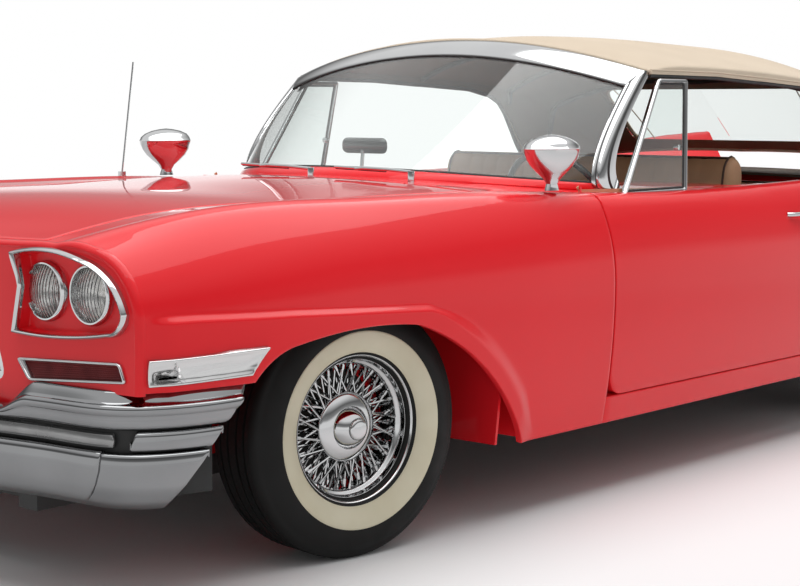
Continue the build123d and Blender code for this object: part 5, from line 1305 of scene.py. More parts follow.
# Side ducts: a rounded bright frame under each eye with a dark red woven-wire screen set back in it.
# The frame is a plated die casting held by studs; the screen is enamelled wire on a backing plate.
tube_tree = bpy.data.node_groups.new("tubes_on_edges", "GeometryNodeTree")
TUBE = {
    "Lines": tree_socket(tube_tree, "Lines", "Geometry"),
    "Radius": tree_socket(tube_tree, "Radius", "Float", 0.002),
    "Sides": tree_socket(tube_tree, "Sides", "Int", 8),
    "Finish": tree_socket(tube_tree, "Finish", "Material"),
}
tube_tree.interface.new_socket("Tubes", in_out="OUTPUT", socket_type="NodeSocketGeometry")
tube_in = tube_tree.nodes.new("NodeGroupInput")
tube_out = tube_tree.nodes.new("NodeGroupOutput")
to_curve = tube_tree.nodes.new("GeometryNodeMeshToCurve")
circle = tube_tree.nodes.new("GeometryNodeCurvePrimitiveCircle")
to_mesh = tube_tree.nodes.new("GeometryNodeCurveToMesh")
to_mesh.inputs["Fill Caps"].default_value = True
tube_real = tube_tree.nodes.new("GeometryNodeRealizeInstances")
tube_coat = tube_tree.nodes.new("GeometryNodeSetMaterial")
wire(
    tube_tree,
    (tube_in, "Lines", to_curve, "Mesh"),
    (tube_in, "Radius", circle, "Radius"),
    (tube_in, "Sides", circle, "Resolution"),
    (to_curve, 0, to_mesh, "Curve"),
    (circle, 0, to_mesh, "Profile Curve"),
    (to_mesh, 0, tube_real, 0),
    (tube_real, 0, tube_coat, "Geometry"),
    (tube_in, "Finish", tube_coat, "Material"),
    (tube_coat, 0, tube_out, 0),
)


def tubes(name, verts, edges, radius, finish, sides=8):
    """Round tubes along the edges of a wire drawing, as a plain mesh."""
    mesh = bpy.data.meshes.new(name)
    mesh.from_pydata([tuple(map(float, v)) for v in verts], [tuple(map(int, e)) for e in edges], [])
    made = bpy.data.objects.new(name, mesh)
    scene.collection.objects.link(made)
    step = made.modifiers.new("tubes", "NODES")
    step.node_group = tube_tree
    step[TUBE["Radius"]] = radius
    step[TUBE["Sides"]] = sides
    step[TUBE["Finish"]] = finish
    settle(made, finish, 50.0)
    return made


def cord(name, line, radius, finish, sides=8, closed=False):
    """One tube along a line of points, run back to its start if closed."""
    count = len(line)
    edges = [(i, i + 1) for i in range(count - 1)]
    return tubes(name, line, edges + [(count - 1, 0)] if closed else edges, radius, finish, sides)


screen_red = mottled("dark_red_mesh", (0.20, 0.008, 0.010), (0.13, 0.005, 0.007), 20.0, (0.35, 0.55))
DUCT_PROFILE = [
    (0.0, -0.002), (0.0, 0.005), (0.0015, 0.008), (0.0045, 0.0085), (0.0070, 0.006), (0.0078, -0.012),
    (0.0060, -0.014),
]
SCREEN_CELLS = (52, 9)
duct_frames, duct_nets = [], []
for sign in (1, -1):
    flip = np.array([1, sign, 1])
    duct_frames.append(
        shaped("duct_frame", *wrapped(nose_ring(duct_outline, DUCT_PROFILE) * flip), chrome, sharp=60.0)
    )
    u, v = np.meshgrid(np.linspace(0, 1, SCREEN_CELLS[0]), np.linspace(0, 1, SCREEN_CELLS[1]), indexing="ij")
    weights = ((1 - u) * (1 - v), u * (1 - v), u * v, (1 - u) * v)
    flat = sum(w[..., None] * corner for w, corner in zip(weights, inset(np.array(DUCT), 0.006)))
    net = np.concatenate([(nose_face_x(flat[..., 0]) - 0.009)[..., None], flat], -1) * flip
    knots = np.arange(net.shape[0] * net.shape[1]).reshape(SCREEN_CELLS)
    for lines in (knots, knots.T):
        edges = [pair for line in lines for pair in zip(line, line[1:])]
        duct_nets.append(tubes("net_wires", net.reshape(-1, 3), edges, 0.0016, screen_red, 5))
    plate, plate_faces = oriented(net - [0.005, 0, 0], np.array([1.0, 0, 0]))
    duct_nets.append(shaped("net_back", plate, plate_faces, screen_red, thickness=0.003, orient=False))
mount(joined("duct_nets", duct_nets), "body", "dark_red_mesh", "duct_screens")

# Side strips: thin bright channels that carry the duct line round to the wheel opening, rimmed and dished.
# They are rolled from stainless sheet and clipped on, with a small clear marker lamp at the front end.
STRIP = np.array([
    (NOSE_X - 0.066, 0.573), (NOSE_X - 0.066, 0.633),
    (FRONT_AXLE + 0.476, 0.640), (FRONT_AXLE + 0.530, 0.578),
])
MARKER = [(-0.074, 0.577), (-0.074, 0.606), (-0.132, 0.608), (-0.138, 0.594), (-0.130, 0.579)]
MARKER_PROFILE = [(0.0, -0.001), (0.0, 0.007), (0.002, 0.0095), (0.006, 0.0115), (0.012, 0.0125)]
STRIP_PROUD = 0.013


def fender_y(x, z):
    """Half width of the fender's side with its ledge at x, z."""
    column = int(np.argmin(np.abs(fender[0, :, 0] - x)))
    line = fender[:42, column]
    return float(np.interp(z, line[:, 2], line[:, 1]))


strips = []
strip_columns, strip_rows = 44, 15
strip_grid = np.zeros((strip_rows, strip_columns, 3))
for r, v in enumerate(np.linspace(0, 1, strip_rows)):
    for c, u in enumerate(np.linspace(0, 1, strip_columns)):
        start = STRIP[0] * (1 - v) + STRIP[1] * v
        end = STRIP[3] * (1 - v) + STRIP[2] * v
        x, z = start * (1 - u) + end * u
        border = min(v, 1 - v, u * 4.5, (1 - u) * 4.5)
        sink = 0.0045 * min(1.0, max(0.0, (border - 0.06) / 0.09)) + 0.003 * math.sin(math.pi * v)
        strip_grid[r, c] = (x, fender_y(x, z) + STRIP_PROUD - sink, z)
strip_grid[..., 1] = evened(strip_grid[..., 1].T, 12).T
strip_line = strip_grid[5, ::-1, :2]
satin = mottled(
    "satin_bright", (0.66, 0.66, 0.66), (0.58, 0.58, 0.58), 3.0, (0.16, 0.26), 300.0, 0.03, 0.0004,
    Metallic=1.0
)
for side, sign in SIDES:
    strips.append(panel("strip", strip_grid * [1, sign, 1], (0, sign, 0), satin, depth=0.012, radius=0.0015))
    marker_grid = carried(rounded(np.array(MARKER) + [NOSE_X, 0], 0.008), MARKER_PROFILE, lambda x, z, out: (
        x, sign * (np.interp(x, strip_line[:, 0], strip_line[:, 1]) + out), z))
    marker = shaped("marker_lamp_" + side, *capped(marker_grid), sealed_glass, sharp=60.0)
    mount(marker, "body", "lamp_glass")
mount(joined("front_brightwork", strips + duct_frames, 60.0), "body", "chrome", "front_trim")

# Front bumper: plated steel blades, an upper rolled blade, a thin blade at each side and a deep lower blade.
# Dark gaps part them; on the front a recess holds a frosted lamp bar, and a plate covers the lower blade.
BAND = [(0.505, -0.966), (0.700, -0.944), (0.838, -0.850), (0.882, -0.640), (0.928, -0.330), (0.948, 0.0)]
BAND = BAND + [(x, -y) for x, y in BAND[-2::-1]]
band_points = np.array(BAND)
band_chord = run_lengths(band_points)
band_s = np.linspace(0, band_chord[-1], 1201)
band_xy = np.stack([smooth_line(band_chord, band_points[:, k])(band_s) for k in (0, 1)], 1)
band_along = unit(np.gradient(band_xy, axis=0))
band_out = np.stack([band_along[:, 1], -band_along[:, 0]], 1)
END_CUT = np.array([(0.262, 0.760), (0.338, 0.704), (0.560, 0.516)])
UPPER_LEVELS = [
    (0.466, -0.030), (0.466, -0.012), (0.470, -0.0045), (0.478, -0.0005), (0.490, 0.0010), (0.499, 0.0010),
    (0.502, 0.0035), (0.508, 0.0080), (0.515, 0.0090), (0.521, 0.0070), (0.5255, 0.0015), (0.528, -0.0045),
    (0.534, -0.0085), (0.542, -0.0120), (0.549, -0.0170), (0.5535, -0.0200), (0.556, -0.0235),
    (0.556, -0.034)
]
THIN_LEVELS = [
    (0.414, -0.030), (0.414, -0.011), (0.417, -0.0065), (0.424, -0.005), (0.448, -0.005), (0.455, -0.0065),
    (0.458, -0.011), (0.458, -0.030)
]
LOWER_LEVELS = [
    (0.266, -0.050), (0.268, -0.038), (0.290, -0.022), (0.312, -0.009), (0.322, -0.0045), (0.328, -0.003),
    (0.345, -0.0015), (0.380, 0.000), (0.398, -0.001), (0.404, -0.004), (0.406, -0.010), (0.406, -0.032)
]
PLATE_LEVELS = [
    (0.276, -0.026), (0.288, -0.010), (0.305, -0.0005), (0.330, 0.004), (0.365, 0.0065), (0.395, 0.006),
    (0.406, 0.003), (0.410, -0.004), (0.410, -0.02)
]
DIP_Z, DIP_Y, DIP_RISE_Y = 0.492, 0.455, 0.565


def end_s(z):
    """Path length at which the slanted end cuts the band at height z."""
    x = np.interp(z, END_CUT[:, 0], END_CUT[:, 1])
    return float(np.interp(x, band_xy[:600, 0], band_s[:600]))


def band_at(s, z, out):
    xy = np.stack([np.interp(s, band_s, band_xy[:, k]) for k in (0, 1)], 1)
    normal = np.stack([np.interp(s, band_s, band_out[:, k]) for k in (0, 1)], 1)
    xy = xy + normal * np.asarray(out)[..., None]
    return np.stack([FRONT_AXLE + xy[:, 0], xy[:, 1], np.broadcast_to(z, len(s))], 1)


def blade(levels, start=None, stop=None, count=150):
    """Grid of a blade along the band; it runs to the slanted ends unless a start or stop is given."""
    made = []
    for z, out in levels:
        first = end_s(z) if start is None else start(z)
        last = band_s[-1] - end_s(z) if stop is None else stop(z)
        made.append(band_at(np.linspace(first, last, count), z, np.full(count, out)))
    return np.array(made)


def dip(grid):
    """Lowers the top of the upper blade in the middle of the car."""
    low = UPPER_LEVELS[0][0]
    y = np.abs(grid[..., 1])
    rise = np.clip((y - DIP_Y) / (DIP_RISE_Y - DIP_Y), 0, 1)
    rise = rise * rise * (3 - 2 * rise)
    top = DIP_Z + (UPPER_LEVELS[-1][0] - DIP_Z) * rise
    share = (grid[..., 2] - low) / (UPPER_LEVELS[-1][0] - low)
    grid[..., 2] = low + share * (top - low)
    return grid


def left_s(y):
    """Path length at which the left half of the band stands y from the middle."""
    return float(np.interp(y, band_xy[600:, 1], band_s[600:]))


corner_s = left_s(0.872)
plate_s = left_s(0.800)
total_s = band_s[-1]
# The bumper plating is a darker copy of the chrome: painted shade standing for the dark ground that the
# blades mirror.
bumper_chrome = mottled(
    "bumper_chrome", (0.31, 0.314, 0.32), (0.25, 0.253, 0.258), 2.2, (0.03, 0.07), 260.0, 0.012, 0.0004,
    Metallic=1.0
)
bumper_dark = mottled("bumper_shadow", (0.012, 0.012, 0.012), (0.02, 0.02, 0.02), 8.0, (0.5, 0.8))
blades = [
    panel(
        "upper_blade", dip(blade(UPPER_LEVELS, count=220)), (1, 0, 0), bumper_chrome, (0, 0, 1, 1),
        depth=0.02
    )
]
for sign in (1, -1):
    side_grid_thin = blade(THIN_LEVELS, lambda z: corner_s + (z - 0.436) * 0.35, None, 60)
    blades.append(
        panel(
            "thin_blade", side_grid_thin * [1, sign, 1], (0.3, sign, 0), bumper_chrome, (0, 0, 1, 1),
            depth=0.02
        )
    )
blades.append(
    panel("lower_blade", blade(LOWER_LEVELS, count=180), (1, 0, 0), bumper_chrome, (0, 0, 1, 1), depth=0.02)
)


def plate_reach(z):
    """Rounded end of the lower plate at height z."""
    share = np.clip((0.410 - z) / 0.134, 0, 1)
    return 0.085 * (1 - math.sqrt(max(1 - share * share, 0.0)))


plate_grid = blade(
    PLATE_LEVELS, lambda z: total_s - plate_s + plate_reach(z), lambda z: plate_s - plate_reach(z), 120
)
blades.append(panel("lower_plate", plate_grid, (1, 0, 0), bumper_chrome, (0, 0, 1, 1), depth=0.012))
backing_levels = [(0.300, -0.046), (0.300, -0.030), (0.540, -0.030), (0.540, -0.046)]
backing_grid = blade(backing_levels, lambda z: 0.12, lambda z: total_s - 0.12, 120)
backing = shaped(
    "bumper_backing", *oriented(backing_grid, np.array([1.0, 0, 0])), bumper_dark, thickness=0.003,
    orient=False
)
for vertex in backing.data.vertices:
    if abs(vertex.co.y) < DIP_RISE_Y + 0.03:
        vertex.co.z = min(vertex.co.z, 0.470)
frosted = mottled(
    "frosted_bar", (0.30, 0.30, 0.30), (0.22, 0.22, 0.22), 14.0, (0.12, 0.3), 90.0, 0.3, 0.002,
    Metallic=0.6, Coat_Weight=1.0
)
bar_levels = [
    (0.420, -0.026), (0.422, -0.016), (0.430, -0.0115), (0.440, -0.011), (0.450, -0.015), (0.453, -0.026)
]
bars = []
for sign in (1, -1):
    first, last = left_s(0.30), left_s(0.83)
    grid = blade(
        bar_levels, lambda z: first + 0.4 * abs(z - 0.436), lambda z: last - 0.4 * abs(z - 0.436), 50
    )
    bars.append(panel("lamp_bar", grid * [1, sign, 1], (1, 0, 0), frosted, (0, 0, 1, 1), depth=0.008))
mount(joined("bumper_blades", blades, 50.0), "body", "chrome", "front_bumper")
mount(joined("bumper_recess", [backing, *bars]), "body", "black_steel")

# Windshield: a deeply curved laminated pane in black rubber, set in a plated frame with a wide header.
# Three bright mouldings and a painted foot frame it; the seal runs all round between them and the glass.
GLASS_FOOT_X = FRONT_AXLE - 0.760
FRAME_FOOT_Y, FRAME_TOP_Y = 0.825, 0.795
HEADER_END_Z, HEADER_Z = 1.345, 1.462
FRAME_HEADER = 0.052


def screen_point(y, z, depth):
    """Point on the curved screen at front-view place (y, z), `depth` behind its outer face."""
    radius = 0.980 + 1.756 * (z - 0.990)
    centre = GLASS_FOOT_X - 1.39 * (z - 0.990) - radius
    return np.stack([centre + np.sqrt((radius - depth) ** 2 - y * y), y, z], -1)


def between(first, last, profile):
    """Grid between two front-view lines; profile rows are (share, depth)."""
    made = []
    for share, depth in profile:
        flat = first * (1 - share) + last * share
        made.append(screen_point(flat[:, 0], flat[:, 1], depth))
    return np.array(made)


GLASS_STEPS = 81
pane_low = arc((-0.795, 0.985), (0.0, 1.026), (0.795, 0.985), GLASS_STEPS)
pane_top = arc(
    (-0.765, HEADER_END_Z - FRAME_HEADER), (0.0, HEADER_Z - FRAME_HEADER),
    (0.765, HEADER_END_Z - FRAME_HEADER), GLASS_STEPS
)
header_top = arc((-FRAME_TOP_Y, HEADER_END_Z), (0.0, HEADER_Z), (FRAME_TOP_Y, HEADER_END_Z), GLASS_STEPS)
HEADER_PROFILE = [
    (-0.04, 0.012), (0.0, 0.003), (0.10, -0.003), (0.30, -0.0085), (0.58, -0.0105), (0.82, -0.0085),
    (0.96, -0.002), (1.0, 0.006), (1.0, 0.030)
]
PILLAR_PROFILE = [
    (0.0, 0.012), (0.04, 0.002), (0.14, -0.004), (0.30, -0.006), (0.36, -0.003), (0.42, -0.003),
    (0.48, -0.006), (0.80, -0.006), (0.95, -0.001), (1.0, 0.008), (1.0, 0.030)
]
FOOT_PROFILE = [(0.0, 0.012), (0.06, 0.002), (0.3, -0.003), (0.7, -0.003), (1.0, 0.006)]


def see_through(name, tint, shade=0.92, roughness=0.0):
    """Clear glass that lets light through to what stands behind it."""
    made = bpy.data.materials.new(name)
    made.use_nodes = True
    tree = made.node_tree
    shader = tree.nodes["Principled BSDF"]
    shader.inputs["Base Color"].default_value = (*tint, 1.0)
    shader.inputs["Transmission Weight"].default_value = 1.0
    shader.inputs["Roughness"].default_value = roughness
    shader.inputs["IOR"].default_value = 1.45
    clear = tree.nodes.new("ShaderNodeBsdfTransparent")
    clear.inputs["Color"].default_value = (tint[0] * shade, tint[1] * shade, tint[2] * shade, 1.0)
    mixed = tree.nodes.new("ShaderNodeMixShader")
    link(tree, ray_is(tree, "Is Shadow Ray"), mixed.inputs[0])
    wire(
        tree,
        (shader, 0, mixed, 1),
        (clear, 0, mixed, 2),
        (mixed, 0, tree.nodes["Material Output"], "Surface"),
    )
    return made


screen_glass = see_through("screen_glass", (0.93, 0.975, 0.96))
pane_rows = [(share, 0.010) for share in np.linspace(-0.03, 1.03, 30)]
pane_mesh = oriented(between(pane_low, pane_top, pane_rows), np.array([1.0, 0, 0.5]))
pane = shaped("windshield_pane", *pane_mesh, screen_glass, thickness=0.006, orient=False, sharp=60.0)
mount(pane, "body", "clear_glass", "windshield_glass")
seal_rubber = mottled(
    "seal_rubber", (0.012, 0.012, 0.012), (0.02, 0.02, 0.02), 30.0, (0.45, 0.65), 400.0, 0.1
)
frame_parts = [
    panel(
        "header", between(pane_top, header_top, HEADER_PROFILE), (1, 0, 0.6), chrome, (0, 0, 1, 1),
        depth=0.025
    )
]
foot_line = pane_low * [1.015, 1] - [0, 0.030]
frame_parts.append(
    panel(
        "foot", between(pane_low, foot_line, FOOT_PROFILE), (1, 0, 0.5), red_enamel, (0, 0, 1, 1),
        depth=0.01
    )
)
seal_parts = []
for sign in (1, -1):
    inner = np.linspace((0.795, 0.985), (0.765, HEADER_END_Z - FRAME_HEADER), 40)
    outer = np.linspace((FRAME_FOOT_Y + 0.004, 0.955), (FRAME_TOP_Y + 0.001, HEADER_END_Z), 40)
    pillar_grid = between(inner * [sign, 1], outer * [sign, 1], PILLAR_PROFILE)
    frame_parts.append(panel("pillar", pillar_grid, (0.6, sign, 0.2), chrome, (0, 0, 1, 1), depth=0.02))
    for share, depth, radius in ((0.39, -0.0035, 0.0035), (1.0, 0.006, 0.005)):
        flat = (inner * (1 - share) + outer * share) * [sign, 1]
        seal_parts.append(cord("pillar_line", screen_point(*flat.T, depth), radius, seal_rubber))
right_side = np.linspace(pane_low[-1], pane_top[-1], 40)[1:-1]
left_side = np.linspace(pane_top[0], pane_low[0], 40)[1:-1]
edge_flat = np.concatenate([pane_low, right_side, pane_top[::-1], left_side])
seal_parts.append(cord("pane_seal", screen_point(*edge_flat.T, 0.0075), 0.006, seal_rubber, closed=True))
lip = header_top * [0.99, 1] - [0, 0.055]
seal_parts.append(cord("header_lip", screen_point(*lip.T, -0.001), 0.0035, seal_rubber))
inner_rows = [(share, 0.032) for share in (-0.25, 0.2, 0.6, 1.0)]
dark_trim = mottled("dark_trim", (0.10, 0.065, 0.045), (0.08, 0.05, 0.035), 6.0, (0.6, 0.8))
lining_mesh = oriented(between(pane_top, header_top, inner_rows), np.array([-1.0, 0, -0.5]))
seal_parts.append(shaped("header_lining", *lining_mesh, dark_trim, thickness=0.002, orient=False))
mount(joined("screen_frame", frame_parts, 50.0), "body", "chrome", "windshield_frame")
mount(joined("screen_seal", seal_parts), "body", "black_plastic")

# Vent windows: small panes in slim plated frames on the doors, with a rubber seal and a latch knob.
# The frames are cast in one ring and screwed to the door; the flat glass is bedded in the seal.
VENT = [
    (FRONT_AXLE - 1.258, 0.940), (FRONT_AXLE - 1.515, 1.322), (FRONT_AXLE - 1.694, 1.322),
    (FRONT_AXLE - 1.640, 0.940)
]
VENT_PROFILE = [
    (0.0, -0.007), (0.0, 0.005), (0.003, 0.009), (0.011, 0.009), (0.0145, 0.005), (0.0145, -0.007),
    (0.011, -0.010), (0.003, -0.010),
]
VENT_SEAL = (0.017, 0.0)


def vent_y(z):
    """Middle plane of the vent window, leaning in to the top."""
    return np.interp(z, [0.940, 1.330], [0.852, 0.813])


vent_outline = rounded(VENT, 0.016)
for side, sign in SIDES:
    vent_rows = carried(
        vent_outline, [*VENT_PROFILE, VENT_SEAL], lambda x, z, out: (x, sign * (vent_y(z) + out), z)
    )
    vent_parts = [shaped("vent_frame", *wrapped(vent_rows[:-1]), chrome, sharp=50.0)]
    vent_parts.append(cord("vent_seal", vent_rows[-1], 0.0042, seal_rubber, closed=True))
    knob = np.array([FRONT_AXLE - 1.630, sign * (vent_y(1.09) - 0.006), 1.09])
    vent_parts.append(
        shaped("vent_latch", *bar(knob, knob - [0, sign * 0.020, 0], 0.011, 16), chrome, bevel=0.002)
    )
    mount(joined("vent_frame_" + side, vent_parts, 50.0), "door_" + side, "chrome", "vent_window_" + side)
    flat, flat_faces = filled(inset(vent_outline, 0.013), [], 0.05)
    verts = np.stack([flat[:, 0], sign * (vent_y(flat[:, 1]) + 0.002), flat[:, 1]], 1)
    pane_faces = faced(verts, flat_faces, (0, sign, 0))
    pane = shaped("vent_pane_" + side, verts, pane_faces, screen_glass, thickness=0.005, orient=False)
    mount(pane, "door_" + side, "clear_glass", "vent_glass_" + side)

# Soft top: woven canvas drawn over folding bows, bound at its edges, with a lining and a clear rear window.
# It is clamped to the header at the front, tacked to the rear bow and seated on a rubber weatherstrip.
TOP_SECTIONS = np.array([
    (FRONT_AXLE - 1.300, 0.842, 0.796, 1.362, 1.460), (FRONT_AXLE - 1.900, 0.848, 0.806, 1.362, 1.472),
    (FRONT_AXLE - 2.500, 0.850, 0.806, 1.332, 1.458), (REAR_AXLE + 0.330, 0.849, 0.794, 1.290, 1.424),
    (REAR_AXLE + 0.190, 0.846, 0.784, 1.256, 1.378), (REAR_AXLE - 0.260, 0.800, 0.700, 1.000, 1.024)])[::-1]
top_columns = [smooth_line(TOP_SECTIONS[:, 0], TOP_SECTIONS[:, k]) for k in range(1, 5)]
TOP_FOOT_Z = 0.944
WINDOW_LINE = np.array(
    [
        *(
            (REAR_AXLE + x, z)
            for x, z in (
                (0.180, 0.944), (0.250, 0.980), (0.330, 1.062), (0.400, 1.150), (0.440, 1.200),
                (0.490, 1.246), (0.560, 1.276)
            )
        ),
        *((FRONT_AXLE - x, z) for x, z in ((2.500, 1.302), (1.900, 1.332), (1.200, 1.339))),
    ]
)
TOP_ROWS = (22, 34)
SEAM_ROW = TOP_ROWS[0] + 14


def top_profile(x):
    """Half section of the canvas at x from its lower edge over the rail to the crown."""
    foot_y, rail_y, rail_z, crown_z = (column(x) for column in top_columns)
    low_z = max(float(np.interp(x, WINDOW_LINE[:, 0], WINDOW_LINE[:, 1])), TOP_FOOT_Z)
    low_z = min(low_z, rail_z - 0.012)
    low_y = np.interp(low_z, [0.925, rail_z], [foot_y, rail_y])
    roof = arc((rail_y, rail_z), (0.62 * rail_y, 0.22 * rail_z + 0.78 * crown_z), (0.0, crown_z), 120)
    line = np.concatenate([np.linspace((low_y, low_z), (rail_y, rail_z), 60, endpoint=False), roof])
    line[:, 1] = np.maximum(line[:, 1], low_z)
    soft_line = evened(line, 40)
    share = np.concatenate(
        [np.linspace(0, 59, TOP_ROWS[0], endpoint=False), np.linspace(59, 179, TOP_ROWS[1])]
    )
    return np.stack([np.interp(share, np.arange(180), soft_line[:, k]) for k in (0, 1)], 1)


top_rear_x = REAR_AXLE - 0.255
front_line = top_profile(FRONT_AXLE - 1.36)
front_z = np.interp(front_line[:, 0], header_top[GLASS_STEPS // 2:, 0], header_top[GLASS_STEPS // 2:, 1])
front_x = screen_point(front_line[:, 0], front_z, 0.020)[:, 0]
canvas_columns = []
for share in np.concatenate([np.linspace(0, 0.55, 46, endpoint=False), np.linspace(0.55, 1, 60)]):
    x_row = front_x + (top_rear_x - front_x) * share
    points = np.array([(x, *top_profile(x)[k]) for k, x in enumerate(x_row)]) if share < 0.35 else None
    if points is None:
        x = float(x_row.mean())
        points = np.concatenate([x_row[:, None], top_profile(x)], 1)
    points[-1, 1] = 0.0
    pull = max(0.0, 1 - share / 0.10) ** 2
    seat_z = np.interp(points[:, 1], header_top[GLASS_STEPS // 2:, 0], header_top[GLASS_STEPS // 2:, 1])
    drop = np.maximum(points[:, 2] - seat_z, 0)
    points[:, 2] -= pull * drop
    canvas_columns.append(np.concatenate([points, mirror_grid(points[-2::-1])]))
canvas_grid = np.array(canvas_columns).swapaxes(0, 1)

weave = bpy.data.node_groups.new("weave", "ShaderNodeTree")
weave.interface.new_socket("Threads", in_out="INPUT", socket_type="NodeSocketFloat")
weave.interface.new_socket("Height", in_out="OUTPUT", socket_type="NodeSocketFloat")
weave_in = weave.nodes.new("NodeGroupInput")
weave_out = weave.nodes.new("NodeGroupOutput")
weave_place = weave.nodes.new("ShaderNodeTexCoord")
heights = []
for axis in ("X", "Y"):
    threads = weave.nodes.new("ShaderNodeTexWave")
    threads.bands_direction = axis
    threads.inputs["Distortion"].default_value = 0.4
    link(weave, weave_place.outputs["Object"], threads.inputs["Vector"])
    link(weave, weave_in.outputs["Threads"], threads.inputs["Scale"])
    heights.append(threads.outputs["Fac"])
crossing = weave.nodes.new("ShaderNodeMath")
crossing.operation = "MULTIPLY"
link(weave, heights[0], crossing.inputs[0])
link(weave, heights[1], crossing.inputs[1])
link(weave, crossing.outputs[0], weave_out.inputs["Height"])


def woven(name, light, dark, grain, threads, strength=0.5, **sockets):
    """Cloth: a mottled colour under a woven relief."""
    made = mottled(name, light, dark, grain, (0.82, 0.95), **sockets)
    tree = made.node_tree
    cloth = tree.nodes.new("ShaderNodeGroup")
    cloth.node_tree = weave
    cloth.inputs["Threads"].default_value = threads
    relief = next(node for node in tree.nodes if node.bl_idname == "ShaderNodeBump")
    relief.inputs["Strength"].default_value = strength
    relief.inputs["Distance"].default_value = 0.0008
    link(tree, cloth.outputs["Height"], relief.inputs["Height"])
    return made


canvas = woven("beige_canvas", (0.60, 0.495, 0.375), (0.55, 0.45, 0.34), 2.5, 260.0, 0.4, Sheen_Weight=0.15)
lining = woven("brown_lining", (0.20, 0.125, 0.075), (0.16, 0.10, 0.06), 4.0, 300.0)


def canvas_wall(made):
    step = made.modifiers.new("canvas", "SOLIDIFY")
    step.thickness = 0.004
    step.offset = -1.0


REAR_WINDOW = rounded([(-0.5, 1.075), (0.5, 1.075), (0.5, 1.300), (-0.5, 1.300)], 0.05)


def window_cut(made):
    verts = [(x, y, z) for x in (REAR_AXLE - 0.5, REAR_AXLE + 0.20) for y, z in REAR_WINDOW]
    count = len(REAR_WINDOW)
    faces = [(i, (i + 1) % count, count + (i + 1) % count, count + i) for i in range(count)]
    faces += [tuple(range(count))[::-1], tuple(range(count, 2 * count))]
    cutter = shaped("window_cutter", verts, faces, None)
    cutter.hide_render = True
    step = made.modifiers.new("window", "BOOLEAN")
    step.object = cutter
    step.operation = "DIFFERENCE"
    step.solver = "EXACT"


def cloth_piece(name, grid, finish):
    verts, faces = oriented(grid, np.array([0, 0, 1.0]))
    made = shaped(name, verts, faces, finish, orient=False, sharp=60.0, modifiers=[canvas_wall, window_cut])
    bpy.data.objects.remove(bpy.data.objects["window_cutter"])
    return made


top_normals = grid_normals(canvas_grid, np.array([0, 0, 1.0]))
top_cloth = cloth_piece("canvas_top", canvas_grid, canvas)
mount(top_cloth, "body", "beige_canvas", "soft_top")
head_lining = cloth_piece("head_lining", (canvas_grid[3:-3] - 0.011 * top_normals[3:-3])[::2, ::2], lining)
mount(head_lining, "body", "beige_canvas")
strip_parts = []
for sign in (1, -1):
    edge = canvas_grid[0] * [1, sign, 1]
    strip_parts.append(cord("weatherstrip", edge - [0, sign * 0.006, 0.004], 0.009, seal_rubber, 10))
    strip_parts.append(cord("edge_binding", edge + [0, sign * 0.001, 0.014], 0.0035, canvas))
    top_seam = (canvas_grid[SEAM_ROW] + 0.0005 * top_normals[SEAM_ROW]) * [1, sign, 1]
    strip_parts.append(cord("roof_seam", top_seam[2:-4], 0.0026, canvas))
strip_parts.append(cord("front_binding", canvas_grid[:, 0] + 0.002 * top_normals[:, 0], 0.005, canvas))
strip_parts.append(cord("rear_binding", canvas_grid[:, -1], 0.006, canvas))
for column in (30, 60, 80):
    bow = canvas_grid[:, column] - 0.020 * top_normals[:, column]
    strip_parts.append(cord("bow", bow[10:-10], 0.010, black_enamel))
mount(joined("top_bindings", strip_parts), "body", "beige_canvas")

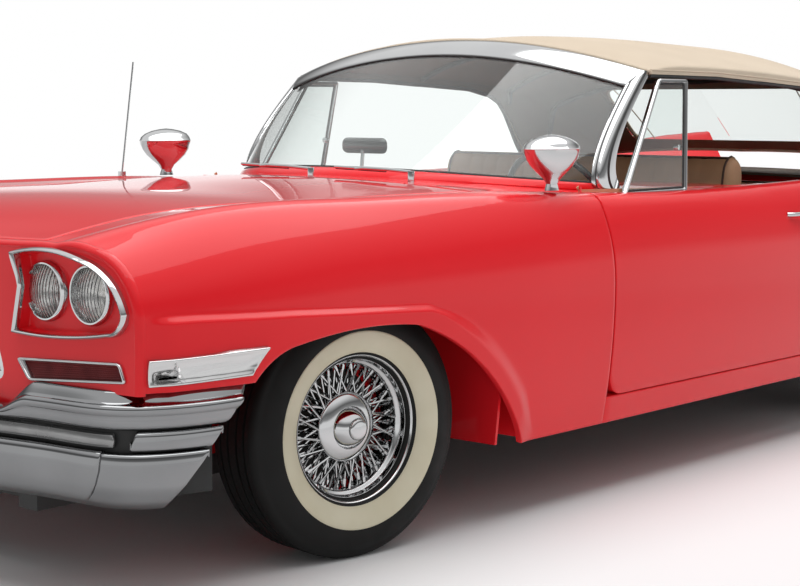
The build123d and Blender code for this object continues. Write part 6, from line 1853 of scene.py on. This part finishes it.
# Doors' inner sides: a folded steel box behind the skin, closed by a leathercloth card on hidden clips.
# The card has a pleated middle between two bright strips, an arm rest and two levers; a pull sits outside.
CARD_Y = 0.837
HINGE_X, HINGE_Y = joint["door_left_swing"]["pos_m"][:2]
HINGE_ROOM = 0.114
tan_leather = mottled(
    "tan_leather", (0.62, 0.375, 0.215), (0.55, 0.32, 0.175), 5.0, (0.42, 0.6), 420.0, 0.25
)
REST = [(-0.30, 0.665), (0.26, 0.665), (0.24, 0.705), (-0.28, 0.715)]
REST_PROFILE = [(0.0, CARD_Y), (0.0, 0.800), (0.003, 0.793), (0.010, 0.789), (0.018, 0.788)]
HANDLE_Z = 0.845
for side, sign in SIDES:
    flat_rim = inset(np.concatenate([door_grid[0][:, [0, 2]], door_grid[-1][::-1][:, [0, 2]]]), 0.004)
    folds = []
    for edge, shift in (
        (door_grid[0], (0, 0, 0.003)),
        (door_grid[:, 0], (0.003, 0, 0)),
        (door_grid[:, -1], (-0.010, 0, 0)),
    ):
        outer_edge = (edge + shift) - [0, 0.006, 0.002]
        outer_edge[:, 1] = np.maximum(outer_edge[:, 1], CARD_Y + 0.001)
        fold = []
        for share in np.linspace(0, 1, 9):
            line = outer_edge * [1, 1 - share, 1] + [0, share * CARD_Y, 0]
            if share > 0 or shift[2] > 0:
                swing = HINGE_ROOM ** 2 - (line[:, 1] - HINGE_Y) ** 2
                line[:, 0] = np.minimum(line[:, 0], HINGE_X - np.sqrt(np.maximum(swing, 0)))
            fold.append(line)
        fold_mesh = oriented(np.array(fold) * [1, sign, 1], np.array([0, -sign, 0.1]))
        folds.append(shaped("door_fold", *fold_mesh, red_enamel, thickness=0.0015, orient=False))
    mount(joined("door_box_" + side, folds), "door_" + side, "red_paint")
    flat, card_faces = filled(inset(flat_rim, 0.006), [], 0.018)
    pleat = np.abs(np.sin(np.pi * flat[:, 0] / 0.060)) ** 0.6 * ((flat[:, 1] > 0.52) & (flat[:, 1] < 0.74))
    verts = np.stack([flat[:, 0], sign * (CARD_Y - 0.003 - 0.006 * pleat), flat[:, 1]], 1)
    parts = [shaped("card", verts, card_faces, tan_leather, thickness=0.003)]
    for z in (0.52, 0.74):
        line = [(x, sign * (CARD_Y - 0.005), z) for x in np.linspace(-0.49, 0.77, 40)]
        parts.append(cord("card_strip", line, 0.004, satin))
    rest_rows = carried(rounded(REST, 0.016), REST_PROFILE, lambda x, z, y: (x, sign * y, z))
    parts.append(shaped("arm_rest", *lidded(rest_rows), tan_leather))
    for x, z, length in ((0.46, 0.63, 0.085), (0.30, 0.60, 0.075)):
        foot = np.array([x, sign * (CARD_Y - 0.004), z])
        parts.append(
            shaped("spindle", *bar(foot, foot - [0, sign * 0.026, 0], 0.014, 16), chrome, bevel=0.002)
        )
        lever = np.array([foot - [0, sign * 0.022, 0], foot - [length, sign * 0.030, 0.012]])
        parts.append(cord("lever", lever, 0.006, chrome))
        parts.append(
            shaped("knob", *bar(lever[1], lever[1] - [0, sign * 0.018, 0], 0.010, 14), chrome, bevel=0.003)
        )
    mount(joined("door_card_" + side, parts, 45.0), "door_" + side, "tan_leather")
    grip = []
    for x in np.linspace(-0.46, -0.28, 24):
        lift = 0.024 * math.sqrt(max(math.sin(math.pi * (x + 0.46) / 0.18), 0.0))
        grip.append((x, sign * (float(on_skin(x, row_at_z(x, HANDLE_Z))[1]) + lift), HANDLE_Z))
    pull = [cord("pull", grip, 0.008, chrome, 12)]
    button = np.array([-0.455, grip[0][1] - sign * 0.003, HANDLE_Z])
    pull.append(
        shaped("button", *bar(button, button + [0, sign * 0.012, 0], 0.013, 18), chrome, bevel=0.003)
    )
    mount(joined("door_handle_" + side, pull), "door_" + side, "chrome")

# Carpets: looped brown pile laid over the floor and the tunnel and tucked under the seats and the sills.
# One cut piece on a cloth back, held by its own weight and a few press studs.
carpet_pile = woven("brown_carpet", (0.10, 0.055, 0.032), (0.07, 0.038, 0.022), 30.0, 420.0, 0.8)
carpet_y = np.concatenate(
    [np.linspace(-0.66, -0.19, 12), np.linspace(-0.17, 0.17, 24), np.linspace(0.19, 0.66, 12)]
)
carpet_z = 0.318 + 0.124 / (1 + (np.abs(carpet_y) / 0.152) ** 24)
carpet_grid = np.array(
    [[(x, y, z) for y, z in zip(carpet_y, carpet_z)] for x in np.linspace(-0.50, 1.08, 24)]
)
carpet_mesh = oriented(carpet_grid, np.array([0, 0, 1.0]))
carpet = shaped("cabin_carpet", *carpet_mesh, carpet_pile, thickness=0.005, orient=False)
mount(carpet, "body", "black_plastic")

# Seats: sprung benches under leather, sewn in pleats over padding, with a plain border and dark piping.
# The covers are pulled over the frames and clipped beneath; the padding swells them between the seams.
FRONT_CUSHION = [(-2.215, 0.330), (-1.700, 0.330), (-1.672, 0.520), (-1.700, 0.586), (-2.180, 0.548)]
FRONT_BACK = [
    (-2.318, 0.372), (-2.150, 0.372), (-2.134, 0.560), (-2.215, 1.012), (-2.262, 1.050), (-2.312, 1.012),
    (-2.328, 0.560)
]
REAR_CUSHION = [(0.100, 0.330), (0.560, 0.330), (0.578, 0.500), (0.540, 0.560), (0.100, 0.522)]
REAR_BACK = [(0.004, 0.440), (0.150, 0.440), (0.148, 0.560), (0.048, 0.918), (0.006, 0.922)]
PLEAT = 0.069
brown_piping = mottled("brown_piping", (0.07, 0.032, 0.018), (0.05, 0.024, 0.014), 9.0, (0.45, 0.6))


def swollen(made, held):
    """Blows a sewn cover out between its held seams and keeps the movement small."""
    before = np.array([vertex.co[:] for vertex in made.data.vertices])
    group = made.vertex_groups.new(name="seams")
    group.add([int(k) for k in np.flatnonzero(held)], 1.0, "REPLACE")
    step = made.modifiers.new("cover", "CLOTH")
    step.settings.vertex_group_mass = "seams"
    step.settings.use_pressure = True
    step.settings.uniform_pressure_force = 4.0
    step.settings.effector_weights.gravity = 0.0
    step.settings.quality = 4
    step.point_cache.frame_start = 1
    step.point_cache.frame_end = 20
    for frame_number in range(1, 21):
        bpy.context.scene.frame_set(frame_number)
    graph = bpy.context.evaluated_depsgraph_get()
    after = np.array([vertex.co[:] for vertex in made.evaluated_get(graph).to_mesh().vertices])
    made.modifiers.remove(step)
    made.vertex_groups.clear()
    bpy.context.scene.frame_set(1)
    moved = after - before
    length = np.linalg.norm(moved, axis=1, keepdims=True)
    moved = moved * np.minimum(1.0, 0.006 / np.maximum(length, 1e-9))
    made.data.vertices.foreach_set("co", (before + moved).ravel())
    made.data.update()


def bench(name, points, origin_x, half_width, facing):
    """Pleated bench piece: its section swept across the car, rounded at both ends."""
    corners = np.array(points) + [origin_x, 0]
    shortest = np.linalg.norm(corners - np.roll(corners, 1, 0), axis=1).min()
    outline = rounded(corners, min(0.032, 0.48 * shortest))
    closed = np.concatenate([outline, outline[:1]])
    chord = run_lengths(closed)
    ring_count = 72
    at = np.linspace(0, chord[-1], ring_count, endpoint=False)
    ring = np.stack([np.interp(at, chord, closed[:, k]) for k in (0, 1)], 1)
    side_dir = unit(np.roll(ring, -1, 0) - np.roll(ring, 1, 0))
    normal = np.stack([side_dir[:, 1], -side_dir[:, 0]], 1)
    centre = ring.mean(0)
    if ((ring - centre) * normal).sum() < 0:
        normal = -normal
    pleated = np.clip(((normal * facing).sum(1) - 0.25) * 3, 0, 1)
    ends = 0.034 * (1 - np.cos(np.linspace(0.08, np.pi / 2, 7)))
    middle = np.linspace(half_width - 0.036, 0.036 - half_width, 150)
    ys = np.concatenate([half_width - ends, middle, -(half_width - ends[::-1])])
    rows, held = [], []
    for y in ys:
        past = np.clip((abs(y) - (half_width - 0.034)) / 0.034, 0, 1)
        shrink = 0.034 * (1 - math.sqrt(1 - past * past))
        phase = (y / PLEAT) % 1.0
        groove = 0.007 * abs(2 * phase - 1) ** 5 if abs(y) < half_width - 0.08 else 0.0
        section = ring - normal * (shrink + groove * pleated)[:, None]
        rows.append(np.stack([section[:, 0], np.full(ring_count, y), section[:, 1]], 1))
        seam = np.full(ring_count, past > 0.2) | (pleated < 0.05) | (
            (abs(2 * phase - 1) > 0.86) & (pleated > 0)
        )
        held.append(seam)
    made = shaped(name, *capped(rows), tan_leather, sharp=70.0)
    swollen(made, np.array(held).ravel())
    piping = []
    for y in (half_width - 0.030, -(half_width - 0.030)):
        line = [(x, y, z) for x, z in ring + normal * 0.001]
        piping.append(cord(name + "_piping", line, 0.0045, brown_piping, closed=True))
    edge_x, edge_z = ring[np.argmax(ring @ np.array([0.35 * facing[0], 1.0]))]
    edge = [(edge_x, y, edge_z + 0.001) for y in np.linspace(-half_width + 0.03, half_width - 0.03, 80)]
    piping.append(cord(name + "_edge", edge, 0.0045, brown_piping))
    return made, piping


up, ahead = np.array([0.3, 1.0]), np.array([1.0, 0.3])
seat_piping = []
for name, points, origin_x, half_width, facing, nodes in (
    ("front_cushion", FRONT_CUSHION, FRONT_AXLE, 0.688, up, ["front_seat"]),
    ("front_back", FRONT_BACK, FRONT_AXLE, 0.688, ahead, []),
    ("rear_cushion", REAR_CUSHION, CABIN_REAR_X, 0.598, up, ["rear_seat"]),
    ("rear_back", REAR_BACK, CABIN_REAR_X, 0.598, ahead, []),
):
    cover, piping = bench(name, points, origin_x, half_width, facing)
    mount(cover, "body", "tan_leather", *nodes)
    seat_piping.extend(piping)
mount(joined("seat_piping", seat_piping), "body", "tan_leather")
side_trims = []
trim_x, trim_z = np.meshgrid(np.linspace(-1.095, -0.545, 40), np.linspace(0.335, 0.905, 24))
pleats = np.abs(np.sin(math.pi * trim_x / PLEAT)) ** 0.6 * ((trim_z > 0.52) & (trim_z < 0.86))
for sign in (1, -1):
    trim_grid = np.stack([trim_x, sign * (0.622 - 0.004 * pleats), trim_z], -1)
    side_trims.append(panel("side_trim", trim_grid, (0, -sign, 0), tan_leather, depth=0.012))
shelf_y = np.linspace(-0.69, 0.69, 30)
shelf_grid = []
for x in np.linspace(-1.560, -1.116, 20):
    shelf_z = [float(on_skin(x, row_at_y(x, min(abs(y), 0.70)))[2]) + 0.007 for y in shelf_y]
    shelf_grid.append([(x, y, z) for y, z in zip(shelf_y, shelf_z)])
side_trims.append(panel("shelf_trim", np.array(shelf_grid), (0, 0, 1), dark_trim, depth=0.010))
mount(joined("rear_side_trims", side_trims), "body", "tan_leather")

# Dashboard: a pressed panel with a padded brow, round instruments, knobs and a bright strip.
# The column passes under it, and the inside mirror stands on it on a plated stem.
DASH = np.array([
    (-0.720, 0.905), (-0.720, 0.948), (-1.060, 0.960), (-1.200, 0.940),
    (-1.243, 0.905), (-1.215, 0.790), (-1.180, 0.694), (-1.100, 0.694),
]) + [FRONT_AXLE, 0]
DASH_PROFILE = [
    (0.008, -0.676), (0.002, -0.672), (0.0, -0.664), (0.0, -0.3), (0.0, 0.3), (0.0, 0.664), (0.002, 0.672),
    (0.008, 0.676),
]
KNOB_ROWS = [(0.012, -0.004), (0.012, 0.014), (0.016, 0.018), (0.016, 0.026), (0.012, 0.030)]
dash_trim = mottled("dash_trim", (0.05, 0.028, 0.02), (0.035, 0.02, 0.015), 6.0, (0.45, 0.62), 300.0, 0.2)
dial_face = mottled("dial_face", (0.02, 0.02, 0.021), (0.028, 0.028, 0.028), 30.0, (0.3, 0.4))
dial_mark = mottled("dial_mark", (0.75, 0.73, 0.66), (0.7, 0.68, 0.6), 30.0, (0.4, 0.5))
dash_rows = carried(rounded(DASH, 0.018), DASH_PROFILE, lambda x, z, y: (x, y, z))
dash = shaped("dash_panel", *capped(dash_rows), dash_trim, sharp=40.0)
dash_out = unit(np.array([-0.97, 0, -0.24]))
dash_up = np.array([dash_out[2], 0, -dash_out[0]])
dash_parts = []


def on_dash(y, z, out):
    """Point on the dash face at y, z, `out` in front of it."""
    x = np.interp(z, DASH[6:3:-1, 1], DASH[6:3:-1, 0])
    return np.array([x, y, z]) + dash_out * out


def dash_ray(turn, side=1.0):
    return math.cos(turn) * np.array([0, side, 0]) + math.sin(turn) * dash_up


def dash_disc(name, y, z, rows, finish, steps=36):
    """Round dash fitting from (radius, stand-off) rows, set square to the panel."""
    grid = []
    for radius, out in rows:
        turns = np.linspace(0, 2 * np.pi, steps, endpoint=False)
        grid.append([on_dash(y, z, out) + radius * dash_ray(t) for t in turns])
    return shaped(name, *capped(grid), finish, sharp=35.0)


for y, radius in ((0.47, 0.062), (0.31, 0.062), (0.39, 0.028)):
    z = 0.840 if radius > 0.05 else 0.765
    bezel_rows = [(0.007, -0.01), (0.007, 0.008), (0.003, 0.013), (0.0, 0.009), (-0.002, 0.003)]
    dash_parts.append(dash_disc("gauge", y, z, [(radius + wider, out) for wider, out in bezel_rows], chrome))
    dash_parts.append(
        dash_disc("dial", y, z, [(radius - 0.001, -0.004), (radius - 0.001, 0.004)], dial_face)
    )
    for k in range(11):
        ray = dash_ray(math.radians(215 - 25 * k), -1.0)
        mark = [on_dash(y, z, 0.005) + ray * radius * reach for reach in (0.72, 0.9)]
        dash_parts.append(cord("mark", mark, 0.001, dial_mark, 6))
    needle = [on_dash(y, z, 0.006) + dash_ray(2.2, -1.0) * radius * reach for reach in (0.0, 0.8)]
    dash_parts.append(cord("needle", needle, 0.0012, dial_mark, 6))
for y in (-0.12, -0.05, 0.02, 0.09, 0.16, 0.60):
    dash_parts.append(dash_disc("knob", y, 0.765, KNOB_ROWS, chrome, 20))
for z in (0.800, 0.885):
    line = [on_dash(y, z, 0.002) for y in np.linspace(-0.655, 0.655, 60)]
    dash_parts.append(cord("dash_strip", line, 0.0035, chrome))
box_line = rounded([(-0.58, 0.815), (-0.24, 0.815), (-0.24, 0.872), (-0.58, 0.872)], 0.012)
box_seam = [on_dash(y, z, 0.001) for y, z in box_line]
dash_parts.append(cord("glove_box", box_seam, 0.002, dark_trim, closed=True))
COLUMN = unit(np.array([math.cos(math.radians(26)), 0, -math.sin(math.radians(26))]))
WHEEL_CENTRE = np.array([FRONT_AXLE - 1.545, 0.390, 0.880])
column_bar = bar(WHEEL_CENTRE + COLUMN * 0.066, WHEEL_CENTRE + COLUMN * 0.700, 0.029, 24)
dash_parts.append(shaped("column", *column_bar, dash_trim, bevel=0.004))
stalk_steps = ((0.11, (0, 0, 0)), (0.10, (0, 0.10, 0.05)), (0.08, (0, 0.165, 0.065)))
stalk = [WHEEL_CENTRE + COLUMN * down + aside for down, aside in stalk_steps]
dash_parts.append(cord("stalk", stalk, 0.004, chrome))
MIRROR_BACK_X, INSIDE_MIRROR_Y = FRONT_AXLE - 1.000, -0.030
SHELL_PROFILE = [(0.004, 0.000), (0.0, 0.002), (0.0, 0.008), (0.004, 0.016), (0.012, 0.021)]
shell_corners = [(-0.100, 1.066), (0.100, 1.066), (0.100, 1.119), (-0.100, 1.119)]
shell_line = rounded(np.array(shell_corners) + [INSIDE_MIRROR_Y, 0], 0.024)
shell_rows = carried(shell_line, SHELL_PROFILE, lambda y, z, x: (MIRROR_BACK_X + x, y, z))
black_gloss = mottled(
    "black_gloss", (0.012, 0.012, 0.013), (0.016, 0.016, 0.017), 8.0, (0.12, 0.2), Coat_Weight=0.6
)
dash_parts.append(shaped("mirror_shell", *capped(shell_rows), black_gloss, sharp=40.0))
stem_steps = ((0.024, 0.945), (0.022, 1.02), (0.014, 1.086))
stem = [(MIRROR_BACK_X + ahead, INSIDE_MIRROR_Y, z) for ahead, z in stem_steps]
dash_parts.append(cord("mirror_stem", stem, 0.0065, chrome, 12))
mount(dash, "body", "black_plastic", "dashboard")
mount(joined("dash_fittings", dash_parts), "body", "black_plastic")

# Steering wheel: a moulded black rim on two plated spokes with a horn ring and a turned hub cap.
# It is keyed to the column and turns about it with the front wheels.
wheel_up = np.array([math.sin(math.radians(26)), 0, math.cos(math.radians(26))])


def on_wheel(radius, turn, out):
    """Point on the steering wheel at a radius and turn, `out` down the column."""
    ray = math.cos(turn) * np.array([0, 1, 0]) + math.sin(turn) * wheel_up
    return WHEEL_CENTRE + COLUMN * out + radius * ray


turns = np.linspace(0, 2 * np.pi, 96, endpoint=False)
rim_line = [on_wheel(0.208, t, 0.0) for t in turns]
horn_line = [on_wheel(0.128, t, 0.0) for t in np.linspace(math.radians(180), math.radians(360), 60)]
wheel_parts = [cord("rim", rim_line, 0.0115, black_gloss, 14, closed=True)]
wheel_parts.append(cord("horn_ring", horn_line, 0.0045, chrome, 10))
for turn in (0.0, np.pi):
    spoke = np.array([on_wheel(r, turn, 0.012 - 0.010 * r / 0.2) for r in np.linspace(0.02, 0.203, 12)])
    for shift in (-0.007, 0.007):
        wheel_parts.append(cord("spoke", spoke + wheel_up * shift, 0.0055, chrome, 10))
HUB_ROWS = [
    (0.010, 0.060), (0.030, 0.060), (0.033, 0.040), (0.034, 0.006), (0.031, -0.008), (0.022, -0.016),
    (0.008, -0.018),
]
hub_rows = [[on_wheel(radius, t, out) for t in turns[::2]] for radius, out in HUB_ROWS]
wheel_parts.append(shaped("hub", *capped(hub_rows), chrome, sharp=35.0))
mount(joined("helm", wheel_parts), "steering_wheel", "black_plastic", "steering_wheel")

# Fender mirrors: plated die-cast cups under domes, tapering to a foot, with a flat face behind.
# Each is screwed to the top of its fender through the foot; a bead parts the cup from the dome.
MIRROR_X, MIRROR_Y = FRONT_AXLE - 0.839, 0.880
MIRROR_TOP_Z = 1.147
CUP = [
    (0.0, 0.030, 0.017), (0.04, 0.028, 0.016), (0.12, 0.023, 0.014), (0.22, 0.034, 0.023),
    (0.32, 0.058, 0.038), (0.44, 0.084, 0.053), (0.56, 0.101, 0.063), (0.67, 0.110, 0.068),
    (0.735, 0.1125, 0.070), (0.742, 0.1145, 0.0715), (0.752, 0.1145, 0.0715), (0.76, 0.1120, 0.0695),
    (0.82, 0.107, 0.066), (0.89, 0.090, 0.056), (0.95, 0.062, 0.039), (0.985, 0.030, 0.019),
    (1.0, 0.004, 0.003)
]
MIRROR_FACE = 0.072
mirror_foot_z = float(on_skin(MIRROR_X, row_at_y(MIRROR_X, MIRROR_Y))[2]) - 0.008
for side, sign in SIDES:
    turns = np.linspace(0, 2 * np.pi, 64, endpoint=False)
    rows = []
    for share, long_r, wide_r in CUP:
        z = mirror_foot_z + share * (MIRROR_TOP_Z - mirror_foot_z)
        ring_x = MIRROR_X + np.maximum(long_r * np.cos(turns), -MIRROR_FACE)
        ring_y = sign * MIRROR_Y + wide_r * np.sin(turns)
        rows.append([(x, y, z) for x, y in zip(ring_x, ring_y)])
    shell = shaped("mirror_" + side, *capped(rows), chrome, sharp=42.0)
    mount(shell, "body", "chrome", *(["fender_mirrors"] if sign > 0 else []))

# Wipers: plated arms on splined pivots, each with a sprung blade that carries a strip of rubber.
# The pivots come up through the cowl at the foot of the windshield, and the blades rest along it.
wiper_parts = []
for pivot_y in (-0.020, 0.420):
    foot = np.array([FRONT_AXLE - 0.716, pivot_y, 1.002])
    wiper_parts.append(
        shaped("pivot", *bar(foot - [0, 0, 0.03], foot + [0, 0, 0.026], 0.011, 18), chrome, bevel=0.002)
    )
    arm_steps = ((0, 0, 0.022), (0.002, -0.10, 0.028), (0.004, -0.20, 0.030), (0.004, -0.235, 0.027))
    wiper_parts.append(cord("arm", [foot + step for step in arm_steps], 0.006, chrome, 10))
    blade_line = np.array(
        [foot + [-0.004, -0.115 - 0.22 * t, 0.026 + 0.005 * t] for t in np.linspace(0, 1, 12)]
    )
    wiper_parts.append(cord("blade", blade_line, 0.0048, chrome))
    wiper_parts.append(cord("squeegee", blade_line - [0.006, 0, 0.004], 0.004, seal_rubber))
mount(joined("wiper_set", wiper_parts), "body", "chrome", "wipers")

# Rear bumper: plated steel blades like the front, wrapped round the tail, with a dark gap between.
# Two domed overriders are bolted over the blades to the brackets behind them.
REAR_BAND = np.array(
    [(1.030, 0.998), (1.308, 0.998), (1.3985, 0.9605), (1.436, 0.870), (1.446, 0.400), (1.448, 0.0)]
)
rear_points = np.concatenate([REAR_BAND, REAR_BAND[-2::-1] * [1, -1]])
rear_chord = run_lengths(rear_points)
rear_s = np.linspace(0, rear_chord[-1], 801)
rear_xy = evened(np.stack([np.interp(rear_s, rear_chord, rear_points[:, k]) for k in (0, 1)], 1), 160)
rear_along = unit(np.gradient(rear_xy, axis=0))
rear_out = np.stack([-rear_along[:, 1], rear_along[:, 0]], 1)
REAR_UPPER = [
    (0.444, -0.034), (0.446, -0.012), (0.456, -0.004), (0.474, 0.001), (0.505, 0.0015), (0.526, -0.001),
    (0.542, -0.008), (0.551, -0.016), (0.554, -0.024), (0.554, -0.034)
]
REAR_LOWER = [
    (0.303, -0.044), (0.306, -0.034), (0.322, -0.016), (0.338, -0.005), (0.360, -0.002), (0.384, -0.003),
    (0.394, -0.008), (0.397, -0.016), (0.397, -0.034)
]
REAR_SHADE = [(0.330, -0.036), (0.330, -0.022), (0.520, -0.022), (0.520, -0.036)]


def rear_blade(levels, cut=0):
    rows = []
    for z, out in levels:
        xy = (rear_xy + rear_out * out)[cut:len(rear_xy) - cut:4]
        rows.append(np.stack([REAR_AXLE - xy[:, 0], xy[:, 1], np.full(len(xy), z)], 1))
    return np.array(rows)


# The rear blades and overriders use the same darker plating, with its painted shade.
rear_parts = []
for levels in (REAR_UPPER, REAR_LOWER):
    rear_parts.append(
        panel("rear_blade", rear_blade(levels), (-1, 0, 0), bumper_chrome, (0, 0, 1, 1), depth=0.02)
    )
dome_y = np.linspace(-0.034, 0.034, 11)
dome_lift = 0.004 + 0.007 * np.sin(np.linspace(0, np.pi, 11)) ** 0.5
for y in (0.46, -0.46):
    over = arc((0.302, -0.030), (0.430, 0.012), (0.552, -0.026), 24)
    row = int(np.argmin(np.abs(rear_xy[:, 1] - y)))
    rows = []
    for z, out in over:
        dome_x = REAR_AXLE - rear_xy[row, 0] - out - dome_lift
        rows.append(np.stack([dome_x, y + dome_y, np.full(11, z)], 1))
    rear_parts.append(panel("overrider", np.array(rows), (-1, 0, 0), bumper_chrome, depth=0.02))
mount(joined("rear_blades", rear_parts, 50.0), "body", "chrome", "rear_bumper")
shade_mesh = oriented(rear_blade(REAR_SHADE, 40), np.array([-1.0, 0, 0]))
shade = shaped("rear_bumper_shade", *shade_mesh, bumper_dark, thickness=0.003, orient=False)
mount(shade, "body", "black_steel")

# Tail: tall red lenses moulded in acrylic, each in a plated bezel, with a blank plate between them.
# Bezels and lenses are held by screws from behind; the plate is painted sheet in a bright frame.
LENS_PROFILE = [(0.012, -0.002), (0.012, 0.016), (0.016, 0.023), (0.022, 0.028), (0.0265, 0.0295)]
TAIL_BEZEL = [(0.0, 0.0), (0.0, 0.012), (0.003, 0.0185), (0.008, 0.0195), (0.012, 0.015), (0.013, 0.0)]
red_lens = mottled(
    "red_lens", (0.42, 0.004, 0.006), (0.32, 0.003, 0.004), 12.0, (0.08, 0.14), 120.0, 0.25, 0.002,
    Coat_Weight=1.0
)
tail_line = rounded([(0.804, 0.620), (0.916, 0.640), (0.886, 1.052), (0.846, 1.058)], 0.018)
tail_parts, tail_rings = [], []
for sign in (1, -1):
    lens_rows, bezel_rows = (
        carried(tail_line, profile, lambda y, z, out: (TAIL_X - out, sign * y, z))
        for profile in (LENS_PROFILE, TAIL_BEZEL)
    )
    tail_parts.append(shaped("lens", *lidded(lens_rows), red_lens, sharp=50.0))
    tail_rings.append(shaped("bezel", *wrapped(bezel_rows), chrome, sharp=45.0))
mount(joined("tail_lenses", tail_parts), "body", "red_glass", "tail_lamps")
plate_paint = mottled("plate_paint", (0.62, 0.60, 0.54), (0.56, 0.54, 0.48), 8.0, (0.35, 0.5))
plate_line = rounded([(-0.155, 0.575), (0.155, 0.575), (0.155, 0.725), (-0.155, 0.725)], 0.012)
for amount, out, finish in ((0.0, 0.004, chrome), (0.007, 0.006, plate_paint)):
    plate_rows = carried(plate_line, [(amount, -0.002), (amount, out)], lambda y, z, x: (TAIL_X - x, y, z))
    tail_rings.append(shaped("plate", *lidded(plate_rows), finish, bevel=0.0008))
mount(joined("tail_trim", tail_rings), "body", "chrome")

# Grille, antenna, rear window and the panels behind the skins keep the shape that they were modelled in.
# The grille is cast and plated, the mast is drawn tube and the window is flexible clear sheet.
# The panels are pressed steel, welded in and painted with the body.
for node in ("cowl_panel", "tail_panel", "wheel_aprons"):
    dress(node, red_enamel)
for node in ("grille", "antenna"):
    dress(node, chrome)
dress("rear_window", screen_glass)
